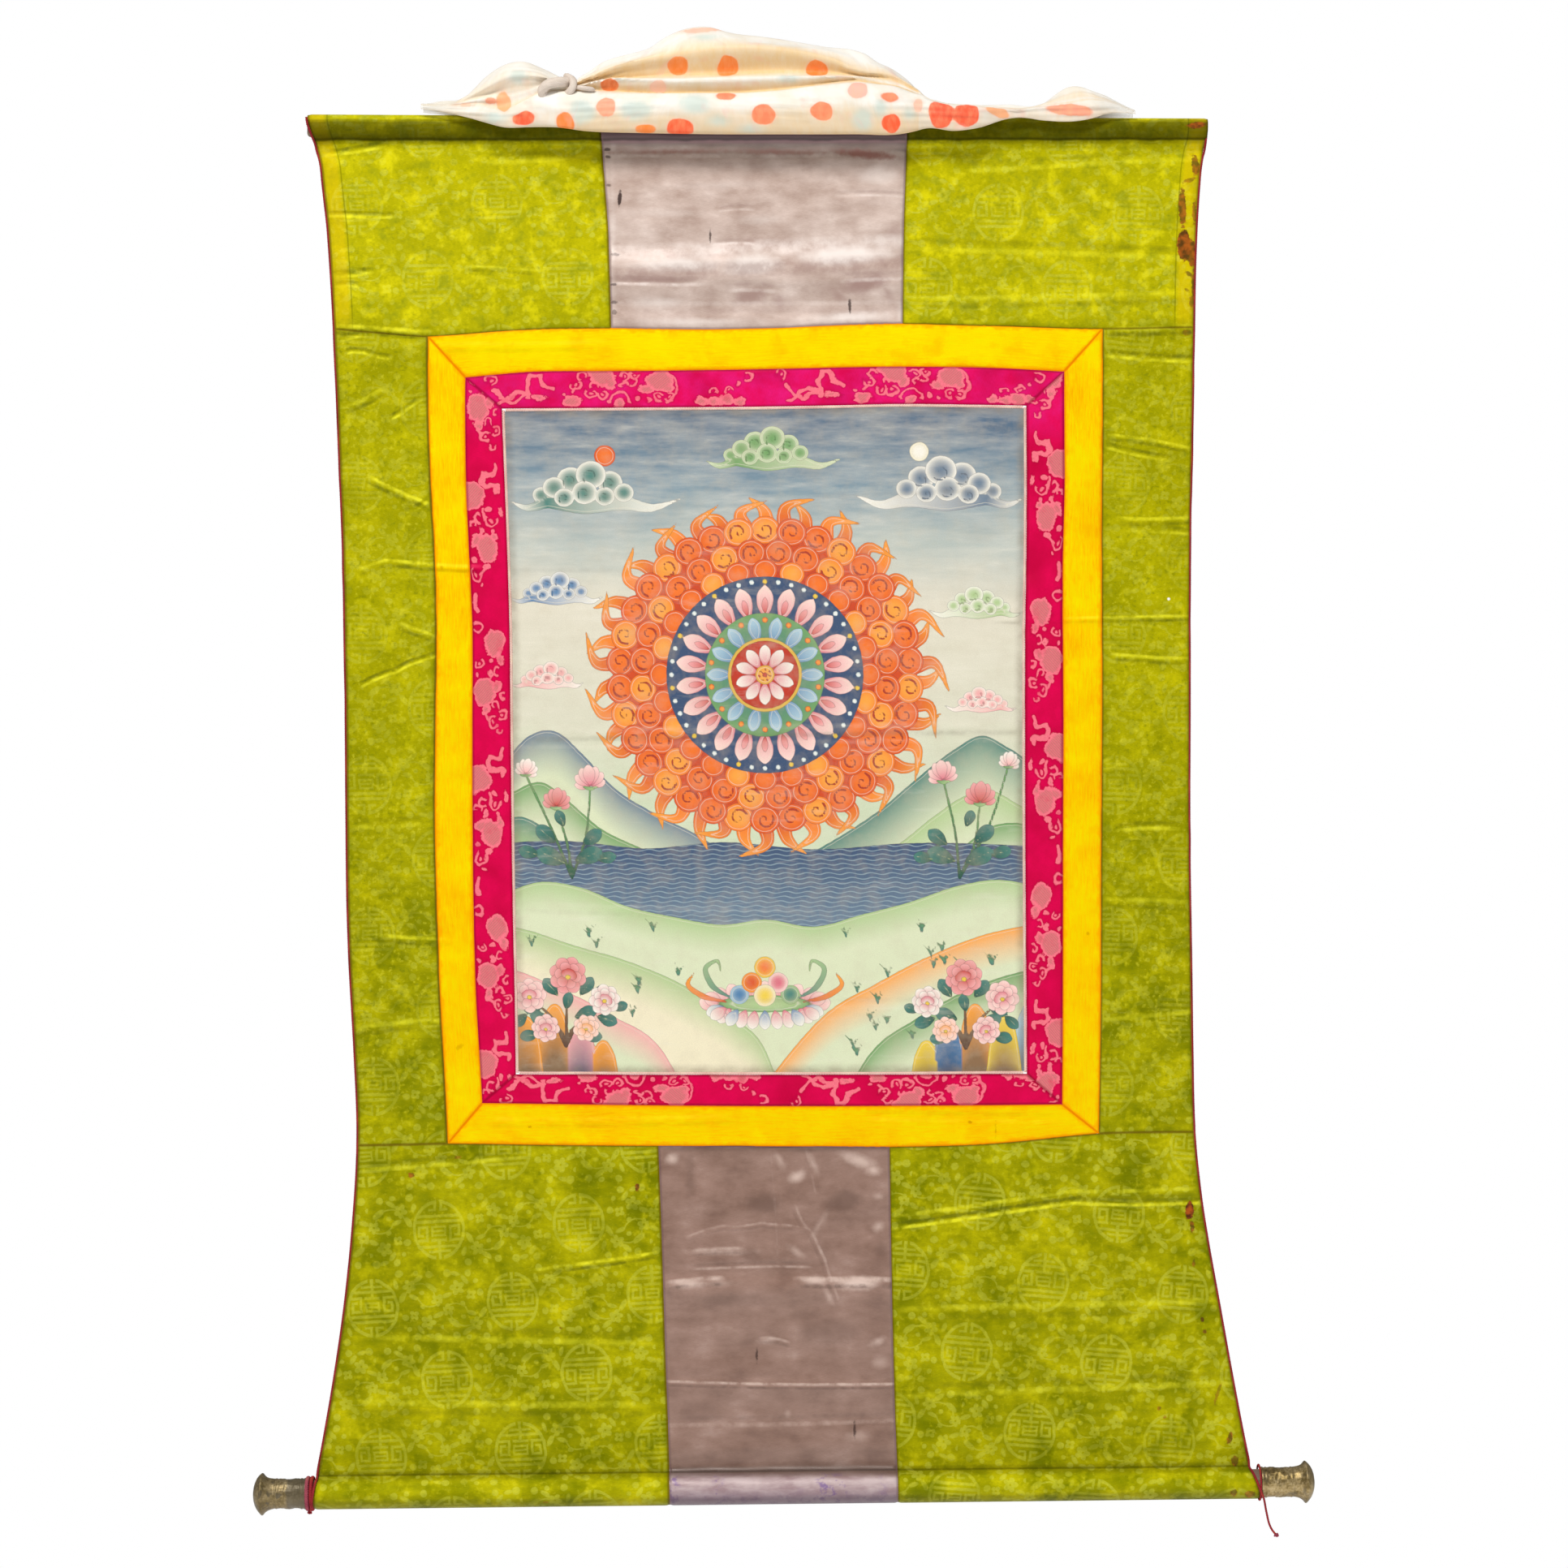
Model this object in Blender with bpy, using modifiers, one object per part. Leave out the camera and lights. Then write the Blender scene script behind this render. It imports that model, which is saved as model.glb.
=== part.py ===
# Thangka scroll painting: a picture in two mitred silk borders, let into a damask mount that hangs
# from a batten in its top hem and is weighted by a capped roller in its bottom hem, with red edge
# cords and a thin silk cover gathered up over the top.
# Metres. +X is the viewer's right, +Z up, and the front faces -Y. The origin is on the top edge,
# above the middle of the picture, where the scroll hangs.

import math
from bisect import bisect_right
from collections import namedtuple

import bmesh
import bpy
from mathutils import Vector

# Driving sizes
CLOTH = 0.0020  # silk with its stiffening, for every sewn panel
COVER_CLOTH = 0.0012
COVER_CLEARANCE = 0.0022  # between the gathered cover and the top hem
SEAM = 0.0006  # clear line between two panels sewn edge to edge
PIPING_DIAMETER = 0.0030
PIPING_CHANNEL = 0.0040
EDGE_CORD_DIAMETER = 0.0024
CORD_CLEARANCE = 0.0004
CORD_ROOM = EDGE_CORD_DIAMETER + CORD_CLEARANCE - SEAM / 2  # from an edge cord's outside to the cloth
HEM_STEP = 0.0030  # from a hem's loop to the start of the flat cloth
HEM_START = math.radians(22)  # a hem's loop begins in front of its stitching
HEM_END = math.radians(350)  # and ends behind it
FLAT_BY_HEM = 0.05  # folds fade out over this distance from a hem
JOIN_GAP = 0.0003

BATTEN_LEFT = -0.4530
BATTEN_RIGHT = 0.4340
BATTEN_DEPTH = 0.0096
BATTEN_HEIGHT = 0.0190
BATTEN_ROUNDING = 0.0035
BATTEN_CENTRE_LEFT = -0.0120  # height of its axis at x = BATTEN_LEFT
BATTEN_CENTRE_RIGHT = -0.0160
TOP_HEM_DEPTH = 0.0140  # across the middle of the cloth
TOP_HEM_HEIGHT = 0.0230
TOP_HEM_SQUARENESS = 3.2  # exponent of its rounded section, where 2 is round

ROLLER_LEFT = -0.5064  # outermost points of the two end caps
ROLLER_RIGHT = 0.5396
ROLLER_AXIS_LEFT = -1.3590  # height of its axis at x = ROLLER_LEFT
ROLLER_AXIS_RIGHT = -1.3470
DOWEL_RADIUS = 0.0130
ROLL_RADIUS = 0.0148  # middle of the cloth around the dowel
CAP_LENGTH = 0.0530
CAP_MOUTH_RADIUS = 0.0156
CAP_WAIST_RADIUS = 0.0146
CAP_RIM_RADIUS = 0.0208
CAP_BORE_RADIUS = 0.0133
CAP_DOME = 0.0090  # from its tip to the rim
CAP_FLARE = 0.0120  # from the rim to where the flare ends
CAP_WALL = 0.0014
CAP_PLAY = 0.0010  # between the dowel's end and the cap's floor

CORD_RIM_LEFT = -0.4496  # where the edge cords end, round the front of the roll
CORD_RIM_RIGHT = 0.4878
CORD_END_TURN_LEFT = math.radians(172)
CORD_END_TURN_RIGHT = math.radians(134)

# Cells along each piece
SIDE_ROWS = 44
PICTURE_ROWS = 30
UPRIGHT_ROWS = 32
LEVEL_ROWS = 18
EDGE_CORD_STEPS = 34
CORD_TAIL_STEPS = 12

# Side edges of the mount, with its edge cords
Edge = namedtuple("Edge", "z left right")
EDGES = (
    Edge(0.010, -0.4545, 0.4355),
    Edge(-0.008, -0.4535, 0.4358),
    Edge(-0.022, -0.4490, 0.4350),
    Edge(-0.040, -0.4430, 0.4305),
    Edge(-0.072, -0.4390, 0.4272),
    Edge(-0.128, -0.4330, 0.4242),
    Edge(-0.208, -0.4280, 0.4222),
    Edge(-0.328, -0.4235, 0.4200),
    Edge(-0.448, -0.4185, 0.4184),
    Edge(-0.568, -0.4168, 0.4176),
    Edge(-0.688, -0.4160, 0.4176),
    Edge(-0.808, -0.4136, 0.4190),
    Edge(-0.928, -0.4078, 0.4204),
    Edge(-1.008, -0.4050, 0.4232),
    Edge(-1.088, -0.4088, 0.4326),
    Edge(-1.168, -0.4168, 0.4462),
    Edge(-1.248, -0.4286, 0.4606),
    Edge(-1.328, -0.4424, 0.4766),
    Edge(-1.340, -0.4448, 0.4806),
    Edge(-1.352, -0.4478, 0.4850),
    Edge(-1.362, -0.4480, 0.4874),
    Edge(-1.380, -0.4480, 0.4880),
)

# Upright seams of the plain outer border (frame), the figured inner border (band) and the picture
Upright = namedtuple(
    "Upright", "z frame_left band_left picture_left picture_right band_right frame_right"
)
UPRIGHTS = (
    Upright(-0.210, -0.3340, -0.2965, -0.2585, 0.2520, 0.2925, 0.3310),
    Upright(-0.300, -0.3338, -0.2975, -0.2575, 0.2522, 0.2930, 0.3306),
    Upright(-0.370, -0.3312, -0.2965, -0.2550, 0.2526, 0.2934, 0.3304),
    Upright(-0.440, -0.3270, -0.2930, -0.2522, 0.2522, 0.2918, 0.3304),
    Upright(-0.510, -0.3256, -0.2900, -0.2500, 0.2510, 0.2916, 0.3304),
    Upright(-0.600, -0.3268, -0.2903, -0.2494, 0.2508, 0.2920, 0.3302),
    Upright(-0.690, -0.3276, -0.2903, -0.2486, 0.2512, 0.2920, 0.3299),
    Upright(-0.790, -0.3250, -0.2888, -0.2468, 0.2516, 0.2918, 0.3295),
    Upright(-0.870, -0.3220, -0.2865, -0.2450, 0.2521, 0.2914, 0.3290),
    Upright(-0.950, -0.3178, -0.2820, -0.2440, 0.2526, 0.2911, 0.3280),
    Upright(-1.020, -0.3144, -0.2785, -0.2432, 0.2528, 0.2910, 0.3270),
)

# Level seams: between the top panels and the borders, around the band and picture, and at the foot
Level = namedtuple("Level", "x frame_top band_top picture_top picture_foot band_foot frame_foot")
LEVELS = (
    Level(-0.430, -0.2105, -0.2620, -0.2930, -0.9415, -0.9735, -1.0150),
    Level(-0.380, -0.2150, -0.2620, -0.2930, -0.9415, -0.9735, -1.0155),
    Level(-0.335, -0.2185, -0.2620, -0.2930, -0.9415, -0.9735, -1.0140),
    Level(-0.290, -0.2150, -0.2580, -0.2930, -0.9418, -0.9738, -1.0140),
    Level(-0.230, -0.2110, -0.2530, -0.2925, -0.9420, -0.9746, -1.0150),
    Level(-0.155, -0.2100, -0.2525, -0.2920, -0.9422, -0.9756, -1.0158),
    Level(-0.080, -0.2112, -0.2518, -0.2915, -0.9424, -0.9764, -1.0162),
    Level(0.000, -0.2102, -0.2506, -0.2908, -0.9424, -0.9768, -1.0164),
    Level(0.070, -0.2072, -0.2490, -0.2896, -0.9422, -0.9768, -1.0168),
    Level(0.134, -0.2055, -0.2482, -0.2884, -0.9420, -0.9764, -1.0170),
    Level(0.222, -0.2075, -0.2494, -0.2894, -0.9414, -0.9758, -1.0140),
    Level(0.292, -0.2098, -0.2530, -0.2908, -0.9410, -0.9750, -1.0070),
    Level(0.331, -0.2105, -0.2545, -0.2912, -0.9408, -0.9750, -1.0035),
    Level(0.430, -0.2085, -0.2545, -0.2912, -0.9408, -0.9750, -1.0020),
)

# Upright seams of the plain satin panels let into the mount above and below the picture
Inset = namedtuple("Inset", "z left right")
TOP_INSET = (
    Inset(0.010, -0.1636, 0.1380),
    Inset(-0.026, -0.1628, 0.1376),
    Inset(-0.113, -0.1565, 0.1348),
    Inset(-0.220, -0.1530, 0.1334),
)
FOOT_INSET = (
    Inset(-1.005, -0.1074, 0.1206),
    Inset(-1.139, -0.1024, 0.1226),
    Inset(-1.221, -0.1000, 0.1244),
    Inset(-1.286, -0.0976, 0.1264),
    Inset(-1.340, -0.0960, 0.1286),
    Inset(-1.385, -0.0952, 0.1290),
)

# Main folds of the hanging cloth: soft ridges, or troughs where the height is negative
Fold = namedtuple("Fold", "x z length width angle height")
FOLDS = (
    Fold(-0.385, -0.236, 0.120, 0.014, 0.0, 0.0030),
    Fold(-0.365, -0.374, 0.110, 0.013, -0.28, 0.0036),
    Fold(-0.345, -0.446, 0.170, 0.013, 0.04, 0.0034),
    Fold(-0.362, -0.548, 0.120, 0.014, 0.42, -0.0036),
    Fold(-0.350, -0.811, 0.110, 0.014, -0.06, -0.0028),
    Fold(0.378, -0.242, 0.150, 0.014, 0.0, -0.0030),
    Fold(0.372, -0.328, 0.110, 0.013, -0.12, 0.0036),
    Fold(0.388, -0.398, 0.130, 0.014, 0.10, -0.0036),
    Fold(0.330, -0.499, 0.260, 0.014, 0.0, -0.0028),
    Fold(0.378, -0.704, 0.130, 0.014, -0.20, 0.0034),
    Fold(-0.020, -0.156, 0.420, 0.018, 0.04, 0.0044),
    Fold(-0.010, -0.184, 0.360, 0.014, 0.03, -0.0030),
    Fold(-0.370, -0.104, 0.160, 0.014, 0.0, -0.0030),
    Fold(0.280, -0.118, 0.220, 0.016, -0.05, 0.0028),
    Fold(0.010, -1.148, 0.260, 0.016, 0.0, 0.0036),
    Fold(0.028, -1.095, 0.180, 0.014, -1.20, 0.0030),
    Fold(0.015, -1.251, 0.280, 0.013, 0.0, 0.0030),
    Fold(-0.190, -1.130, 0.180, 0.014, 0.10, 0.0028),
    Fold(0.270, -1.082, 0.320, 0.014, 0.08, -0.0030),
    Fold(-0.060, -0.450, 0.400, 0.016, 0.0, -0.0026),
    Fold(0.090, -0.780, 0.300, 0.018, 0.05, 0.0026),
)
WAVE_HEIGHT = 0.0026
WAVE_PITCH = 0.31

# The gathered cover, section by section: its crest, the crease over its lower roll, its lower edge,
# how far the roll and the crest stand out in front, and how far it reaches down behind the hem
Gather = namedtuple("Gather", "x crest crease foot roll puff behind")
GATHERS = (
    Gather(-0.324, 0.0100, 0.0062, -0.0010, 0.0125, 0.004, 0.000),
    Gather(-0.309, 0.0130, 0.0070, -0.0030, 0.0150, 0.005, -0.006),
    Gather(-0.293, 0.0200, 0.0080, -0.0070, 0.0185, 0.009, -0.012),
    Gather(-0.277, 0.0350, 0.0080, -0.0125, 0.0225, 0.016, -0.018),
    Gather(-0.258, 0.0480, 0.0085, -0.0165, 0.0250, 0.021, -0.022),
    Gather(-0.240, 0.0500, 0.0110, -0.0170, 0.0265, 0.022, -0.024),
    Gather(-0.220, 0.0430, 0.0160, -0.0170, 0.0260, 0.018, -0.024),
    Gather(-0.198, 0.0310, 0.0180, -0.0190, 0.0280, 0.011, -0.022),
    Gather(-0.178, 0.0390, 0.0160, -0.0205, 0.0300, 0.013, -0.022),
    Gather(-0.150, 0.0550, 0.0148, -0.0215, 0.0320, 0.018, -0.024),
    Gather(-0.117, 0.0670, 0.0140, -0.0230, 0.0330, 0.023, -0.026),
    Gather(-0.082, 0.0820, 0.0138, -0.0238, 0.0340, 0.027, -0.026),
    Gather(-0.060, 0.0840, 0.0136, -0.0240, 0.0345, 0.029, -0.026),
    Gather(-0.030, 0.0770, 0.0138, -0.0240, 0.0350, 0.029, -0.026),
    Gather(0.015, 0.0700, 0.0160, -0.0240, 0.0350, 0.028, -0.026),
    Gather(0.060, 0.0640, 0.0215, -0.0244, 0.0345, 0.026, -0.026),
    Gather(0.092, 0.0600, 0.0245, -0.0248, 0.0335, 0.022, -0.025),
    Gather(0.118, 0.0440, 0.0200, -0.0248, 0.0320, 0.017, -0.024),
    Gather(0.140, 0.0290, 0.0150, -0.0230, 0.0300, 0.012, -0.022),
    Gather(0.158, 0.0160, 0.0090, -0.0200, 0.0280, 0.007, -0.019),
    Gather(0.187, 0.0140, 0.0070, -0.0180, 0.0270, 0.006, -0.016),
    Gather(0.219, 0.0105, 0.0050, -0.0140, 0.0240, 0.005, -0.014),
    Gather(0.251, 0.0130, 0.0050, -0.0100, 0.0215, 0.006, -0.013),
    Gather(0.283, 0.0145, 0.0055, -0.0110, 0.0205, 0.007, -0.012),
    Gather(0.302, 0.0240, 0.0060, -0.0120, 0.0205, 0.011, -0.011),
    Gather(0.318, 0.0210, 0.0055, -0.0100, 0.0190, 0.010, -0.009),
    Gather(0.338, 0.0130, 0.0045, -0.0030, 0.0150, 0.006, -0.006),
    Gather(0.358, 0.0050, 0.0030, -0.0020, 0.0120, 0.003, -0.003),
)

# Loose end of the right edge cord, as steps from where the sewn part ends
CORD_TAIL = (
    (0.0016, 0.0036, -0.0058),
    (0.0028, 0.0055, -0.0118),
    (0.0042, 0.0068, -0.0182),
    (0.0064, 0.0078, -0.0272),
    (0.0096, 0.0084, -0.0340),
    (0.0138, 0.0087, -0.0390),
)

DAMASK_GREEN = (0.36, 0.36, 0.02)
FRAME_YELLOW = (0.90, 0.66, 0.01)
BAND_PINK = (0.78, 0.01, 0.14)
PICTURE_GROUND = (0.42, 0.46, 0.36)
TOP_SATIN = (0.55, 0.42, 0.40)
FOOT_SATIN = (0.28, 0.18, 0.16)
PALE_PIPING = (0.80, 0.52, 0.46)
CORD_RED = (0.28, 0.02, 0.03)
PLAIN_WOOD = (0.30, 0.18, 0.09)
CAP_METAL = (0.42, 0.33, 0.18)
COVER_IVORY = (0.86, 0.76, 0.60)


def clear_scene():
    for thing in list(bpy.data.objects):
        bpy.data.objects.remove(thing)


def material(name, colour, roughness, metallic=0.0):
    made = bpy.data.materials.new(name)
    made.use_nodes = True
    shader = made.node_tree.nodes["Principled BSDF"]
    shader.inputs["Base Color"].default_value = (*colour, 1.0)
    shader.inputs["Roughness"].default_value = roughness
    shader.inputs["Metallic"].default_value = metallic
    return made


def mix(a, b, share):
    return a + (b - a) * share


def curve(rows, column):
    """The named column of a table as a smooth function of the table's first column."""
    ordered = sorted(rows)
    places = [row[0] for row in ordered]
    values = [getattr(row, column) for row in ordered]
    last = len(places) - 1

    def slope(i):
        low, high = max(i - 1, 0), min(i + 1, last)
        return (values[high] - values[low]) / (places[high] - places[low])

    def read(at):
        at = min(max(at, places[0]), places[-1])
        i = min(bisect_right(places, at), last) - 1
        step = places[i + 1] - places[i]
        t = (at - places[i]) / step
        return (
            values[i] * (2 * t**3 - 3 * t**2 + 1)
            + values[i + 1] * (3 * t**2 - 2 * t**3)
            + slope(i) * step * (t**3 - 2 * t**2 + t)
            + slope(i + 1) * step * (t**3 - t**2)
        )

    return read


def curves(rows):
    """Every column of a table after the first, as a function of the first."""
    return {column: curve(rows, column) for column in rows[0]._fields[1:]}


EDGE = curves(EDGES)
SEAMS = {**curves(UPRIGHTS), **curves(LEVELS)}


def batten_axis(x):
    share = (x - BATTEN_LEFT) / (BATTEN_RIGHT - BATTEN_LEFT)
    return mix(BATTEN_CENTRE_LEFT, BATTEN_CENTRE_RIGHT, share)


def roller_axis(x):
    share = (x - ROLLER_LEFT) / (ROLLER_RIGHT - ROLLER_LEFT)
    return mix(ROLLER_AXIS_LEFT, ROLLER_AXIS_RIGHT, share)


def top_of_sheet(x):
    """Where the flat cloth ends below the top hem."""
    return batten_axis(x) - TOP_HEM_HEIGHT / 2 - HEM_STEP


def foot_of_sheet(x):
    """Where the flat cloth ends above the roll."""
    return roller_axis(x) + ROLL_RADIUS + HEM_STEP


def relief(x, z):
    """How far the hanging cloth stands out towards the viewer."""
    ends = min(1.0, (top_of_sheet(x) - z) / FLAT_BY_HEM, (z - foot_of_sheet(x)) / FLAT_BY_HEM)
    if ends <= 0:
        return 0.0
    out = WAVE_HEIGHT * math.sin(math.tau * (z / WAVE_PITCH + 0.35 * x))
    for fold in FOLDS:
        right, up = x - fold.x, z - fold.z
        run = right * math.cos(fold.angle) + up * math.sin(fold.angle)
        off = up * math.cos(fold.angle) - right * math.sin(fold.angle)
        if abs(run) < fold.length and abs(off) < 3 * fold.width:
            fade = (1 - (run / fold.length) ** 2) ** 2
            out += fold.height * fade * math.exp(-((off / fold.width) ** 2))
    return out * ends


def hanging(x, z):
    return Vector((x, -relief(x, z), z))


def solid(name, data, finish):
    data.materials.append(finish)
    made = bpy.data.objects.new(name, data)
    part.objects.link(made)
    return made


def mesh_from(bm, name):
    data = bpy.data.meshes.new(name)
    bm.to_mesh(data)
    bm.free()
    return data


def sheet(name, columns, rows, place, thickness, finish):
    """Cloth of even thickness. place gives a corner of a cell by its shares across and along."""
    bm = bmesh.new()
    bmesh.ops.create_grid(bm, x_segments=columns, y_segments=rows, size=0.5)
    for vert in bm.verts:
        vert.co = place(vert.co.x + 0.5, vert.co.y + 0.5)
    made = solid(name, mesh_from(bm, name), finish)
    wall = made.modifiers.new("Thickness", "SOLIDIFY")
    wall.thickness = thickness
    wall.offset = 0
    return made


def between(left, right, start, end, across, along):
    """A point by its shares across, between two upright seams, and along, between two level ones."""
    z = mix(start(0.0), end(0.0), along)
    for _ in range(4):
        x = mix(left(z) + SEAM / 2, right(z) - SEAM / 2, across)
        z = mix(start(x), end(x), along)
    return x, z


def shifted(line, distance):
    return lambda at: line(at) + distance


def panel(name, left, right, high, low, columns, rows, finish):
    start, end = shifted(high, -SEAM / 2), shifted(low, SEAM / 2)

    def place(across, along):
        return hanging(*between(left, right, start, end, across, along))

    return sheet(name, columns, rows, place, CLOTH, finish)


def hem_point(turn, depth, height, squareness):
    """A point of a rounded loop, forwards and up. Turn 0 is where it is stitched."""
    side, level = math.sin(turn), math.cos(turn)
    power = 2 / squareness
    out = -depth / 2 * math.copysign(abs(side) ** power, side)
    up = height / 2 * math.copysign(abs(level) ** power, level)
    return out, up


Hem = namedtuple("Hem", "up axis flat_end depth height squareness")


TOP_HEM = Hem(-1, batten_axis, top_of_sheet, TOP_HEM_DEPTH, TOP_HEM_HEIGHT, TOP_HEM_SQUARENESS)
ROLL = Hem(1, roller_axis, foot_of_sheet, 2 * ROLL_RADIUS, 2 * ROLL_RADIUS, 2.0)


def hemmed_panel(name, left, right, seam, hem, columns, flat_rows, loop_rows, finish):
    """A panel from a level seam to its hem, whose end is turned forwards round a rod and stitched."""
    total = flat_rows + loop_rows
    start = shifted(seam, hem.up * -SEAM / 2)

    def place(across, along):
        row = round(along * total)
        if row <= flat_rows:
            share = row / flat_rows
            return hanging(*between(left, right, start, hem.flat_end, across, share))
        turn = mix(HEM_START, HEM_END, (row - flat_rows - 1) / (loop_rows - 1))
        out, up = hem_point(turn, hem.depth, hem.height, hem.squareness)

        def level(x):
            return hem.axis(x) + hem.up * up

        x, z = between(left, right, level, level, across, 0.0)
        return Vector((x, out, z))

    return sheet(name, columns, total, place, CLOTH, finish)


def cord(name, points, diameter, resolution, finish):
    """A round cord through the points, with closed ends."""
    data = bpy.data.curves.new(name, "CURVE")
    data.dimensions = "3D"
    data.bevel_depth = diameter / 2
    data.bevel_resolution = resolution
    data.use_fill_caps = True
    line = data.splines.new("POLY")
    line.points.add(len(points) - 1)
    for spot, point in zip(line.points, points):
        spot.co = (*point, 1.0)
    return solid(name, data, finish)


def crossing(upright, level):
    """Where an upright and a level seam meet."""
    x = 0.0
    for _ in range(8):
        z = level(x)
        x = upright(z)
    return x, z


def upright_strip(name, outer, inner, ends, rows, finish):
    """A side strip of a mitred border. ends: heights at its outer and inner edge, top then foot."""
    inwards = math.copysign(SEAM / 2, inner(ends[1]) - outer(ends[1]))

    def place(across, along):
        high = mix(ends[0], ends[1], across) - SEAM
        low = mix(ends[2], ends[3], across) + SEAM
        z = mix(high, low, along)
        x = mix(outer(z) + inwards, inner(z) - inwards, across)
        return hanging(x, z)

    return sheet(name, 1, rows, place, CLOTH, finish)


def level_strip(name, outer, inner, ends, rows, finish):
    """A top or foot strip of a mitred border. ends: places at its outer and inner edge, left first."""
    inwards = math.copysign(SEAM / 2, inner(ends[1]) - outer(ends[1]))

    def place(across, along):
        first = mix(ends[0], ends[1], across) + SEAM
        last = mix(ends[2], ends[3], across) - SEAM
        x = mix(first, last, along)
        z = mix(outer(x) + inwards, inner(x) - inwards, across)
        return hanging(x, z)

    return sheet(name, 1, rows, place, CLOTH, finish)


def build_border(kind, outer, inner, channel, upright_rows, level_rows, finish):
    """Four mitred strips between two rectangles of seams, with a channel kept clear inside."""
    corners = {
        (side, end): (
            crossing(SEAMS[f"{outer}_{side}"], SEAMS[f"{outer}_{end}"]),
            crossing(SEAMS[f"{inner}_{side}"], SEAMS[f"{inner}_{end}"]),
        )
        for side in ("left", "right")
        for end in ("top", "foot")
    }
    for side, out in (("left", -channel), ("right", channel)):
        (_, high), (_, inner_high) = corners[side, "top"]
        (_, low), (_, inner_low) = corners[side, "foot"]
        ends = (high, inner_high + channel, low, inner_low - channel)
        inside = shifted(SEAMS[f"{inner}_{side}"], out)
        upright_strip(f"{kind}_{side}", SEAMS[f"{outer}_{side}"], inside, ends, upright_rows, finish)
    for end, out in (("top", channel), ("foot", -channel)):
        (first, _), (inner_first, _) = corners["left", end]
        (last, _), (inner_last, _) = corners["right", end]
        ends = (first, inner_first - channel, last, inner_last + channel)
        inside = shifted(SEAMS[f"{inner}_{end}"], out)
        level_strip(f"{kind}_{end}", SEAMS[f"{outer}_{end}"], inside, ends, level_rows, finish)


def build_piping(finish):
    """Thin pale cords in the channel around the picture, in four lengths."""
    out = PIPING_CHANNEL / 2
    for side, sign in (("left", -1), ("right", 1)):
        line = shifted(SEAMS[f"picture_{side}"], sign * out)
        _, high = crossing(line, SEAMS["picture_top"])
        _, low = crossing(line, SEAMS["picture_foot"])
        heights = [mix(high + out, low - out, k / UPRIGHT_ROWS) for k in range(UPRIGHT_ROWS + 1)]
        points = [hanging(line(z), z) for z in heights]
        cord(f"piping_{side}", points, PIPING_DIAMETER, 1, finish)
    for end, sign in (("top", 1), ("foot", -1)):
        line = shifted(SEAMS[f"picture_{end}"], sign * out)
        first, _ = crossing(SEAMS["picture_left"], line)
        last, _ = crossing(SEAMS["picture_right"], line)
        places = [mix(first, last, k / LEVEL_ROWS) for k in range(LEVEL_ROWS + 1)]
        points = [hanging(x, line(x)) for x in places]
        cord(f"piping_{end}", points, PIPING_DIAMETER, 1, finish)


def build_mount(green, top_satin, foot_satin):
    """The damask mount and its two satin insets: eight panels, six of them hemmed round a rod."""
    left = shifted(EDGE["left"], CORD_ROOM)
    right = shifted(EDGE["right"], -CORD_ROOM)
    high, low = SEAMS["frame_top"], SEAMS["frame_foot"]
    panel("damask_left", left, SEAMS["frame_left"], high, low, 2, SIDE_ROWS, green)
    panel("damask_right", SEAMS["frame_right"], right, high, low, 2, SIDE_ROWS, green)

    for place, seam, hem, inset, rows, satin in (
        ("top", high, TOP_HEM, curves(TOP_INSET), (9, 12), top_satin),
        ("foot", low, ROLL, curves(FOOT_INSET), (14, 16), foot_satin),
    ):
        first, last = inset["left"], inset["right"]
        hemmed_panel(f"damask_{place}_left", left, first, seam, hem, 7, *rows, green)
        hemmed_panel(f"satin_{place}", first, last, seam, hem, 5, *rows, satin)
        hemmed_panel(f"damask_{place}_right", last, right, seam, hem, 7, *rows, green)


def build_batten(finish):
    """The flat wooden batten inside the top hem, its ends just showing."""
    length = BATTEN_RIGHT - BATTEN_LEFT
    bm = bmesh.new()
    bmesh.ops.create_cube(bm, size=1)
    bmesh.ops.scale(bm, verts=bm.verts, vec=(length, BATTEN_DEPTH, BATTEN_HEIGHT))
    batten = solid("batten", mesh_from(bm, "batten"), finish)
    middle = (BATTEN_LEFT + BATTEN_RIGHT) / 2
    batten.location = (middle, 0, batten_axis(middle))
    batten.rotation_euler.y = math.atan2(BATTEN_CENTRE_LEFT - BATTEN_CENTRE_RIGHT, length)
    rounding = batten.modifiers.new("Rounded edges", "BEVEL")
    rounding.width = BATTEN_ROUNDING
    rounding.segments = 3


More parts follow.
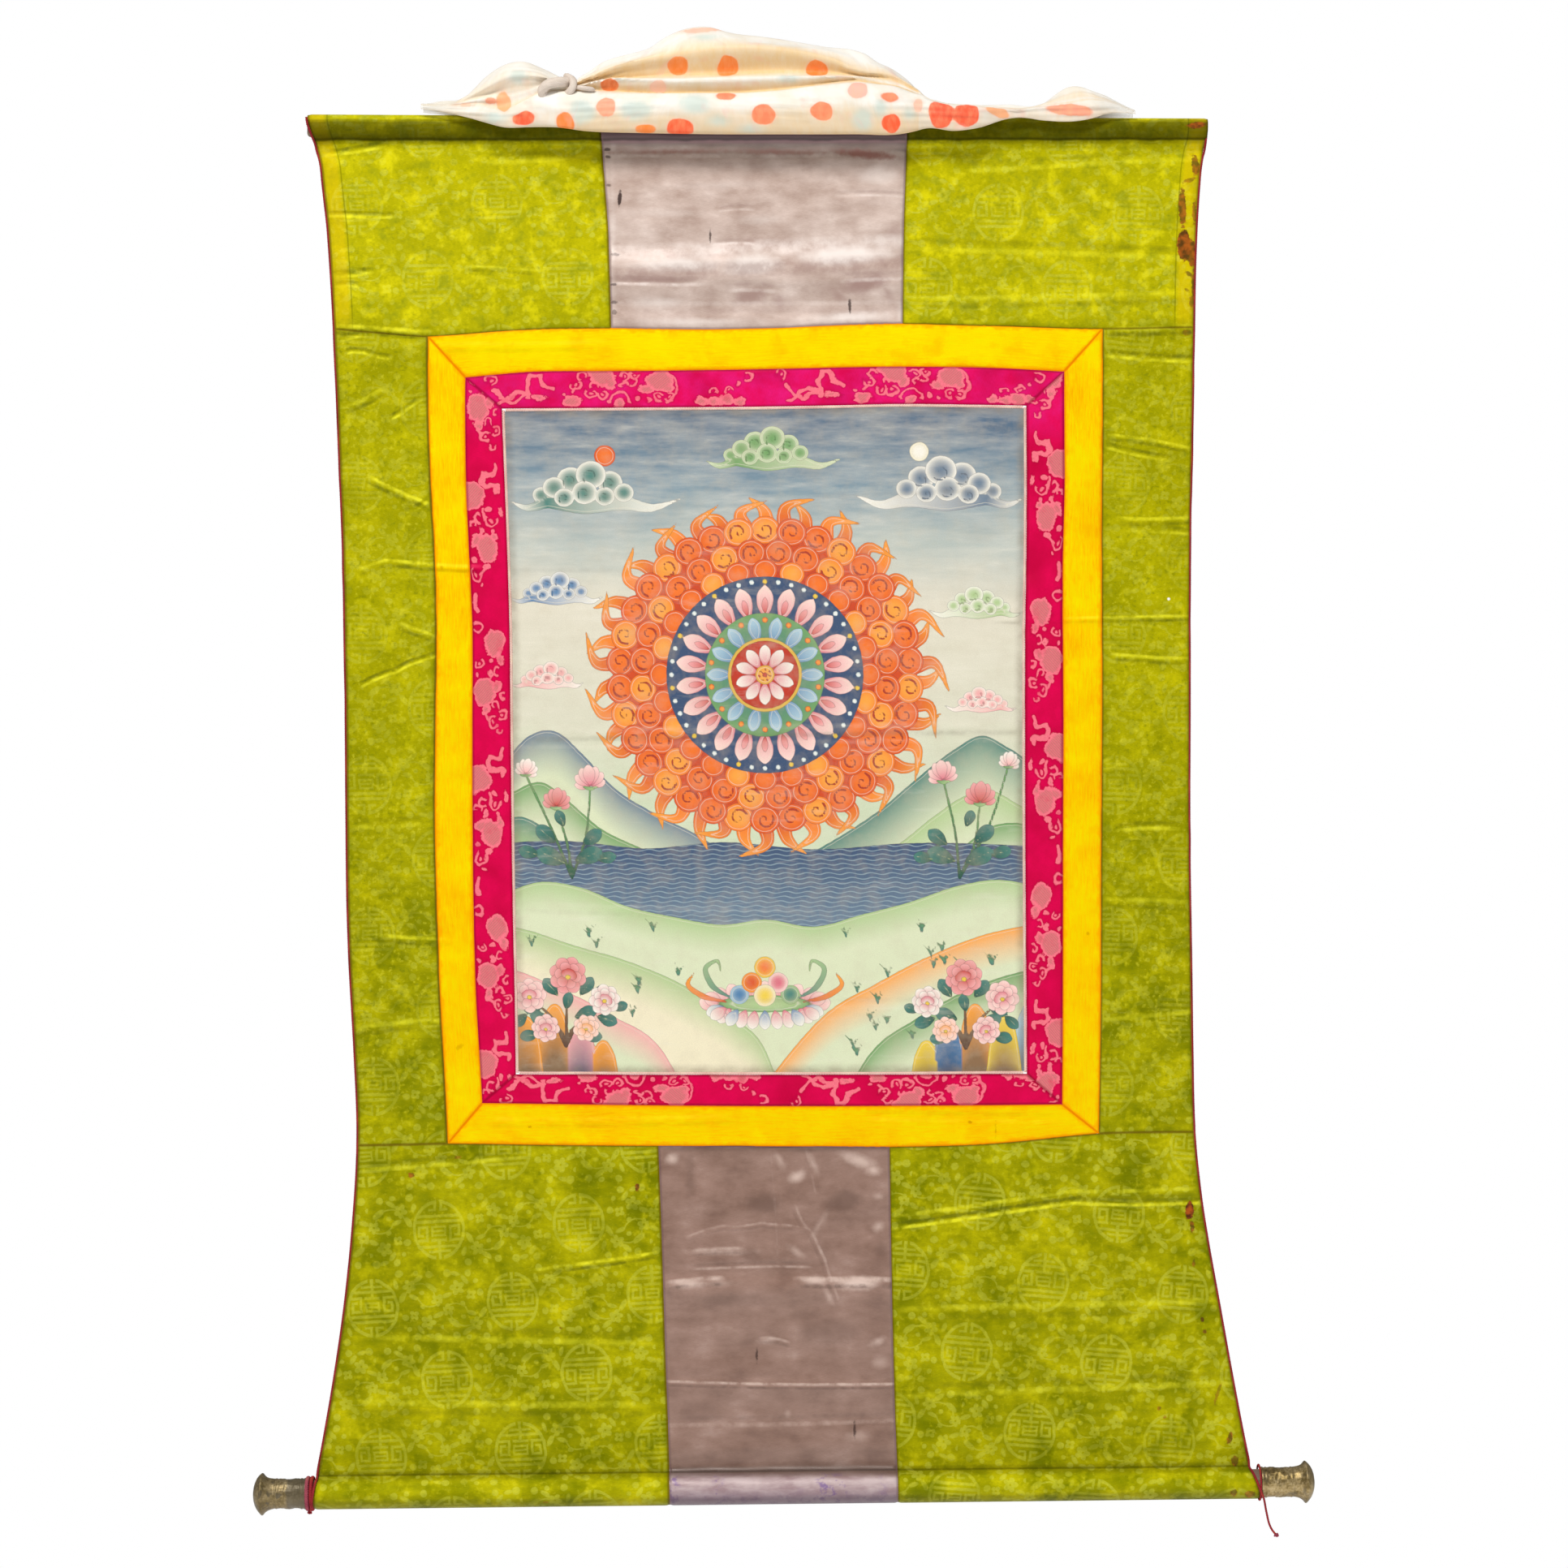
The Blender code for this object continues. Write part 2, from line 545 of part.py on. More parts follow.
def build_roller(wood, metal):
    """The wooden dowel and its two turned metal caps, on one slightly sloping axis."""
    rise = ROLLER_AXIS_RIGHT - ROLLER_AXIS_LEFT
    span = ROLLER_RIGHT - ROLLER_LEFT
    slope = math.atan2(rise, span)
    floor = CAP_DOME + CAP_WALL
    bm = bmesh.new()
    bmesh.ops.create_cone(
        bm,
        cap_ends=True,
        segments=28,
        radius1=DOWEL_RADIUS,
        radius2=DOWEL_RADIUS,
        depth=math.hypot(rise, span) - 2 * (floor + CAP_PLAY),
    )
    dowel = solid("dowel", mesh_from(bm, "dowel"), wood)
    middle = (ROLLER_LEFT + ROLLER_RIGHT) / 2
    dowel.location = (middle, 0, roller_axis(middle))
    dowel.rotation_euler.y = math.pi / 2 - slope

    # Half section of a cap: radius and distance in from the tip, over the dome and down the flare,
    # along the waisted tube to its mouth, and back inside
    dome_turns = [math.pi / 2 * k / 5 for k in range(5)]
    outline = [
        (CAP_RIM_RADIUS * math.sin(turn), CAP_DOME * (1 - math.cos(turn))) for turn in dome_turns
    ]
    outline += [(CAP_RIM_RADIUS, CAP_DOME), (CAP_RIM_RADIUS, CAP_DOME + CAP_WALL)]
    for share in (0.15, 0.35, 0.6, 1.0):
        radius = mix(CAP_WAIST_RADIUS, CAP_RIM_RADIUS, (1 - share) ** 2)
        outline.append((radius, CAP_DOME + CAP_WALL + share * CAP_FLARE))
    outline += [
        (mix(CAP_WAIST_RADIUS, CAP_MOUTH_RADIUS, 0.4), mix(floor + CAP_FLARE, CAP_LENGTH, 0.6)),
        (CAP_MOUTH_RADIUS, CAP_LENGTH),
        (CAP_BORE_RADIUS, CAP_LENGTH),
        (CAP_BORE_RADIUS, floor),
        (0.0, floor),
    ]
    for side, x, tip in (("left", ROLLER_LEFT, -1), ("right", ROLLER_RIGHT, 1)):
        bm = bmesh.new()
        corners = [bm.verts.new((radius, 0, -inwards)) for radius, inwards in outline]
        for first, second in zip(corners, corners[1:]):
            bm.edges.new((first, second))
        cap = solid(f"cap_{side}", mesh_from(bm, f"cap_{side}"), metal)
        cap.location = (x, 0, roller_axis(x))
        cap.rotation_euler.y = tip * math.pi / 2 - slope
        turning = cap.modifiers.new("Turning", "SCREW")
        turning.steps = 22
        turning.render_steps = 22
        turning.use_merge_vertices = True
        turning.merge_threshold = 0.00005


def build_edge_cord(side, rim, end_turn, finish):
    """A cord sewn down one side edge, from the top hem round the front of the roll.
    Returns its last point."""
    inwards = 1 if side == "left" else -1
    half = EDGE_CORD_DIAMETER / 2
    line = shifted(EDGE[side], inwards * half)
    hem_high = batten_axis(line(0.0)) + TOP_HEM_HEIGHT / 2
    front = -(TOP_HEM_DEPTH + CLOTH) / 2 - half - CORD_CLEARANCE
    points = []
    for share in (0.0, 0.35, 0.7, 1.0):
        z = mix(hem_high - 0.0030, hem_high - TOP_HEM_HEIGHT + 0.0020, share)
        points.append(Vector((line(z), front * (1 - 0.45 * share**3), z)))
    high = top_of_sheet(line(-0.04)) - 0.0020
    low = foot_of_sheet(line(-1.33)) + 0.0040
    for k in range(EDGE_CORD_STEPS + 1):
        z = mix(high, low, k / EDGE_CORD_STEPS)
        points.append(hanging(line(z), z))
    around = ROLL_RADIUS + CLOTH / 2 + CORD_CLEARANCE + half
    start_turn = math.radians(24)
    for k in range(8):
        turn = mix(start_turn, end_turn, k / 7)
        x = mix(line(low), rim, k / 7)
        axis = roller_axis(x)
        points.append(Vector((x, -around * math.sin(turn), axis + around * math.cos(turn))))
    cord(f"edge_cord_{side}", points, EDGE_CORD_DIAMETER, 2, finish)
    return points[-1]


def build_cord_tail(start, finish):
    """The loose end of the right edge cord, hanging from the roller."""
    Spot = namedtuple("Spot", "run x y z")
    route = [Vector((0, 0, -JOIN_GAP)), *(Vector(step) for step in CORD_TAIL)]
    axes = curves([Spot(i, *(start + step)) for i, step in enumerate(route)])
    last = len(route) - 1
    runs = [last * k / CORD_TAIL_STEPS for k in range(CORD_TAIL_STEPS + 1)]
    points = [Vector(tuple(axes[axis](run) for axis in "xyz")) for run in runs]
    cord("cord_tail", points, EDGE_CORD_DIAMETER, 2, finish)


def cover_section(row):
    """The cover's back-and-forth section as functions y and z of the share along it: from its edge
    behind the hem, over the crest, down two hollows, and round the lower roll to its front edge."""
    clear = (TOP_HEM_DEPTH + CLOTH + COVER_CLOTH) / 2 + COVER_CLEARANCE
    rise = row.crest - row.crease
    route = (
        (clear, row.behind),
        (clear, mix(row.behind, row.crest, 0.45)),
        (clear - 0.0025, mix(row.behind, row.crest, 0.85)),
        (0.0020, row.crest),
        (-0.55 * row.puff, row.crest - 0.10 * rise),
        (-0.80 * row.puff, row.crest - 0.32 * rise),
        (-0.40 * row.puff, row.crest - 0.54 * rise),
        (-0.95 * row.puff, row.crest - 0.74 * rise),
        (-0.62 * row.puff - 0.0010, row.crease + 0.08 * rise + 0.0012),
        (-mix(clear, row.roll, 0.45), row.crease + 0.0008),
        (-row.roll, mix(row.crease, row.foot, 0.30)),
        (-row.roll, mix(row.crease, row.foot, 0.72)),
        (-mix(clear, row.roll, 0.62), row.foot),
        (-clear, mix(row.crease, row.foot, 0.86)),
    )
    Spot = namedtuple("Spot", "share y z")
    last = len(route) - 1
    return curves([Spot(i / last, *point) for i, point in enumerate(route)])


def build_cover(finish):
    """The thin silk cover, gathered up and lying over the top hem."""
    gather = curves(GATHERS)
    sections = {}

    def place(across, along):
        if across not in sections:
            x = mix(GATHERS[0].x, GATHERS[-1].x, across)
            sections[across] = x, cover_section(Gather(x, *(read(x) for read in gather.values())))
        x, section = sections[across]
        return Vector((x, section["y"](along), section["z"](along)))

    sheet("cover", 30, 20, place, COVER_CLOTH, finish)


def build_scroll():
    green = material("damask_green", DAMASK_GREEN, 0.55)
    yellow = material("frame_yellow", FRAME_YELLOW, 0.50)
    pink = material("band_pink", BAND_PINK, 0.50)
    top_satin = material("satin_faded", TOP_SATIN, 0.38)
    foot_satin = material("satin_mauve", FOOT_SATIN, 0.38)
    ground = material("picture_ground", PICTURE_GROUND, 0.85)
    pale = material("piping_pale", PALE_PIPING, 0.60)
    red = material("cord_red", CORD_RED, 0.65)
    wood = material("plain_wood", PLAIN_WOOD, 0.70)
    metal = material("cap_metal", CAP_METAL, 0.42, 0.9)
    ivory = material("cover_ivory", COVER_IVORY, 0.60)

    build_mount(green, top_satin, foot_satin)
    build_border("frame", "frame", "band", 0.0, UPRIGHT_ROWS, LEVEL_ROWS, yellow)
    build_border("band", "band", "picture", PIPING_CHANNEL, UPRIGHT_ROWS, LEVEL_ROWS, pink)
    picture = [SEAMS[f"picture_{edge}"] for edge in ("left", "right", "top", "foot")]
    panel("picture", *picture, 8, PICTURE_ROWS, ground)
    build_piping(pale)
    build_batten(wood)
    build_roller(wood, metal)
    build_edge_cord("left", CORD_RIM_LEFT, CORD_END_TURN_LEFT, red)
    tail_start = build_edge_cord("right", CORD_RIM_RIGHT, CORD_END_TURN_RIGHT, red)
    build_cord_tail(tail_start, red)
    build_cover(ivory)


clear_scene()
part = bpy.data.collections.new("thangka_scroll_painting")
bpy.context.scene.collection.children.link(part)
build_scroll()
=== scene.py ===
import random
from functools import reduce
from math import atan2, cos, hypot, pi, radians, sin, tanh, tau

import bmesh
import bpy
import numpy as np
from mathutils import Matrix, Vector
from mathutils.bvhtree import BVHTree


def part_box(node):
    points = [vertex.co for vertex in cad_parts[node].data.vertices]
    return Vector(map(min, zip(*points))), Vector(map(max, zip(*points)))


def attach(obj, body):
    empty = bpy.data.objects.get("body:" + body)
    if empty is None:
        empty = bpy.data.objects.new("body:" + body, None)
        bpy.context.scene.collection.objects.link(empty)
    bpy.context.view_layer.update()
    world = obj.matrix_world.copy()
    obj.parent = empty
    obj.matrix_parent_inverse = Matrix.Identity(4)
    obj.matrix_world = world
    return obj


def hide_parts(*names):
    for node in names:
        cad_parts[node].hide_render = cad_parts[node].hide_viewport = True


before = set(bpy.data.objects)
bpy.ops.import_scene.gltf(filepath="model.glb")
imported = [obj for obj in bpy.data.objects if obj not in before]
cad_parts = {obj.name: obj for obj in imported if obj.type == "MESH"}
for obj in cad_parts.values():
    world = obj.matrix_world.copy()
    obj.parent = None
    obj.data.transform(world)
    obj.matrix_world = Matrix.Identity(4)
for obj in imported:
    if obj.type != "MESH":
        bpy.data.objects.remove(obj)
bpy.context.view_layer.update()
print("stage: frame loaded")

photo = {"scale": 0.0008, "middle": 945, "top": 142, "size": 1932}  # one pixel is 0.8 mm at the cloth
bpy.context.scene.view_settings.view_transform = "Standard"  # keeps the silk's strong colours


def spot(px, py):
    return (px - photo["middle"]) * photo["scale"], (photo["top"] - py) * photo["scale"]


def eased(share):
    share = np.clip(share, 0, 1)
    return share * share * (3 - 2 * share)


def through(knots, values, at):
    # smooth curve through uneven knots, straight beyond both ends
    knots, values, at = (np.asarray(part, float) for part in (knots, values, at))
    shape = (-1,) + (1,) * (values.ndim - 1)
    step = np.diff(knots)
    slope = np.diff(values, axis=0) / step.reshape(shape)
    near = (step[1:] / (step[:-1] + step[1:])).reshape(shape)
    lean = np.concatenate((slope[:1], slope[:-1] * near + slope[1:] * (1 - near), slope[-1:]))
    place = np.clip(np.searchsorted(knots, at, side="right") - 1, 0, len(step) - 1)
    gap = step[place].reshape(shape)
    t = ((at - knots[place]) / step[place]).reshape(shape)
    inside = np.clip(t, 0, 1)
    square = inside * inside
    cube = square * inside
    found = (values[place] * (2 * cube - 3 * square + 1) + values[place + 1] * (3 * square - 2 * cube) + gap
        * (lean[place] * (cube - 2 * square + inside) + lean[place + 1] * (cube - square)))
    return found + (t - inside) * gap * np.where(t < 0, lean[place], lean[place + 1])


def lengths(points):
    # the distance run along a line of points, or down every column of a grid
    steps = np.linalg.norm(np.diff(points, axis=0), axis=-1)
    return np.concatenate((np.zeros_like(steps[:1]), np.cumsum(steps, axis=0)))


def mergedCopy(node):
    shape = bmesh.new()
    shape.from_mesh(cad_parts[node].data)
    bmesh.ops.remove_doubles(shape, verts=shape.verts, dist=0.00002)
    shape.normal_update()
    return shape


def grown(seed, bend, most):
    # the faces that join on to a first one without a sharper bend than this
    layer, edge = {seed}, [seed]
    while edge and len(layer) < most:
        face = edge.pop()
        for side in face.edges:
            for other in side.link_faces:
                if other not in layer and face.normal.angle(other.normal) < bend:
                    layer.add(other)
                    edge.append(other)
    return layer


def frontLayer(shape, node):
    low, high = (Vector(corner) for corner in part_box(node))
    middle = (low + high) / 2
    facing = [face for face in shape.faces if face.normal.y < -0.9]
    seed = min(facing, key=lambda face: (face.calc_center_median() - middle).length)
    return grown(seed, radians(68), len(shape.faces))


def rimOf(layer):
    nextTo = {}
    for face in layer:
        for side in face.edges:
            if sum(other in layer for other in side.link_faces) == 1:
                first, second = side.verts
                nextTo.setdefault(first, []).append(second)
                nextTo.setdefault(second, []).append(first)
    rim, last = [next(iter(nextTo))], None
    while True:
        ahead = [vert for vert in nextTo[rim[-1]] if vert is not last][0]
        last = rim[-1]
        if ahead is rim[0] and len(rim) > 2:
            return [vert.co.copy() for vert in rim]
        rim.append(ahead)


def clothSides(node):
    # the front layer's rim as four sides: top, right, foot, left, and a tree of its faces
    shape = mergedCopy(node)
    layer = frontLayer(shape, node)
    rim = rimOf(layer)
    tree = BVHTree.FromPolygons([vert.co.copy() for vert in shape.verts],
        [[vert.index for vert in face.verts] for face in layer])
    shape.free()
    count = len(rim)
    turns = [(rim[i] - rim[i - 1]).angle(rim[(i + 1) % count] - rim[i]) for i in range(count)]
    corners = sorted(range(count), key=lambda i: -turns[i])[:4]
    upper = sorted(sorted(corners, key=lambda i: -rim[i].z)[:2], key=lambda i: rim[i].x)
    rim = rim[upper[0]:] + rim[:upper[0]]
    corners = sorted((i - upper[0]) % count for i in corners)
    if corners[1] != (upper[1] - upper[0]) % count:
        rim = [rim[0]] + rim[:0:-1]
        corners = sorted((-i) % count for i in corners)
    rim = np.array(rim + [rim[0]])
    ends = corners + [count]
    sides = [rim[ends[i]:ends[i + 1] + 1] for i in range(4)]
    return sides[0], sides[1], sides[2][::-1], sides[3][::-1], tree


def spread(side, count):
    if len(side) == count:
        return side
    long = lengths(side)
    return through(long, side, np.linspace(0, long[-1], count))


def clothGrid(node, columns=None):
    # rows run down and columns run across, each point on the front face of the CAD cloth
    top, right, foot, left, tree = clothSides(node)
    rows = max(len(left), len(right))
    columns = (columns or max(len(top), len(foot)) - 1) + 1
    top, foot = spread(top, columns), spread(foot, columns)
    left, right = spread(left, rows), spread(right, rows)
    down = (lengths(left) / lengths(left)[-1] + lengths(right) / lengths(right)[-1])[:, None, None] / 2
    over = (lengths(top) / lengths(top)[-1] + lengths(foot) / lengths(foot)[-1])[None, :, None] / 2
    grid = ((1 - over) * left[:, None] + over * right[:, None] + (1 - down) * top[None] + down * foot[None]
        - (1 - down) * ((1 - over) * top[0] + over * top[-1]) - down *
        ((1 - over) * foot[0] + over * foot[-1]))
    for r in range(1, rows - 1):
        for c in range(1, columns - 1):
            near = tree.find_nearest(Vector(grid[r, c]))[0]
            if near is not None:
                grid[r, c] = near
    return grid


def ticks(length, step, edge, fit):
    # even steps with a few close ones by each seam, and a little cloth beyond it, a multiple of fit in all
    close = [0.0006, 0.0014, 0.0026]
    cells = max(1, round((length - 0.0084) / step))
    inner = np.linspace(0.0042, length - 0.0042, cells + -(cells + 8) % fit + 1)
    return np.concatenate(([-edge[0]], close, inner, [length - t for t in reversed(close)],
        [length + edge[1]]))


def fineGrid(coarse, step, over, down, fit=1):
    across = np.mean([lengths(row) for row in coarse], axis=0)
    along = np.mean([lengths(coarse[:, c]) for c in range(coarse.shape[1])], axis=0)
    u = ticks(across[-1], step[0], over, fit)
    v = ticks(along[-1], step[1], down, fit)
    grid = through(along, coarse, v)
    grid = through(across, grid.transpose(1, 0, 2), u).transpose(1, 0, 2)
    return grid, u, v


# creases over the sewn panels: ends in photograph pixels, softness and height in mm
creases = ((416, 408, 526, 411, 2.6, 1.6), (420, 416, 452, 413, 2, -1.2), (428, 435, 450, 432, 1.8, -1.3),
    (450, 432, 480, 442, 1.8, -1.3), (424, 506, 471, 483, 2.4, 1.2), (482, 512, 519, 492, 1.8, -1.4),
    (455, 592, 524, 621, 2.2, 1.7), (500, 629, 526, 618, 1.7, -1), (445, 703, 480, 695, 2.2, 1.3),
    (480, 695, 592, 700, 2.2, 1.4), (495, 770, 538, 791, 2.4, 1.1), (446, 843, 491, 825, 1.8, -1.5),
    (491, 825, 536, 805, 1.8, -1.7), (456, 1153, 552, 1161, 2.4, 1.1), (436, 1016, 520, 1010, 3, -0.8),
    (440, 1270, 548, 1262, 3.2, 0.9), (1366, 410, 1470, 404, 2.6, 1.5), (1366, 437, 1470, 441, 2.2, -1.4),
    (1370, 540, 1462, 554, 2, 1.5), (1366, 551, 1440, 564, 2, -1.2), (1380, 640, 1470, 642, 2.2, 1.3),
    (1376, 652, 1466, 655, 2.2, -0.9), (1236, 763, 1466, 763, 1.8, 1.3), (1372, 811, 1466, 813, 2.2, 1.1),
    (1376, 1020, 1456, 1018, 2.4, -1.1), (1362, 1110, 1470, 1118, 3, 0.8),
    (1362, 1250, 1470, 1244, 3, -0.8), (1104, 1509, 1329, 1481, 2, -1.6), (1329, 1481, 1484, 1480, 2, -1.6),
    (1110, 1500, 1330, 1472, 2.6, 1), (1330, 1471, 1480, 1470, 2.6, 0.9), (668, 1567, 806, 1544, 2, 1.4),
    (450, 1436, 640, 1424, 2.8, -0.9), (848, 1525, 896, 1512, 1.6, 0.8), (896, 1512, 942, 1509, 1.6, 0.9),
    (942, 1509, 991, 1516, 1.6, 0.8), (977, 1484, 994, 1516, 1.8, 0.8), (994, 1516, 1016, 1553, 1.9, 1.1),
    (1016, 1553, 1031, 1608, 1.8, 0.9), (954, 1420, 959, 1547, 1.8, -0.8),
    (994, 1418, 1010, 1473, 1.8, -0.6), (854, 1542, 918, 1542, 1.9, 1.1), (860, 1559, 994, 1559, 1.7, -1),
    (822, 1581, 890, 1579, 2.6, 1.5), (985, 1577, 1102, 1582, 2.9, 1.9), (820, 1704, 1108, 1707, 1.7, 1.6),
    (936, 1650, 972, 1656, 1.8, 0.8), (820, 1752, 1110, 1746, 3, -0.7), (744, 188, 1120, 184, 2.8, -1.2),
    (1030, 238, 1116, 241, 1.6, -1.1), (886, 258, 928, 256, 1.6, -0.9), (879, 298, 928, 300, 1.5, -1.1),
    (746, 324, 1118, 313, 9, 1.7), (750, 347, 862, 346, 2.4, -1.7), (899, 356, 964, 356, 2.4, -1.2),
    (1038, 345, 1116, 338, 2.6, -1.2), (750, 380, 1118, 375, 3.2, 0.7), (400, 187, 472, 180, 2, -1.4),
    (404, 265, 484, 263, 1.8, -1.4), (412, 337, 458, 334, 2.1, -1.7), (414, 350, 442, 353, 1.8, -1),
    (579, 333, 662, 335, 1.8, 1.1), (600, 196, 730, 186, 3.2, -0.9), (1180, 205, 1480, 192, 3.4, -0.8),
    (1130, 300, 1470, 315, 3.6, -0.8), (1122, 372, 1466, 366, 3.4, 0.8), (530, 430, 740, 424, 3, 0.6),
    (640, 705, 830, 712, 3.2, -0.6), (1010, 606, 1262, 600, 3, 0.6), (640, 905, 1262, 898, 3.4, 0.7),
    (640, 915, 1262, 909, 3, -0.6), (650, 1118, 1000, 1126, 3.2, 0.6), (900, 1240, 1262, 1232, 3.2, -0.6),
    (600, 1383, 900, 1379, 3, 0.6), (1060, 1372, 1300, 1380, 3, -0.6), (470, 1640, 800, 1652, 4, -0.7),
    (450, 1732, 790, 1738, 4, 0.8), (1120, 1620, 1500, 1606, 4, 0.7), (1130, 1712, 1520, 1700, 4, -0.8),
)
creaseBow = {"turn": 3.1, "wide": 1.4}  # each crease bows along its run, in mm


def relief(x, z):
    # how far the listed creases and the cloth's own unevenness lift the front face
    lift = np.zeros_like(x)
    for x0, y0, x1, y1, soft, high in creases:
        (ax, az), (bx, bz) = spot(x0, y0), spot(x1, y1)
        long = hypot(bx - ax, bz - az)
        dx, dz = (bx - ax) / long, (bz - az) / long
        along = ((x - ax) * dx + (z - az) * dz) / long
        bow = 0.001 * creaseBow["wide"] * np.sin(along * creaseBow["turn"] + x0)
        off = (z - az) * dx - (x - ax) * dz - bow
        ends = eased((along + 0.1) / 0.22) * eased((1.1 - along) / 0.22)
        lift += 0.001 * high * ends * np.exp(-0.5 * (off / (0.001 * soft)) ** 2)
    for size, turn, pitch, phase in ((0.3, 0.3, 0.083, 0.4), (0.26, 1.25, 0.061, 2.1),
            (0.2, 2.2, 0.047, 4.4), (0.14, 1.7, 0.031, 1.3), (0.16, 0.9, 0.037, 5.6)):
        run = x * cos(turn) + z * sin(turn)
        wander = 1.3 * np.sin(x * 17 + phase) + 1.1 * np.sin(z * 23 - phase)
        lift += 0.001 * size * np.sin(run * tau / pitch + wander + phase)
    return lift


def faceNormals(grid):
    across = np.gradient(grid, axis=1)
    down = np.gradient(grid, axis=0)
    normal = np.cross(down, across)
    return normal / np.maximum(np.linalg.norm(normal, axis=-1, keepdims=True), 1e-12)


def meshFrom(name, points, faces):
    mesh = bpy.data.meshes.new(name)
    mesh.from_pydata([tuple(point) for point in points], [], faces)
    piece = bpy.data.objects.new(name, mesh)
    bpy.context.scene.collection.objects.link(piece)
    return piece


def gridFaces(rows, columns, first=0):
    return [(first + r * columns + c, first + (r + 1) * columns + c, first + (r + 1) * columns + c + 1,
        first + r * columns + c + 1) for r in range(rows - 1) for c in range(columns - 1)]


def useOnly(piece):
    bpy.ops.object.select_all(action="DESELECT")
    piece.select_set(True)
    bpy.context.view_layer.objects.active = piece


def faceOutward():
    # leaves edit mode with all faces turned outward
    bpy.ops.mesh.select_all(action="SELECT")
    bpy.ops.mesh.normals_make_consistent(inside=False)
    bpy.ops.object.mode_set(mode="OBJECT")


def applied(piece, kind, **settings):
    modifier = piece.modifiers.new(kind.lower(), kind)
    for setting, value in settings.items():
        setattr(modifier, setting, value)
    useOnly(piece)
    bpy.ops.object.modifier_apply(modifier=modifier.name)


def writeUv(piece, uv):
    # uv holds one pair for each vertex
    layer = piece.data.uv_layers.new(name="cloth")
    corners = np.empty(len(piece.data.loops), dtype=np.int32)
    piece.data.loops.foreach_get("vertex_index", corners)
    layer.data.foreach_set("uv", np.asarray(uv, dtype=np.float32)[corners].ravel())


def writeNumbers(piece, name, numbers):
    layer = piece.data.attributes.new(name, "FLOAT", "POINT")
    layer.data.foreach_set("value", np.asarray(numbers, dtype=np.float32).ravel())


def writeColours(piece, name, colours):
    layer = piece.data.attributes.new(name, "FLOAT_COLOR", "POINT")
    layer.data.foreach_set("color", np.asarray(colours, dtype=np.float32).ravel())


def fitted(piece, node, bend=50):
    # smooths a finished piece and gives it its solid's place
    useOnly(piece)
    bpy.ops.object.shade_smooth_by_angle(angle=radians(bend))
    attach(piece, "root")
    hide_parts(node)


def seamDistance(u, v, long, tall):
    over = np.minimum(u, long - u)[None, :]
    down = np.minimum(v, tall - v)[:, None]
    return np.clip(np.minimum(over, down), 0, None)


def reachOf(node):
    # how far a panel runs beyond its solid: a little more at a mitre, under the piping and under an edge cord
    kind, side = (node.split("_") + [""])[:2]
    plain, under = sewing["plain"], sewing["under"]
    if kind == "picture":
        return (under, under), (under, under)
    if kind == "damask":
        down = (plain, under) if side == "top" else (plain, plain)
        return ((under, plain) if node.endswith("left") else (plain, under)), down
    if kind == "satin":
        return (plain, plain), (plain, plain)
    inner = under if kind == "band" else plain
    across = (plain, inner) if side in ("top", "left") else (inner, plain)
    return ((under, under), across) if side in ("top", "foot") else (across, (under, under))


# how the sewn panels are meshed, in metres: a cell's width and height, the cloth's thickness and its puckers
sewing = {"cell": (0.005, 0.0022), "finer": {"satin_foot": (0.0027, 0.0026), "picture": (0.00208, 0.00208)},
    "thick": 0.0012, "pucker": 0.00022, "under": 0.001, "plain": 0.0004}


def panel(node, fit=1):
    # one sewn panel as a fine sheet on its solid's front face
    grid, u, v = fineGrid(clothGrid(node), sewing["finer"].get(node, sewing["cell"]), *reachOf(node), fit)
    normal = faceNormals(grid)
    facing = np.clip(-normal[..., 1], 0, 1) ** 3
    x, z = grid[..., 0], grid[..., 2]
    gap = seamDistance(u, v, u[-1] + u[0], v[-1] + v[0])
    wave = np.sin(x * 410 + 2 * np.sin(x * 61)) * np.sin(z * 395 + 2 * np.sin(z * 57))
    lift = relief(x, z) + sewing["pucker"] * wave * np.exp(-gap / 0.008)
    lift = lift * facing * eased(gap / 0.004 + 0.35) - 0.0007 * np.exp(-(gap / 0.0016) ** 2)
    return {"grid": grid + normal * lift[..., None], "u": u, "v": v, "gap": gap, "node": node}


def clothUv(made):
    # metres along x and down the cloth, measured over its surface round a hem
    grid = made["grid"]
    arc = lengths(grid)
    flat = grid.shape[0] // 3 if "foot" in made["node"] else grid.shape[0] * 3 // 4
    return grid[..., 0], grid[flat, :, 2][None] - (arc - arc[flat][None])


def sewn(made, u, v, front, lining):
    # joins a panel's points into one thin cloth with its lining, and puts it in the frame
    grid, node = made["grid"], made["node"]
    rows, columns = grid.shape[:2]
    piece = meshFrom(node + "_cloth", grid.reshape(-1, 3), gridFaces(rows, columns))
    writeUv(piece, np.stack((u, v), axis=-1).reshape(-1, 2))
    writeNumbers(piece, "seam", made["gap"] * 1000)
    if "selvedge" in made:
        writeNumbers(piece, "selvedge", np.broadcast_to(made["selvedge"], (rows, columns)) * 1000)
    piece.data.materials.append(front)
    piece.data.materials.append(lining)
    applied(piece, "SOLIDIFY", thickness=sewing["thick"], offset=-1, material_offset=1,
        material_offset_rim=0, use_even_offset=False)
    fitted(piece, node)


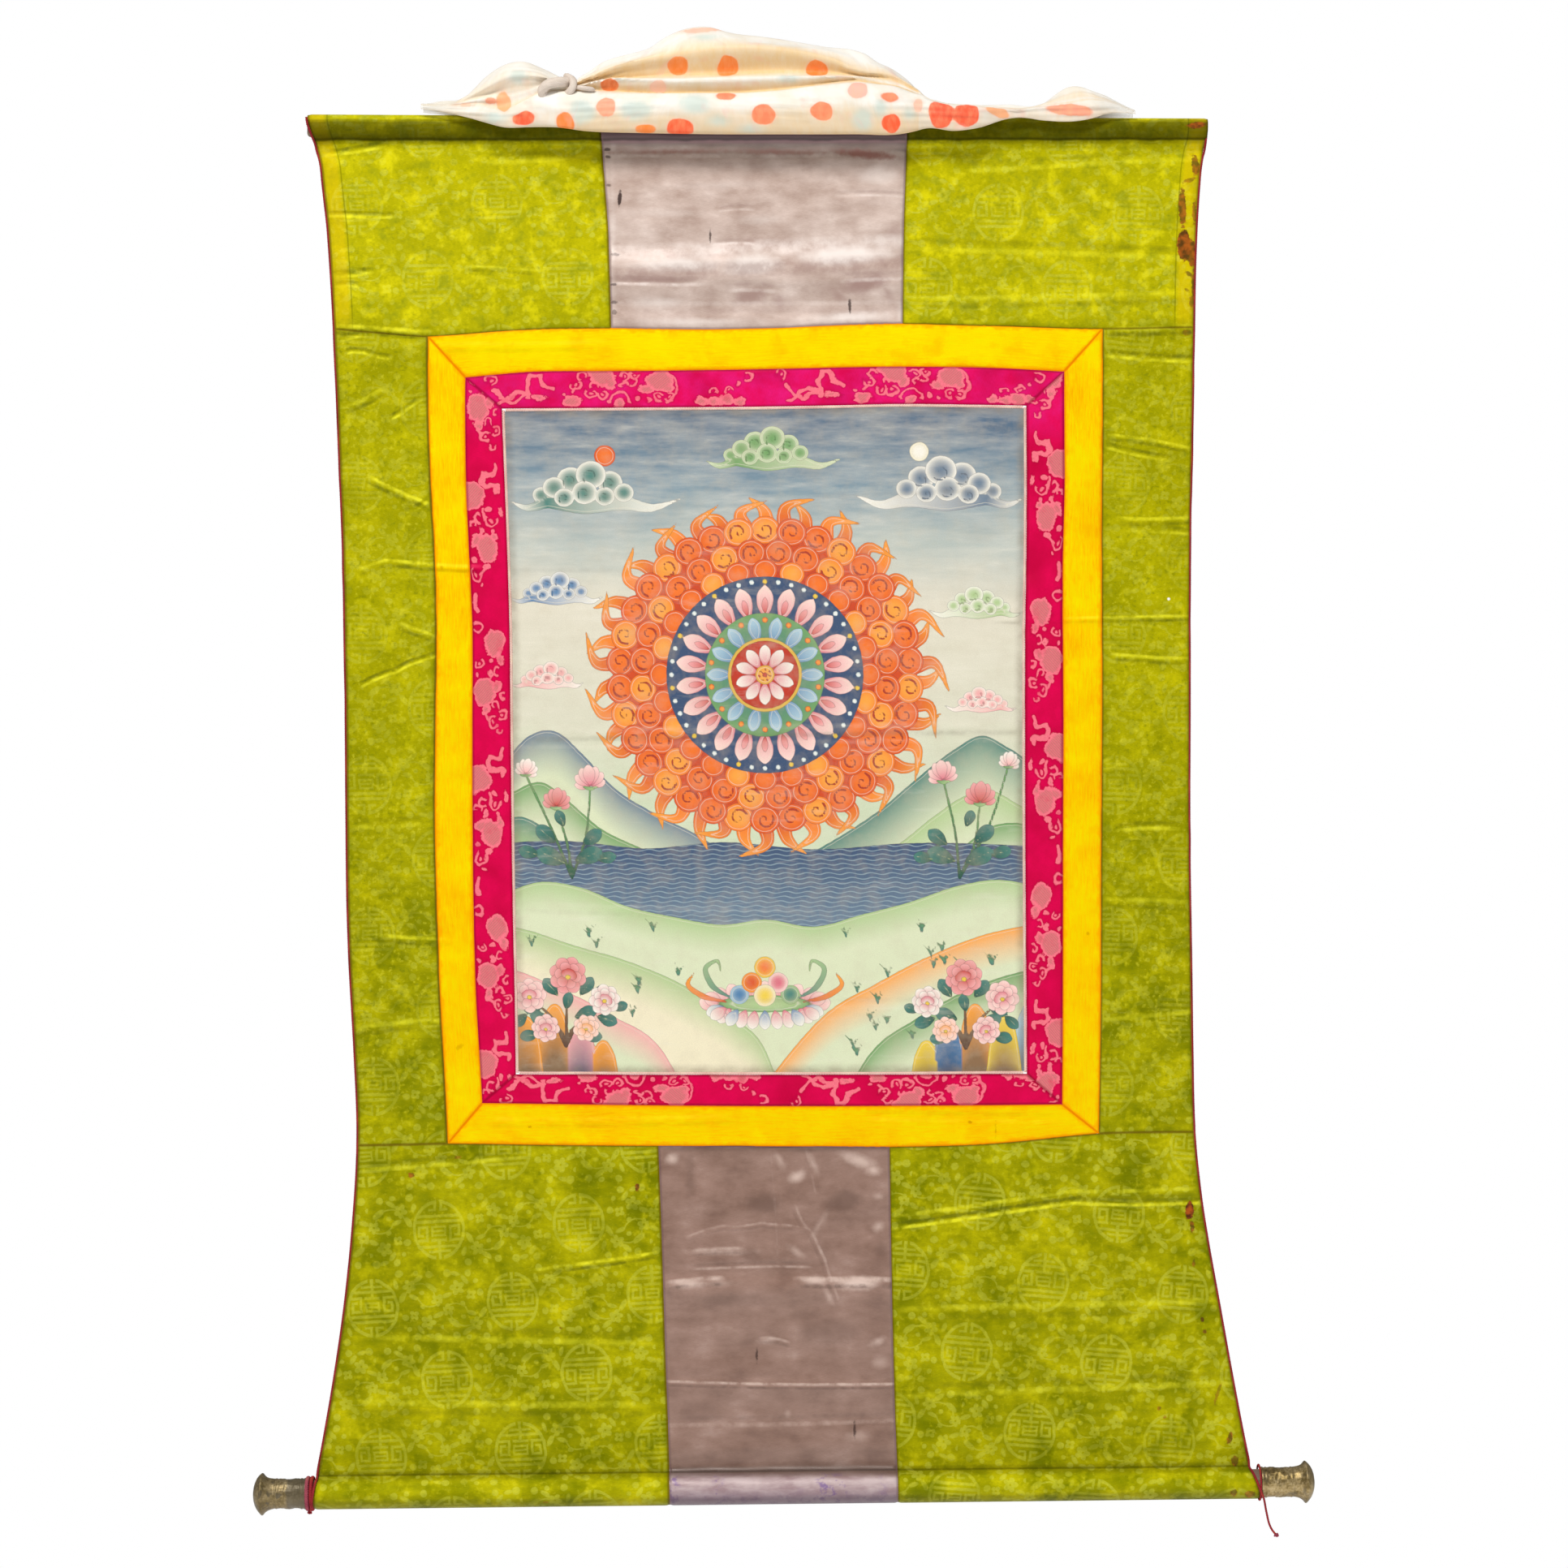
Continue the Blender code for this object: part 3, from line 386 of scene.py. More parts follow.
class Tone:
    # a number or colour socket that can be written in arithmetic
    def __init__(self, mat, socket):
        self.mat, self.socket = mat, socket

    def math(self, operation, *others, clamp=False):
        return self.mat.add("ShaderNodeMath", {"operation": operation, "use_clamp": clamp}, (self, *others))

    def __rsub__(self, other):
        return self.mat.add("ShaderNodeMath", {"operation": "SUBTRACT"}, (other, self))

    def __neg__(self):
        return self * -1

    def within(self, soft=0.6):
        # 1 where a signed distance is below 0, with a soft edge of this width
        return self.math("MULTIPLY_ADD", -1 / soft, 0.5, clamp=True)

    def rising(self, low, high, bottom=0, top=1, **how):
        return self.mat.add("ShaderNodeMapRange", {"clamp": True, **how}, (self, low, high, bottom, top))

    def gentle(self, low, high, bottom=0, top=1):
        return self.rising(low, high, bottom, top, interpolation_type="SMOOTHSTEP", clamp=False)


for method, operation in {"__add__": "ADD", "__radd__": "ADD", "__sub__": "SUBTRACT", "__mul__": "MULTIPLY",
        "__rmul__": "MULTIPLY", "__truediv__": "DIVIDE", "__abs__": "ABSOLUTE", "least": "MINIMUM",
        "most": "MAXIMUM", "sine": "SINE"}.items():
    setattr(Tone, method, lambda self, *others, operation=operation: self.math(operation, *others))


class Finish:
    # a material whose nodes are written as expressions
    def __init__(self, name):
        self.material = bpy.data.materials.new(name)
        self.material.use_nodes = True
        self.tree = self.material.node_tree
        self.shader = self.tree.nodes["Principled BSDF"]

    def add(self, kind, settings=None, sockets=(), out=0):
        node = self.tree.nodes.new(kind)
        for setting, value in (settings or {}).items():
            if setting == "stops":
                stops = node.color_ramp.elements
                while len(stops) < len(value):
                    stops.new(0.5)
                for stop, (place, colour) in zip(stops, value):
                    stop.position = place
                    stop.color = (*colour, 1) if isinstance(colour, tuple) else (colour, colour, colour, 1)
            else:
                setattr(node, setting, value)
        named = sockets.items() if isinstance(sockets, dict) else enumerate(sockets)
        for key, value in named:
            if isinstance(value, Tone):
                self.tree.links.new(value.socket, node.inputs[key])
            elif value is not None:
                node.inputs[key].default_value = value
        return Tone(self, node.outputs[out])

    def mixed(self, share, first, second, way="MIX"):
        first = (*first, 1) if isinstance(first, tuple) else first
        second = (*second, 1) if isinstance(second, tuple) else second
        return self.add("ShaderNodeMix", {"data_type": "RGBA", "blend_type": way},
            {0: share, 6: first, 7: second}, out=2)

    def ramp(self, value, *stops, smooth="LINEAR"):
        made = self.add("ShaderNodeValToRGB", {"stops": stops}, (value,))
        made.socket.node.color_ramp.interpolation = smooth
        return made

    def over(self, tone, *layers):
        # lays more colours over a tone, each by its share
        for share, colour in layers:
            tone = self.mixed(share, tone, colour)
        return tone

    def number(self, name, out=2):
        return self.add("ShaderNodeAttribute", {"attribute_name": name}, out=out)

    def weave(self, *scale):
        # the cloth's own coordinates
        return self.add("ShaderNodeMapping", {}, {0: self.add("ShaderNodeUVMap", {"uv_map": "cloth"}),
            3: scale or (1, 1, 1)})

    def inMm(self):
        return self.add("ShaderNodeMapping", {}, {0: self.add("ShaderNodeTexCoord", out=3),
            3: (1000, 1000, 1000)})

    def split(self, vector):
        node = self.add("ShaderNodeSeparateXYZ", {}, (vector,)).socket.node
        return Tone(self, node.outputs[0]), Tone(self, node.outputs[1]), Tone(self, node.outputs[2])

    def vector(self, operation, *vectors, scale=None):
        sockets = dict(enumerate(vectors))
        if scale is not None:
            sockets[3] = scale
        return self.add("ShaderNodeVectorMath", {"operation": operation}, sockets,
            out=int(operation in ("LENGTH", "DISTANCE", "DOT_PRODUCT")))

    def joined(self, x, y, z=0):
        return self.add("ShaderNodeCombineXYZ", {}, (x, y, z))

    def noise(self, where, scale, detail=2, rough=0.5, stretch=None, out=0):
        if stretch:
            where = self.vector("MULTIPLY", where, stretch)
        return self.add("ShaderNodeTexNoise", {}, {"Vector": where, "Scale": scale, "Detail": detail,
            "Roughness": rough}, out=out)

    def wave(self, where, way, scale, distortion, detail=2):
        return self.add("ShaderNodeTexWave", {"bands_direction": way},
            {"Vector": where, "Scale": scale, "Distortion": distortion, "Detail": detail})

    def set(self, **sockets):
        for name, value in sockets.items():
            socket = self.shader.inputs[name.replace("_", " ")]
            if isinstance(value, Tone):
                self.tree.links.new(value.socket, socket)
            else:
                socket.default_value = (*value, 1) if isinstance(value,
                    tuple) and len(value) == 3 else value

    def bump(self, height, strength, distance):
        self.set(Normal=self.add("ShaderNodeBump", {}, {"Strength": strength, "Distance": distance,
            "Height": height}))

    def woven(self, colour, rough, tint, specular=0.16):
        # the colour of a woven surface, and its soft shine in the thread's own colour
        self.set(Base_Color=colour, Roughness=rough, Specular_Tint=tint, Specular_IOR_Level=specular)
        return self.material


def banded(mat, height, low, high, most, stops, cloth):
    # makes a cloth lighter and darker by its height in mm; stops are heights and shares of full light
    places = sorted(((at - low) / (high - low), level / most) for at, level in stops)
    level = mat.ramp(height.rising(low, high), *places, smooth="EASE")
    level = mat.vector("SCALE", level, scale=most)
    return mat.mixed(1, cloth, level, way="MULTIPLY")


def hemsShaded(mat, x, z, cloth):
    # the top hem's bright crest and shaded face, and the light that falls across the roll
    cloth = banded(mat, z + (mat.noise(mat.joined(x, 0), 0.03, 2) - 0.5) * 3, -36, 4, 1.2,
        ((-36, 1), (-30, 0.96), (-27, 0.62), (-24.6, 0.09), (-22, 0.18), (-15, 0.23), (-9, 0.3),
        (-6.5, 0.55), (-4, 1.05), (4, 1.08)), cloth)
    over = z + 1336 - x * 0.0107
    return banded(mat, over, -34, 12, 1.3, ((12, 1), (5, 0.94), (1.6, 0.66), (0, 0.4), (-1.6, 0.86),
        (-6, 1.26), (-13, 1.2), (-20, 1), (-26, 0.66), (-34, 0.4)), cloth)


def stainsAndPaintedLight(mat, where, colour, marks, tone, ragged=2.2, soft=0):
    # used for stains and slits, and for painted shade and painted highlights, by the tone it is given
    # blots as listed: middle, half width and half height in pixels, tilt and how dark
    x, z = where
    blur = mat.noise(mat.joined(x, z), 0.32 / (1 + 1.2 * soft), 3, 0.6)
    wobble = (blur - 0.5) * ragged * 2
    total = []
    for px, py, wide, tall, tilt, dark in marks:
        cx, cz = (1000 * n for n in spot(px, py))
        dx, dz = x - cx, z - cz
        if tilt:
            along = dx * cos(tilt) + dz * sin(tilt)
            dx, dz = along, dz * cos(tilt) - dx * sin(tilt)
        far = mat.vector("LENGTH", mat.joined(dx / (wide * 0.8), dz / (tall * 0.8)))
        small = min(wide, tall) * 0.8
        total.append(((1 - far) * small + wobble).gentle(-0.3 - soft, 0.9 + soft * 2) * dark)
    return mat.mixed(reduce(Tone.most, total), colour, tone)


def creasesOn(kinds):
    # the creases that cross cloths whose node names start with one of these words
    boxes = [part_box(node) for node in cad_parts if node.startswith(kinds)]
    found = []
    for crease in creases:
        ends = spot(*crease[:2]), spot(*crease[2:4])
        points = [[ends[0][k] * (1 - share) + ends[1][k] * share for k in (0, 1)] for share in (0.1, 0.5,
            0.9)]
        if any(low[0] < x < high[0] and low[2] < z < high[2] for low, high in boxes for x, z in points):
            found.append(crease)
    return found


def paintedCreaseLight(mat, x, z, cloth, kinds, bright, dark, strong=0.62):
    # painted highlight on the upper side of each ridge, and painted shade on its lower side and in each
    # trough
    point = mat.joined(x, z, 1)
    light = 0
    for x0, y0, x1, y1, soft, high in creasesOn(kinds):
        (ax, az), (bx, bz) = ((1000 * n for n in spot(*end)) for end in ((x0, y0), (x1, y1)))
        long = hypot(bx - ax, bz - az)
        dx, dz = (bx - ax) / long, (bz - az) / long
        along = mat.vector("DOT_PRODUCT", point, (dx / long, dz / long, -(ax * dx + az * dz) / long))
        off = mat.vector("DOT_PRODUCT", point, (-dz, dx, ax * dz - az * dx))
        off = off - (along * creaseBow["turn"] + x0).sine() * creaseBow["wide"]
        reach = 2.3 * soft
        slope = (off.least(reach).most(-reach) * (pi / reach)).sine() * (high *
            (0.94 * dx + 0.35 * abs(dz)))
        light = slope * abs(along - 0.5).gentle(0.4, 0.62, 1, 0) + light
    light = light * mat.noise(point, 0.055, 4, 0.65).rising(0.36, 0.64, 0.2, 1.35)
    cloth = mat.mixed(light.rising(0.12, 1.7, 0, strong), cloth, bright)
    return mat.mixed((-light).rising(0.12, 1.7, 0, strong), cloth, dark)


# the damask's woven figure in mm: a fret roundel and sprays of blossom, each row set half a width over
damask = {
    "across": 138, "down": 74.5, "ring": (24.2, 27.6, 1.55, 25.6),
    "bars": ((0, 19.5, 1.5, 9.2), (5, 21.2, 5.6, 1.15), (11, 16.4, 11, 1.35), (3.8, 10.2, 3.9, 1.3),
        (17.2, 10.2, 7, 1.3), (11.5, 3.6, 1.3, 7.4), (15.4, -2.9, 5.1, 1.25), (19.3, 1.2, 1.25, 5.4),
        (17.6, 5.4, 2.8, 1.2), (3.4, 5.3, 3.8, 1.05), (3.4, 1.2, 3.8, 1), (3.4, -2.9, 3.8, 1.05),
        (6.3, 1.2, 1, 5.2), (12, -8.2, 12.4, 1.45), (11, -13.6, 11.2, 1.45), (2.8, -23.4, 1.3, 4.6),
        (5.6, -19.8, 3.6, 1.2)),
    "petals": ((15, 16.5, 5, 4.6, 3, 0.2), (32, -20, 5, 4.2, 2.8, 1.1), (5, -5, 5, 3.8, 2.6, 0.7),
        (28.5, 9, 4, 3, 2.2, 0.3)),
    "buds": ((37.5, 11, 3.4), (26.5, 30.5, 3.4), (6, 31.5, 3.9), (41.5, -33, 3.6), (19.5, 0.5, 2.6),
        (12, -31, 3.6), (20, -13, 2.3), (33.5, 22.5, 2.3), (0.5, 22, 2.3), (24.5, -33, 2.6)),
    "leaves": ((22.5, 24, 2.4, 5, 0.6), (39.5, -9, 2.6, 5.6, -0.5), (10.5, -18, 3, 6.6, 0.9),
        (23, -27, 2.5, 5.6, -0.9), (13.5, 30.5, 2.2, 4.4, 1.3), (45, -22.5, 2.2, 4.6, 0.3),
        (4.5, 9.5, 2.4, 5.2, -1.2), (28, -9, 2.2, 5, 1.2)),
    "stems": ((22, -7, 15, 0.75, 1), (12, -12, 13, 0.7, -1)),
}


def boxIn(mat, spotted, middle, half):
    away = mat.vector("ABSOLUTE", mat.vector("SUBTRACT", spotted, (*middle, 0)))
    x, y, _ = mat.split(mat.vector("SUBTRACT", away, (*half, 0)))
    return x.most(y)


def roundIn(mat, spotted, middle, radius):
    return mat.vector("DISTANCE", spotted, (*middle, 0)) - radius


def leafIn(mat, spotted, middle, half, turn):
    turned = mat.add("ShaderNodeMapping", {"vector_type": "TEXTURE"},
        {0: spotted, 1: (*middle, 0), 2: (0, 0, turn), 3: (half[0], half[1], 1)})
    return (mat.vector("LENGTH", turned) - 1) * min(half)


def petalsIn(mat, spotted, middle, count, radius, deep, turn):
    away = mat.vector("SUBTRACT", spotted, (*middle, 0))
    x, y, _ = mat.split(away)
    far = mat.vector("LENGTH", away)
    lobes = abs((y.math("ARCTAN2", x) * (count / 2) + turn).sine()) * deep
    return (far - radius - lobes).most(1.1 - far)


def damaskFigure(mat, u, v):
    # u, v in mm on the weave: 1 on the figure
    half = damask["across"] / 2
    row = (v / damask["down"] + 0.5).math("FLOOR")
    odd = row.math("FLOORED_MODULO", 2)
    flip = 1 - odd * 2
    across = (u + odd * half + half).math("FLOORED_MODULO", damask["across"]) - half
    down = v - row * damask["down"]
    p, q = across * flip, down * flip
    ax = abs(p)
    wide, tall, stroke, radius = damask["ring"]
    far = mat.vector("LENGTH", mat.joined(p / wide, q / tall))
    slit = (abs(ax - 2.7) - 1.1).most(20 - q)  # the ring is open above and below
    slit = slit.least(ax.most(q + 14) - 1.4)
    total = (abs((far - 1) * radius) - stroke).most(-slit)
    folded = mat.joined(ax, q)
    for cx, cy, hx, hy in damask["bars"]:
        total = total.least(boxIn(mat, folded, (cx, cy), (hx, hy)))
    total = total.most(far * radius - (radius + 1.7))
    between = mat.joined(half - ax, down * across.math("SIGN") * -1 * flip)
    for x, y, bow, thick, way in damask["stems"]:
        _, gy, _ = mat.split(between)
        arc = abs(roundIn(mat, between, (x, y), bow)) - thick
        total = total.least(arc.most((gy - y) * way + 3).most(far * -radius + (radius + 3.9)))
    for x, y, *petals in damask["petals"]:
        total = total.least(petalsIn(mat, between, (x, y), *petals))
    for x, y, bud in damask["buds"]:
        total = total.least(roundIn(mat, between, (x, y), bud))
    for x, y, hx, hy, turn in damask["leaves"]:
        total = total.least(leafIn(mat, between, (x, y), (hx, hy), turn))
    return total


greenStains = ((507, 1448, 5, 3.4, 0, 0.8), (785, 1463, 3, 5.5, 0, 0.9), (563, 1426, 5, 2.4, 0, 0.5),
    (1466, 1492, 5.5, 12, -0.1, 1), (1469, 1512, 3, 9, 0.1, 0.8), (1481, 1625, 3, 3, 0, 0.8),
    (1484, 1640, 2.6, 3, 0, 0.7), (1471, 1556, 2.4, 5, 0, 0.6), (1428, 1735, 2.6, 3, 0, 0.6),
    (1435, 1746, 2.4, 2.6, 0, 0.6), (1515, 1772, 3.4, 9, -0.25, 0.8), (1522, 1800, 5, 6, 0, 0.7),
    (1457, 256, 5, 26, 0.03, 0.85), (1459, 302, 9, 20, 0.05, 0.95), (1469, 312, 7, 18, 0.1, 0.9),
    (1473, 204, 5, 14, 0.1, 0.8), (1472, 262, 3, 16, 0, 0.7), (1466, 222, 9, 3, 0.3, 0.6),
    (1474, 156, 13, 4, 0.1, 0.9), (1471, 352, 3, 22, 0.02, 0.75), (1466, 338, 7, 3, -0.6, 0.7),
    (1469, 372, 4, 9, 0, 0.6), (1462, 357, 5, 2, -0.6, 0.5), (1476, 800, 3.2, 62, 0, 0.6),
    (1478, 900, 2.6, 34, 0, 0.5), (1475, 1340, 2.8, 46, 0, 0.55), (1518, 1836, 4, 6, 0, 0.7),
    (1538, 1838, 7, 5, 0, 0.6), (673, 1848, 3, 1.6, 0, 0.6), (691, 1636, 1.8, 1.5, 0, 0.8),
    (1462, 410, 6, 4, 0, 0.5), (1500, 1716, 2.5, 14, -0.3, 0.5))


def damaskGreen():
    mat = Finish("green damask")
    weave = mat.weave()
    u, v, _ = mat.split(weave)
    slow = mat.noise(weave, 0.03, 2, 0.55)
    nudge = (mat.noise(weave, 0.11, 1) - 0.5) * 2.6
    figure = damaskFigure(mat, u + nudge, v + nudge * 0.6)
    edge = (mat.noise(weave, 1.3, 2) - 0.5) * 0.9
    shown = (figure + edge).within(0.9)
    inMm = mat.inMm()
    x, _, z = mat.split(inMm)
    worn = mat.noise(inMm, 0.012, 3, 0.55)
    upper = z.gentle(-222, -190)
    streak = mat.noise(inMm, 0.05, 3, 0.6, stretch=(1, 1, 3))
    plain = mat.ramp(slow * 0.45 + worn * 0.35 + streak * 0.2, (0.32, (0.1, 0.122, 0)),
        (0.42, (0.19, 0.2, 0)), (0.51, (0.315, 0.3, 0.001)), (0.6, (0.47, 0.43, 0.002)),
        (0.7, (0.68, 0.59, 0.003)))
    lit = mat.mixed(upper * 0.5, plain, (0.66, 0.59, 0.002))
    sides = (abs(x - 2)).gentle(300, 345) * (1 - upper) * z.gentle(-1060, -880)
    lit = mat.over(lit,
        (sides * z.gentle(-1000, -350) * 0.45, (0.56, 0.5, 0.001)),
        (sides * 0.06, (0.15, 0.17, 0)))
    pale = mat.mixed(upper * 0.14 + 0.46, lit, (0.6, 0.61, 0.06))
    shown = shown * (1 - sides * 0.35) * slow.rising(0.34, 0.6, 0.35, 1)
    shown = shown * (1 - streak.rising(0.46, 0.6, 0, 0.75) * upper)
    cloth = mat.mixed(shown, lit, pale)
    thread = mat.noise(weave, 0.9, 2, 0.6, stretch=(0.35, 3.2, 1))
    cloth = mat.mixed(thread.rising(0.35, 0.65) * 0.3, cloth, (0.1, 0.13, 0))
    blots = mat.noise(inMm, 0.055, 3, 0.58)
    cloth = mat.over(cloth,
        (blots.rising(0.53, 0.68) * (upper * 0.3 + 0.22), (0.8, 0.72, 0.006)),
        (blots.rising(0.47, 0.33) * (upper * 0.5 + 0.2), (0.27, 0.29, 0.006)))
    fleck = mat.noise(inMm, 0.22, 3, 0.65)
    cloth = mat.over(cloth,
        (fleck.rising(0.56, 0.7) * (0.2 + sides * 0.2), (0.62, 0.58, 0.03)),
        (fleck.rising(0.44, 0.3) * (0.24 + sides * 0.2), (0.12, 0.15, 0.003)))
    # painted highlight and painted shade along each crease
    cloth = paintedCreaseLight(mat, x, z, cloth, "damask", (0.92, 0.88, 0.03), (0.075, 0.09, 0.004))
    fold = mat.number("selvedge")
    cloth = mat.over(cloth,
        (fold.gentle(14, 20, 0.42, 0) * upper, (0.76, 0.52, 0.002)),
        ((abs(fold - 19)).gentle(0.3, 1.1, 0.5, 0) * upper, (0.15, 0.14, 0)))
    seam = mat.number("seam")
    cloth = mat.over(cloth,
        (seam.rising(1.4, 5, 0.22, 0), (0.1, 0.14, 0)),
        (seam.rising(0.2, 1.7, 0.8, 0), (0.12, 0.07, 0.004)))
    cloth = hemsShaded(mat, x, z, cloth)
    rust = mat.noise(inMm, 0.16, 2).rising(0.4, 0.65)
    rust = mat.mixed(rust, (0.075, 0.014, 0.008), (0.36, 0.07, 0.012))
    cloth = stainsAndPaintedLight(mat, (x, z), cloth, greenStains, rust)
    cloth = stainsAndPaintedLight(mat, (x, z), cloth, ((1440, 738, 2.2, 2, 0, 0.95),), (0.9, 0.88, 0.8), 0.6)
    mat.bump(thread * 0.6 + mat.wave(weave, "Y", 0.55, 1.2) * 0.4, 0.55, 0.00035)
    return mat.woven(cloth, shown * -0.1 + 0.52, (1, 0.95, 0.06))


# where the roundels fall on each green panel: one roundel's middle in photograph pixels, and the weave's lean
damaskFall = {
    "damask_foot_left": ((632, 1603), -3), "damask_foot_right": ((1285, 1580), 5),
    "damask_left": ((451, 967), -1.5), "damask_right": ((1375, 967), 1.5),
    "damask_top_left": ((612, 250), -1), "damask_top_right": ((1230, 262), 1),
}


def damaskUv(node, u, v):
    (px, py), lean = damaskFall[node]
    cx, cz = spot(px, py)
    lean = radians(lean)
    a, b = (u - cx) * 1000, (v - cz) * 1000
    return a * cos(lean) - b * sin(lean), a * sin(lean) + b * cos(lean)


# the brocade's figure in mm along a strip and in from its outer seam, for side strips and for end strips:
# lobed leaves, curls as broken rings (with the way and half width in degrees of each gap), dots and ribbons
brocade = {
    "side": {
        "repeat": 280,
        "leaves": ((24.5, 4, 14.5, 15.5, 0), (41, 35, 5, 2.6, 0.2), (59, 14, 4.5, 2.8, 0),
            (77, 20, 14, 11.5, 0.2), (69, 8.5, 5.5, 7.5, 0.5), (66, 28, 4.5, 4, 0), (95, 17, 3, 4, 0),
            (170, 24, 13.5, 11.5, 0), (185, 31, 7, 4, 0.3), (218, 13, 14, 12, 0.1), (213, 26, 5, 5.5, 0),
            (236, 14, 6, 4.6, 0), (201, 19, 3.4, 3, 0)),
        "curls": ((49, 25, 5.2, 180, 50), (47, 11, 4.5, 90, 50), (53, 5, 3.4, 0, 60),
            (103, 7, 5.4, 150, 50), (154, 5, 4.8, 270, 40), (190, 8, 4.2, 200, 50), (198, 27, 4, 90, 60),
            (232, 25, 3.6, 0, 60), (240.5, 33, 4.6, 270, 50), (247, 22.5, 5, 100, 40),
            (256, 30, 3.2, 180, 60), (222, 33, 3, 90, 60)),
        "dots": ((49, 25, 1.7), (38, 23, 2.9), (60, 27, 2.3), (88, 5, 2.9), (103, 7, 1.7), (187, 19, 2.5),
            (202, 5, 2.1), (247, 22.5, 1.7), (190, 8, 1.4), (240, 33, 1.5), (113, 12, 1.8)),
        "ribbons": ((-5, 32, 3, 29, 2.2), (3, 29, 4, 18.5, 2.4), (4, 18.5, 11, 16, 2.5),
            (11, 16, 15, 20, 2.5), (15, 20, 15, 33, 2.3), (15, 33, 21, 32, 2.2), (275, 32, 283, 29, 2.2),
            (38, 18, 49, 18.5, 1.3), (95, 17, 102, 12, 1.5), (122, 5, 130, 3, 2.1), (130, 3, 139, 5.5, 2.1),
            (239, 13, 246, 18, 1.3)),
    },
    "end": {
        "repeat": 287,
        "leaves": ((72, 29.5, 8, 3.3, 0.1), (103, 34, 9, 6, 0), (135, 7, 13, 10, 0.1), (125, 3, 8, 5, 0.3),
            (143, 15, 6, 6, 0), (151, 37, 5.5, 5.5, 0), (190, 11, 14, 11, 0.1), (177, 20, 7, 5.5, 0.4),
            (199, 19, 6, 5, 0), (231, 35, 6.5, 5, 0), (243, 36, 6, 4.5, 0), (256, 34, 8, 7, 0),
            (269, 35, 7, 5, 0)),
        "curls": ((24, 6, 5.4, 130, 50), (109, 16, 5, 240, 50), (113, 6, 4.2, 60, 50),
            (122, 25, 5, 270, 45), (133, 26, 5, 250, 45), (127, 16, 3.2, 90, 60), (151, 34, 10, 90, 75),
            (155, 6, 4.3, 150, 45), (165, 5, 4, 300, 50), (156, 15, 3.1, 60, 60), (164, 13, 3.5, 200, 60),
            (189, 19, 19, 180, 112), (189, 30, 5, 20, 45), (200, 30, 4.6, 200, 50), (243, 25, 3.8, 90, 60),
            (258, 22, 4.2, 60, 55), (277, 8, 4.4, 180, 55)),
        "dots": ((24, 6, 1.7), (109, 16, 1.6), (122, 25, 1.7), (133, 26, 1.7), (155, 6, 1.4), (165, 5, 1.3),
            (170, 31, 2.6), (179, 34, 2), (189, 30, 1.7), (200, 30, 1.5), (258, 22, 1.5), (96, 26, 2.2),
            (268, 16, 2.1), (140, 34, 2)),
        "ribbons": ((28, 18, 34, 27, 2), (34, 27, 44, 34, 2), (31, 35, 42, 27, 2), (42, 27, 50, 22, 2),
            (50, 22, 62, 25, 2), (46, 34, 58, 25, 2), (61, 29, 60, 14, 2.3), (60, 14, 63, 4, 2.4),
            (63, 4, 71, 4, 2.4), (71, 4, 75, 14, 2.3), (75, 14, 84, 19, 2.1), (104, 24, 108, 20, 1.4)),
    },
}


def curlIn(mat, spotted, cx, cy, radius, way, gap):
    # a thick ring left open on one side
    away = mat.vector("SUBTRACT", spotted, (cx, cy, 0))
    far = mat.vector("LENGTH", away)
    towards = mat.vector("DOT_PRODUCT", away, (cos(radians(way)), sin(radians(way)), 0))
    return (abs(far - radius) - 1.15).most(towards - far * cos(radians(gap)))


def runIn(mat, spotted, ax, ay, bx, by, thick):
    # a rounded stroke between two points
    long = (bx - ax) ** 2 + (by - ay) ** 2
    away = mat.vector("SUBTRACT", spotted, (ax, ay, 0))
    share = mat.vector("DOT_PRODUCT", away, ((bx - ax) / long, (by - ay) / long, 0)).least(1).most(0)
    return mat.vector("DISTANCE", away, mat.vector("SCALE", (bx - ax, by - ay, 0), scale=share)) - thick


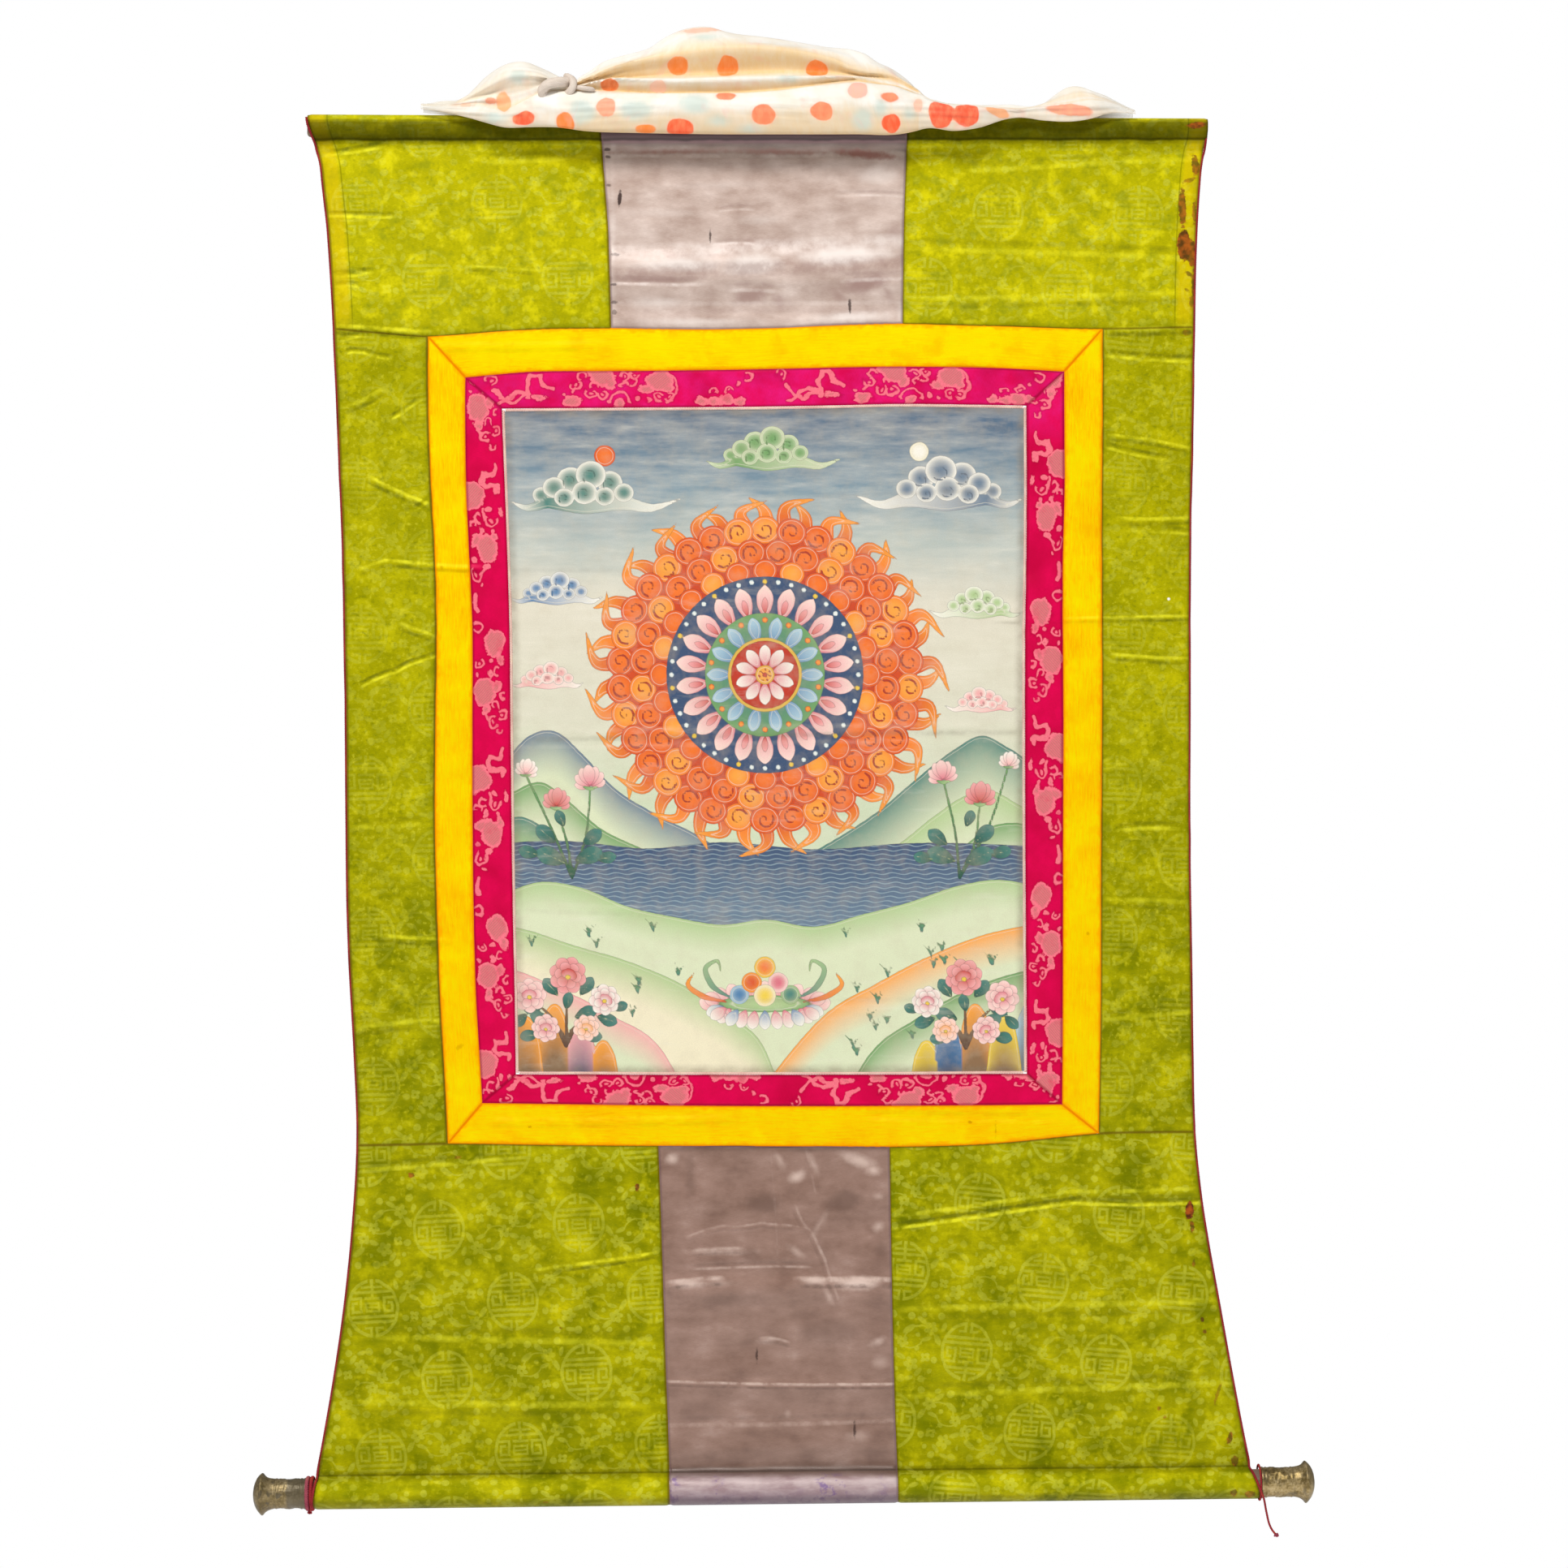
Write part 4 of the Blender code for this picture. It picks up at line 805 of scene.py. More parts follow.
def pinkBrocade(way):
    mat = Finish(way + " brocade")
    figure = brocade[way]
    strip = mat.weave()
    s, t, _ = mat.split(strip)
    wander = (mat.noise(strip, 0.085, 1) - 0.5) * 9
    sway = (mat.noise(mat.joined(t, s), 0.08, 1) - 0.5) * 9
    number = (s / figure["repeat"]).math("FLOOR")
    along = s - number * figure["repeat"] + wander
    spotted = mat.joined(along, t + sway)

    def blended(marks, soft):
        return reduce(lambda one, other: one.math("SMOOTH_MIN", other, soft), marks)
    leaves = blended((leafIn(mat, spotted, leaf[:2], leaf[2:4], leaf[4]) for leaf in figure["leaves"]), 2.2)
    lines = blended([curlIn(mat, spotted, *curl) for curl in figure["curls"]] +
        [roundIn(mat, spotted, dot[:2], dot[2]) for dot in figure["dots"]], 0.8)
    lines = blended([lines] + [runIn(mat, spotted, *run) for run in figure["ribbons"]], 1.4)
    edge = (mat.noise(strip, 0.34, 2, 0.6) - 0.5) * 4.2
    worn = mat.noise(strip, 0.05, 3, 0.6)
    fade = 1 - worn.rising(0.56, 0.8, 0, 0.55)
    leaves = leaves + edge
    inLeaf = leaves.within(0.8) * fade
    inLine = (lines + edge * 0.45).within(0.8) * fade
    hatch = mat.wave(strip, "DIAGONAL", 0.22, 2.5, 1).rising(0.2, 0.8)
    inMm = mat.inMm()
    x, _, z = mat.split(inMm)
    level = z.gentle(-330, -285)
    ground = mat.mixed(level * 0.8, (0.61, 0.001, 0.056), (0.77, 0.012, 0.2))
    ground = mat.over(ground,
        (worn.rising(0.35, 0.66) * 0.8, (0.72, 0.001, 0.075)),
        (mat.noise(inMm, 0.022, 2).rising(0.45, 0.7) * 0.6, (0.44, 0, 0.03)))
    motif = mat.mixed((leaves + 2.2).within(1.6) * 0.75, (0.88, 0.2, 0.25), (0.69, 0.165, 0.185))
    motif = mat.mixed(hatch * (leaves + 2.8).within(1.6) * 0.8, motif, (0.5, 0.19, 0.17))
    cloth = mat.mixed(inLeaf * 0.94, ground, motif)
    shadow = (lines + edge * 0.45 - 1.2).within(1.4).most((leaves - 1.2).within(1.4)) * fade
    cloth = mat.over(cloth,
        ((shadow - inLeaf) * 0.4, (0.33, 0, 0.03)),
        (inLine * 0.94, (0.88, 0.19, 0.24)))
    thread = mat.noise(strip, 0.8, 2, 0.6, stretch=(3.2, 0.35, 1))
    cloth = mat.mixed(thread.rising(0.4, 0.7) * 0.25, cloth, (0.36, 0, 0.04))
    # painted highlight and painted shade along each crease
    cloth = paintedCreaseLight(mat, x, z, cloth, "band", (0.95, 0.05, 0.16), (0.2, 0, 0.015), 0.45)
    cloth = mat.mixed(mat.number("seam").rising(0.3, 2.6, 0.65, 0), cloth, (0.22, 0, 0.016))
    mat.bump(thread, 0.5, 0.0003)
    return mat.woven(cloth, 0.48, (1, 0.25, 0.4))


def yellowSilk():
    mat = Finish("yellow silk")
    strip = mat.weave()
    inMm = mat.inMm()
    x, _, z = mat.split(inMm)
    slow = mat.noise(inMm, 0.016, 3, 0.55)
    streak = mat.noise(strip, 0.06, 3, 0.6, stretch=(1, 9, 1))
    fine = mat.noise(strip, 0.7, 2, 0.6, stretch=(0.3, 4, 1))
    cloth = mat.ramp(slow * 0.5 + streak * 0.5, (0.32, (0.82, 0.33, 0)), (0.43, (0.84, 0.475, 0)),
        (0.53, (0.82, 0.575, 0)), (0.64, (0.79, 0.65, 0)))
    lower = z.gentle(-980, -400)
    cloth = mat.over(cloth,
        ((1 - lower) * 0.25, (0.84, 0.51, 0)),
        (z.gentle(-262, -225) * 0.5, (0.82, 0.7, 0)))
    patches = mat.noise(inMm, 0.045, 3, 0.6)
    cloth = mat.over(cloth,
        (patches.rising(0.46, 0.3) * 0.45, (0.82, 0.38, 0)),
        (patches.rising(0.55, 0.7) * 0.3, (0.85, 0.73, 0)),
        (fine.rising(0.5, 0.78) * 0.22, (0.8, 0.42, 0)))
    # painted highlight and painted shade along each crease
    cloth = paintedCreaseLight(mat, x, z, cloth, "frame", (0.98, 0.86, 0.02), (0.48, 0.23, 0), 0.5)
    seam = mat.number("seam")
    # more orange towards each seam, with a ragged edge
    raggedSeam = seam + (mat.noise(strip, 0.12, 2) - 0.5) * 11
    cloth = mat.over(cloth,
        (raggedSeam.gentle(0.5, 5, 0.6, 0), (0.9, 0.3, 0)),
        (seam.rising(0.2, 1.5, 0.8, 0), (0.7, 0.15, 0)))
    cloth = stainsAndPaintedLight(mat, (x, z), cloth, ((652, 1389, 3, 2, 0, 0.5), (1195, 1383, 2.6, 2, 0, 0.5),
        (1227, 1391, 1.2, 10, 0, 0.35), (545, 700, 2, 3, 0, 0.35), (1340, 1150, 2, 2.4, 0, 0.4),
        (566, 1290, 6, 3, 0.6, 0.3)), (0.4, 0.12, 0))
    mat.bump(fine * 0.6 + streak * 0.4, 0.5, 0.0003)
    return mat.woven(cloth, 0.5, (1, 0.75, 0.05))


# dark slits in the satin, then painted shade in the small puckers along its left seam: middle, half width and
# half height in pixels, tilt and how dark
slitsAndPuckerShade = ((763.5, 244, 2.8, 11, -0.08, 0.95), (875, 291, 1.7, 9, 0, 0.8), (1047, 377, 2.2, 10, 0, 0.85),
    (932.5, 1669, 1.8, 9, 0, 0.8), (1053, 1762, 1.9, 11, 0, 0.8), (748, 184, 5, 2.4, 0, 0.8),
    (749, 193, 4, 2.2, 0, 0.7), (750, 228, 3.6, 2, 0, 0.6), (758, 314, 7, 2.2, 0, 0.6),
    (756, 351, 6, 2, 0, 0.7), (757, 373, 5, 2.4, 0, 0.6), (757, 385, 3.4, 3.4, 0, 0.5))


# soft shades and gleams on the satin: middle, half sizes in pixels, tilt, how strong
satinShades = ((830, 315, 50, 3, 0, 0.6), (935, 301, 48, 7, 0.05, 0.55), (1020, 303, 40, 5, 0.1, 0.3),
    (800, 346, 40, 5, -0.02, 0.9), (925, 366, 24, 11, 0.1, 0.75), (962, 372, 16, 9, -0.5, 0.55),
    (1066, 350, 36, 11, 0.2, 0.9), (1094, 362, 5, 15, 0.5, 0.5), (1102, 287, 10, 14, 0, 0.45),
    (1032, 364, 16, 8, -0.6, 0.55), (830, 388, 40, 4, 0, 0.35), (1087, 345, 3, 18, 0.1, 0.5),
    (851, 1450, 6, 26, 0, 0.5), (940, 1482, 22, 14, 0, 0.6), (1040, 1480, 22, 14, 0.2, 0.6),
    (925, 1545, 14, 10, 0, 0.45), (900, 1600, 50, 9, 0, 0.4), (1020, 1640, 40, 18, 0, 0.35),
    (860, 1740, 26, 16, 0, 0.3), (1085, 1540, 10, 10, 0, 0.45), (824, 1592, 6, 5, 0, 0.6),
    (996, 1620, 20, 8, 0, 0.35))
satinGleams = ((840, 327, 62, 9, 0.01, 0.85), (925, 327, 40, 13, 0.05, 0.8), (1040, 316, 56, 12, 0.07, 0.9),
    (1046, 391, 52, 7, 0.04, 0.8), (860, 397, 60, 5, 0, 0.6), (810, 373, 34, 7, 0, 0.4),
    (1080, 216, 26, 12, 0, 0.4), (755, 300, 2.5, 70, 0, 0.55), (1110, 385, 5, 12, 0, 0.5),
    (880, 228, 60, 5, 0.03, 0.3), (820, 262, 44, 5, 0, 0.28), (938, 270, 26, 6, 0, 0.3),
    (828, 1428, 8, 7, 0, 0.75), (961, 1430, 10, 4, -1, 0.55), (982, 1450, 11, 7, 0.4, 0.75),
    (1002, 1434, 11, 3.4, -1.1, 0.6), (1058, 1430, 22, 8, -0.3, 0.7), (1076, 1442, 9, 6, 0, 0.75),
    (1083, 1474, 6, 4, 0, 0.45), (1082, 1512, 7, 6, 0, 0.6), (886, 1542, 28, 3.4, 0, 0.65),
    (980, 1540, 9, 4, -0.6, 0.55), (850, 1581, 20, 5.4, 0, 0.9), (888, 1580, 18, 4, 0, 0.45),
    (1056, 1580, 26, 9, 0.03, 1), (1006, 1577, 15, 5, -0.1, 0.75), (1021, 1596, 9, 3, -1.1, 0.6),
    (1010, 1508, 14, 2.6, 1, 0.4), (945, 1651, 9, 4, 0.2, 0.55), (1081, 1652, 9, 4, 0.4, 0.65),
    (1084, 1678, 10, 8, 0.3, 0.3), (970, 1742, 3, 4, 0, 0.5), (1056, 1770, 14, 6, 0, 0.35))


# painted light and painted shade in bands across each satin: height in pixels and share of full light, True
# for the lower satin
satinLightBands = {False: ((172, 0.3), (179, 0.44), (186, 0.74), (198, 0.93), (214, 1.05), (250, 1.02),
    (290, 0.98), (310, 0.96), (322, 1.12), (338, 1.06), (350, 0.94), (370, 0.97), (388, 1.08), (402, 0.94)),
    True: ((1412, 0.6), (1420, 0.96), (1460, 1.02), (1496, 0.96), (1519, 1.02), (1560, 0.96), (1577, 1.1),
    (1600, 0.98), (1690, 0.98), (1705, 1.1), (1716, 0.96), (1760, 0.98), (1800, 0.9), (1812, 0.66)),
}


def satin(name, ramp, lower):
    mat = Finish(name)
    cloth = mat.weave(1000, 1000, 1)
    inMm = mat.inMm()
    x, _, z = mat.split(inMm)
    band = mat.noise(cloth, 0.022, 3, 0.55)
    drift = mat.noise(cloth, 0.06, 3, 0.6, stretch=(0.55, 1.4, 1))
    thread = mat.noise(cloth, 0.9, 2, 0.6, stretch=(0.3, 3, 1))
    tone = mat.ramp(band * 0.52 + drift * 0.3 + thread * 0.18, *ramp)
    # painted light and painted shade in bands down the satin
    bands = [((142 - y) * 0.8, level) for y, level in satinLightBands[lower]]
    bowed = z + (mat.noise(cloth, 0.01, 2, stretch=(1, 0.4, 1)) - 0.5) * 22
    tone = banded(mat, bowed, bands[-1][0], bands[0][0], 1.5, bands, tone)
    shades = [mark for mark in satinShades if (mark[1] > 900) == lower]
    gleams = [mark for mark in satinGleams if (mark[1] > 900) == lower]
    shade, gleam = (0.31, 0.195, 0.17), (0.8, 0.72, 0.675)
    if lower:
        shade, gleam = (0.125, 0.07, 0.052), (0.66, 0.5, 0.43)
    tone = stainsAndPaintedLight(mat, (x, z), tone, shades, shade, 5, soft=3)
    tone = stainsAndPaintedLight(mat, (x, z), tone, gleams, gleam, 3.4, soft=2.6)
    # painted highlight and painted shade along each crease
    tone = paintedCreaseLight(mat, x, z, tone, "satin", gleam, shade, 0.7 if lower else 0.5)
    if not lower:
        # the hem face tinted purple, to colour the painted shade laid on it further down, and painted
        # red-brown shade along the hem's lower edge
        tone = mat.mixed(z.gentle(-30, -24) * 0.7, tone, (0.62, 0.33, 0.39))
        tone = stainsAndPaintedLight(mat, (x, z), tone, ((830, 187, 70, 3, 0.02, 0.7), (960, 187, 60, 4, -0.02, 0.7),
            (1066, 190, 42, 6, -0.1, 0.9)), (0.28, 0.12, 0.1), 3, soft=1.2)
    if lower:
        onRoll = z.gentle(-1343, -1336, 1, 0)
        lilac = mat.mixed(drift.rising(0.35, 0.62), (0.285, 0.195, 0.203), (0.435, 0.34, 0.342))
        tone = mat.mixed(onRoll, tone, lilac)
        dyed = mat.noise(inMm, 0.11, 3, 0.65).rising(0.5, 0.6)
        where = mat.noise(mat.joined(x, 0), 0.025, 1).rising(0.5, 0.6)
        tone = mat.mixed(dyed * where * onRoll * 0.7, tone, (0.13, 0.065, 0.235))
        # painted shade on the underside of the roll, a little uneven
        foot = z.gentle(-1363, -1349, 0.85, 0) * dyed.rising(0, 1, 0.75, 1)
        tone = mat.mixed(foot, tone, (0.12, 0.065, 0.115))
    tone = hemsShaded(mat, x, z, tone)
    # dark slits, and painted shade in the puckers by the left seam
    tone = stainsAndPaintedLight(mat, (x, z), tone, slitsAndPuckerShade, (0.03, 0.012, 0.01), 1.2)
    tone = mat.mixed(mat.number("seam").rising(0.2, 2.2, 0.62, 0), tone, (0.12, 0.06, 0.07))
    mat.bump(thread * 0.6 + drift * 0.4, 0.45, 0.0003)
    return mat.woven(tone, drift.rising(0.3, 0.7, 0.28, 0.42), (1, 0.88, 0.84), 0.45)


def cottonLining():
    # plain undyed cotton on the back of every panel
    mat = Finish("cotton lining")
    cloth = mat.inMm()
    slow = mat.noise(cloth, 0.014, 4, 0.6)
    warp, weft = mat.wave(cloth, "X", 0.42, 0.6), mat.wave(cloth, "Z", 0.46, 0.6)
    tone = mat.ramp(slow, (0.3, (0.33, 0.23, 0.12)), (0.48, (0.52, 0.4, 0.24)), (0.7, (0.64, 0.52, 0.35)))
    tone = mat.over(tone,
        (mat.noise(cloth, 0.09, 2, 0.6).rising(0.66, 0.78) * 0.5, (0.25, 0.13, 0.06)),
        ((warp * weft).rising(0, 0.5, 0.25, 0), (0.2, 0.14, 0.08)))
    mat.bump(warp * 0.5 + weft * 0.5, 0.5, 0.0003)
    return mat.woven(tone, 0.85, (1, 0.95, 0.85), 0.15)


def laidCord(name, dark, middle, light, fade):
    mat = Finish(name)
    along = mat.weave(1000, 1, 1)
    s, turn, _ = mat.split(along)
    fibre = mat.noise(along, 0.9, 3, 0.7, stretch=(0.6, 3, 1))
    slow = mat.noise(mat.joined(s, 0), 0.035, 3, 0.6)
    tone = mat.ramp(fibre * 0.5 + slow * 0.5, (0.32, dark), (0.5, middle), (0.68, light))
    tone = mat.mixed(slow.rising(0.55, 0.75) * 0.6, tone, fade)
    mat.bump(fibre, 0.6, 0.0003)
    return mat.woven(tone, 0.7, (1, 0.6, 0.5))


def agedBrass():
    mat = Finish("aged brass")
    cloth = mat.inMm()
    x, y, z = mat.split(cloth)
    slow = mat.noise(cloth, 0.075, 4, 0.65)
    fine = mat.noise(cloth, 0.42, 3, 0.7)
    tone = mat.ramp(slow * 0.6 + fine * 0.4, (0.3, (0.06, 0.042, 0.017)), (0.44, (0.215, 0.15, 0.05)),
        (0.56, (0.42, 0.315, 0.15)), (0.72, (0.66, 0.54, 0.33)))
    mouth = x.gentle(-474, -468) * x.gentle(-440, -438, 1, 0)
    leftSide = x.gentle(-300, 300, 1, 0)
    tarnish = mouth + mat.noise(cloth, 0.12, 2).rising(0.56, 0.7) * (0.5 + leftSide *
        0.3) + leftSide * 0.3 + 0.08
    tone = mat.mixed(tarnish.least(0.85), tone, (0.08, 0.064, 0.036))
    # painted shade on the lower side of each cap, below the roller's middle line
    under = z - x * 0.01147
    tone = mat.mixed(under.gentle(-1372, -1355, 0.42, 0), tone, (0.05, 0.03, 0.014))
    mat.set(Base_Color=tone, Metallic=tarnish.rising(0, 1, 0.85, 0.35),
        Roughness=fine.rising(0.3, 0.7, 0.34, 0.56))
    mat.bump(slow * 0.6 + fine * 0.6, 0.5, 0.0005)
    return mat.material


def rawWood(name, dark, light):
    mat = Finish(name)
    along = mat.inMm()
    grain = mat.noise(along, 0.3, 4, 0.65, stretch=(0.07, 1, 1))
    slow = mat.noise(along, 0.05, 2)
    tone = mat.ramp(grain * 0.7 + slow * 0.3, (0.32, dark), (0.68, light))
    mat.set(Base_Color=tone, Roughness=grain.rising(0.3, 0.7, 0.62, 0.82))
    mat.bump(grain, 0.5, 0.0004)
    return mat.material


def printedVeil():
    # thin ivory silk with orange dots, and painted tan shade in its folds and valleys
    mat = Finish("printed veil silk")
    cloth = mat.weave(1000, 1000, 1)
    slow = mat.noise(cloth, 0.025, 3, 0.6)
    fine = mat.noise(cloth, 0.16, 3, 0.6, stretch=(1, 0.4, 1))
    tone = mat.mixed(slow.rising(0.35, 0.66), (0.86, 0.8, 0.69), (0.93, 0.9, 0.84))
    warm = (mat.number("warm") + (fine - 0.5) * 0.55).rising(0.1, 0.95)
    tone = mat.mixed(warm * 0.85, tone, (0.8, 0.52, 0.2))
    x, _, z = mat.split(mat.inMm())
    # painted shade, darker towards the bottom of the cover
    tone = mat.mixed(z.gentle(-16, 10, 0.34, 0), tone, (0.56, 0.43, 0.28))
    cool = (mat.number("cool") + (fine - 0.5) * 7).gentle(-3, 7)
    tone = mat.mixed(cool * 0.62, tone, (0.52, 0.66, 0.62))
    dot = mat.number("dot") + (fine - 0.5) * 2.4
    inDot = dot.gentle(-0.5, 1.1)
    printed = mat.mixed(fine.rising(0.4, 0.75) * 0.35, mat.number("dotTint", 0), (0.95, 0.5, 0.25))
    tone = mat.over(tone,
        (dot.gentle(-3.5, 0.5) * 0.25, (0.9, 0.52, 0.36)),
        (inDot * 0.92, printed),
        (mat.noise(cloth, 0.045, 2).rising(0.6, 0.74) * 0.28, (0.88, 0.42, 0.34)))
    weave = mat.noise(cloth, 1.4, 2, 0.6, stretch=(3, 0.5, 1))
    mat.bump(weave * 0.5 + fine * 0.5, 0.4, 0.0003)
    sheer = x.gentle(-345, -292, 0.3, 1) * x.gentle(312, 366, 1, 0.25)
    mat.set(Alpha=(dot.gentle(-1, 2) * 0.06 + warm * 0.06 + 0.9).least(1) * sheer)
    return mat.woven(tone, 0.45, (1, 0.95, 0.9), 0.2)


def stripUv(node, made):
    # mm along the strip and in from its outer seam, for the mitred borders
    grid = made["grid"]
    side = node.split("_")[1]
    start = {"top": -0.296, "foot": -0.2812, "left": -0.3504, "right": -0.319}[side]
    u, v = made["u"], made["v"]
    if side in ("top", "foot"):
        s = (grid[..., 0] - start) * 1000
        t = np.broadcast_to((v if side == "top" else v[-1] - v)[:, None], s.shape) * 1000
    else:
        s = (start - grid[..., 2]) * 1000
        t = np.broadcast_to((u if side == "left" else u[-1] - u)[None], s.shape) * 1000
    return s, t


# the painting's colours, as a painter would mix them from 0 to 255
paints = {
    "orange": (232, 96, 30), "flame": (206, 62, 22), "ember": (166, 40, 24), "amber": (240, 142, 48),
    "red": (182, 40, 32), "pink": (232, 150, 148), "rose": (206, 84, 104), "blush": (244, 204, 192),
    "white": (240, 234, 218), "cream": (230, 218, 180), "navy": (44, 62, 92), "blue": (62, 106, 150),
    "mist": (160, 192, 204), "teal": (58, 108, 98), "dark": (30, 66, 54), "leaf": (92, 140, 78),
    "pale": (204, 212, 170), "lime": (156, 184, 120), "yellow": (230, 190, 56), "gold": (206, 156, 58),
    "brown": (116, 84, 56), "bark": (72, 50, 40), "grey": (148, 150, 140), "slate": (84, 104, 124),
}


pictureTop = 289.6  # mm below the hanging edge


def paint(name):
    return np.array([(part / 255) ** 2.2 for part in paints[name]])


class Painting:
    # layers of painted shapes: how far each point of the cloth lies outside them in mm, and their colour
    def __init__(self, across, down, layers):
        self.x, self.y = across.ravel(), down.ravel()
        self.far = np.full((layers, self.x.size), 9.0)
        self.tint = np.zeros((layers, self.x.size, 4))
        self.hand = random.Random(41)

    def reached(self, x, y, reach):
        return np.flatnonzero((np.abs(self.x - x) < reach) & (np.abs(self.y - y) < reach))

    def put(self, layer, near, far, share, first, second, lines):
        closer = far < self.far[layer, near]
        near, far, share = near[closer], far[closer], np.clip(share[closer], 0, 1)[:, None]
        self.far[layer, near] = far
        self.tint[layer, near, :3] = paint(first) * (1 - share) + paint(second) * share
        self.tint[layer, near, 3] = lines

    def oval(self, layer, x, y, wide, tall, first, second, lines=0, turn=0):
        near = self.reached(x, y, max(wide, tall) + 9)
        dx, dy = self.x[near] - x, self.y[near] - y
        over, along = dx * cos(turn) + dy * sin(turn), dy * cos(turn) - dx * sin(turn)
        size = np.hypot(over / wide, along / tall)
        self.put(layer, near, (size - 1) * min(wide, tall), size ** 2.4, first, second, lines)

    def petal(self, layer, x, y, long, wide, turn, first, second, lines=0):
        # starts at x, y and points up when turn is 0
        half = long / 2
        radius = (half * half + wide * wide) / (2 * wide)
        near = self.reached(x + sin(turn) * half, y - cos(turn) * half, half + 9)
        dx, dy = self.x[near] - x, self.y[near] - y
        along = dx * sin(turn) - dy * cos(turn)
        over = dx * cos(turn) + dy * sin(turn)
        swollen = half + (along - half) - 0.1 * long * np.clip(along * (long - along) / half ** 2, 0, 1)
        far = np.hypot(np.abs(over) + radius - wide, swollen - half) - radius
        self.put(layer, near, far, along / long, first, second, lines)

    def stroke(self, layer, points, widths, first, second, lines=0):
        # a tapering stroke of the brush along a smooth line
        points, widths = np.array(points, float), np.array(widths, float)
        long = lengths(points)
        at = np.linspace(0, long[-1], max(3, int(long[-1] / 2.2)))
        line, wide = through(long, points, at), np.interp(at, long, widths)
        for i in range(len(at) - 1):
            (ax, ay), (bx, by) = line[i], line[i + 1]
            near = self.reached((ax + bx) / 2, (ay + by) / 2, wide[i] + 8)
            dx, dy = self.x[near] - ax, self.y[near] - ay
            share = np.clip((dx * (bx - ax) + dy * (by - ay)) / ((bx - ax) ** 2 + (by - ay) ** 2), 0, 1)
            far = np.hypot(dx - share * (bx - ax), dy - share * (by - ay)) - wide[i] - share * (wide[i + 1]
                - wide[i])
            self.put(layer, near, far, (at[i] + share * (at[i + 1] - at[i])) / long[-1], first, second,
                lines)

    def land(self, layer, knots, first, second, depth, lines=0, foot=None):
        # all that lies under a ridge line
        xs, ys = zip(*knots)
        near = np.flatnonzero((self.x > xs[0] - 9) & (self.x < xs[-1] + 9))
        x, y = self.x[near], self.y[near]
        ridge = through(xs, ys, x)
        slope = (through(xs, ys, x + 1) - ridge)
        far = np.maximum((ridge - y) / np.hypot(1, slope), np.maximum(xs[0] - x, x - xs[-1]))
        if foot:
            far = np.maximum(far, y - foot)
        self.put(layer, near, far, (y - ridge) / depth, first, second, lines)

    def curl(self, layer, x, y, size, way, start, first, second, thick=1.1, rounds=1.25):
        # a small spiral
        path = []
        for i in range(15):
            share = i / 14
            turn = start + way * share * tau * rounds
            out = size * (1 - 0.86 * share)
            path.append((x + out * cos(turn), y + out * sin(turn)))
        self.stroke(layer, path, [thick * (1 - 0.5 * i / 14) for i in range(15)], first, second)


def around(x, y, out, turn):
    # the point so far out from a middle; a turn of 0 points up
    return x + out * sin(turn), y - out * cos(turn)


def cloudBank(art, layer, x, y, size, way, core, rim, tail=60):
    for line, widths in ((((-30, 12), (0, 15), (30, 13), (30 + tail * 0.5, 17), (30 + tail, 10)),
            (5, 7, 6, 3.2, 0.5)), (((-30, 13), (-46, 17), (-58, 12)), (4.5, 2.6, 0.5))):
        art.stroke(layer, [(x + way * size * dx, y + size * dy) for dx, dy in line],
            [size * w for w in widths], core, rim, 1)
    for dx, dy, radius, up in ((-34, 7, 7, 0), (-24, 1, 9, 1), (-11, -5, 11, 0), (5, -9, 12, 1),
            (20, -3, 10, 0), (31, 5, 8, 1), (-16, 9, 8, 2), (0, 5, 10, 2), (16, 8, 8, 2)):
        cx, cy, radius = x + way * dx * size, y + dy * size, radius * size
        art.oval(layer + up, cx, cy, radius, radius * 0.92, core, rim, 1)
        if up == 2 or dy < -2:
            art.curl(layer + 3, cx, cy + radius * 0.1, radius * 0.56, way, 2.4, core, core, 0.8, 1)


def peony(art, layer, x, y, size, lean, inner, outer):
    for ring, (count, long, wide, out) in enumerate(((8, 13, 5.4, 2), (6, 9.6, 4.4, 1.2))):
        for i in range(count):
            turn = lean + tau * i / count + ring * 0.4
            art.petal(layer + ring * 2 + i % 2, *around(x, y, out * size, turn), long * size, wide * size,
                turn, inner, outer)
    for i in range(4):
        art.petal(layer + 4, x, y + 2 * size, 7.5 * size, 3.2 * size, lean - 0.9 + i * 0.6, outer, inner)
    art.oval(layer + 5, x, y + 1.5 * size, 2.4 * size, 2 * size, "yellow", "gold")


def leafy(art, layer, x, y, long, wide, turn, first="dark", second="teal"):
    art.petal(layer, x, y, long, wide, turn, first, second)
    tip = around(x, y, long * 0.84, turn)
    art.stroke(layer + 1, [(x, y), ((x + tip[0]) / 2 + 0.6, (y + tip[1]) / 2), tip], [0.55, 0.5, 0.3],
        "lime", "pale")


def lotus(art, layer, x, y, size, lean, inner, outer):
    for i, (turn, long, wide) in enumerate(((-1.35, 17, 4.6), (1.35, 17, 4.6), (-0.85, 20, 5.4),
            (0.85, 20, 5.4), (-0.38, 22, 5.8), (0.38, 22, 5.8), (0, 23, 6.4))):
        art.petal(layer + i // 2, x, y, long * size, wide * size, lean + turn, inner, outer)
    art.stroke(layer + 4, [(x - 7 * size, y + 0.5 * size), (x, y + 2.5 * size),
        (x + 7 * size, y + 0.5 * size)], [1, 2.2 * size, 1], "leaf", "lime")


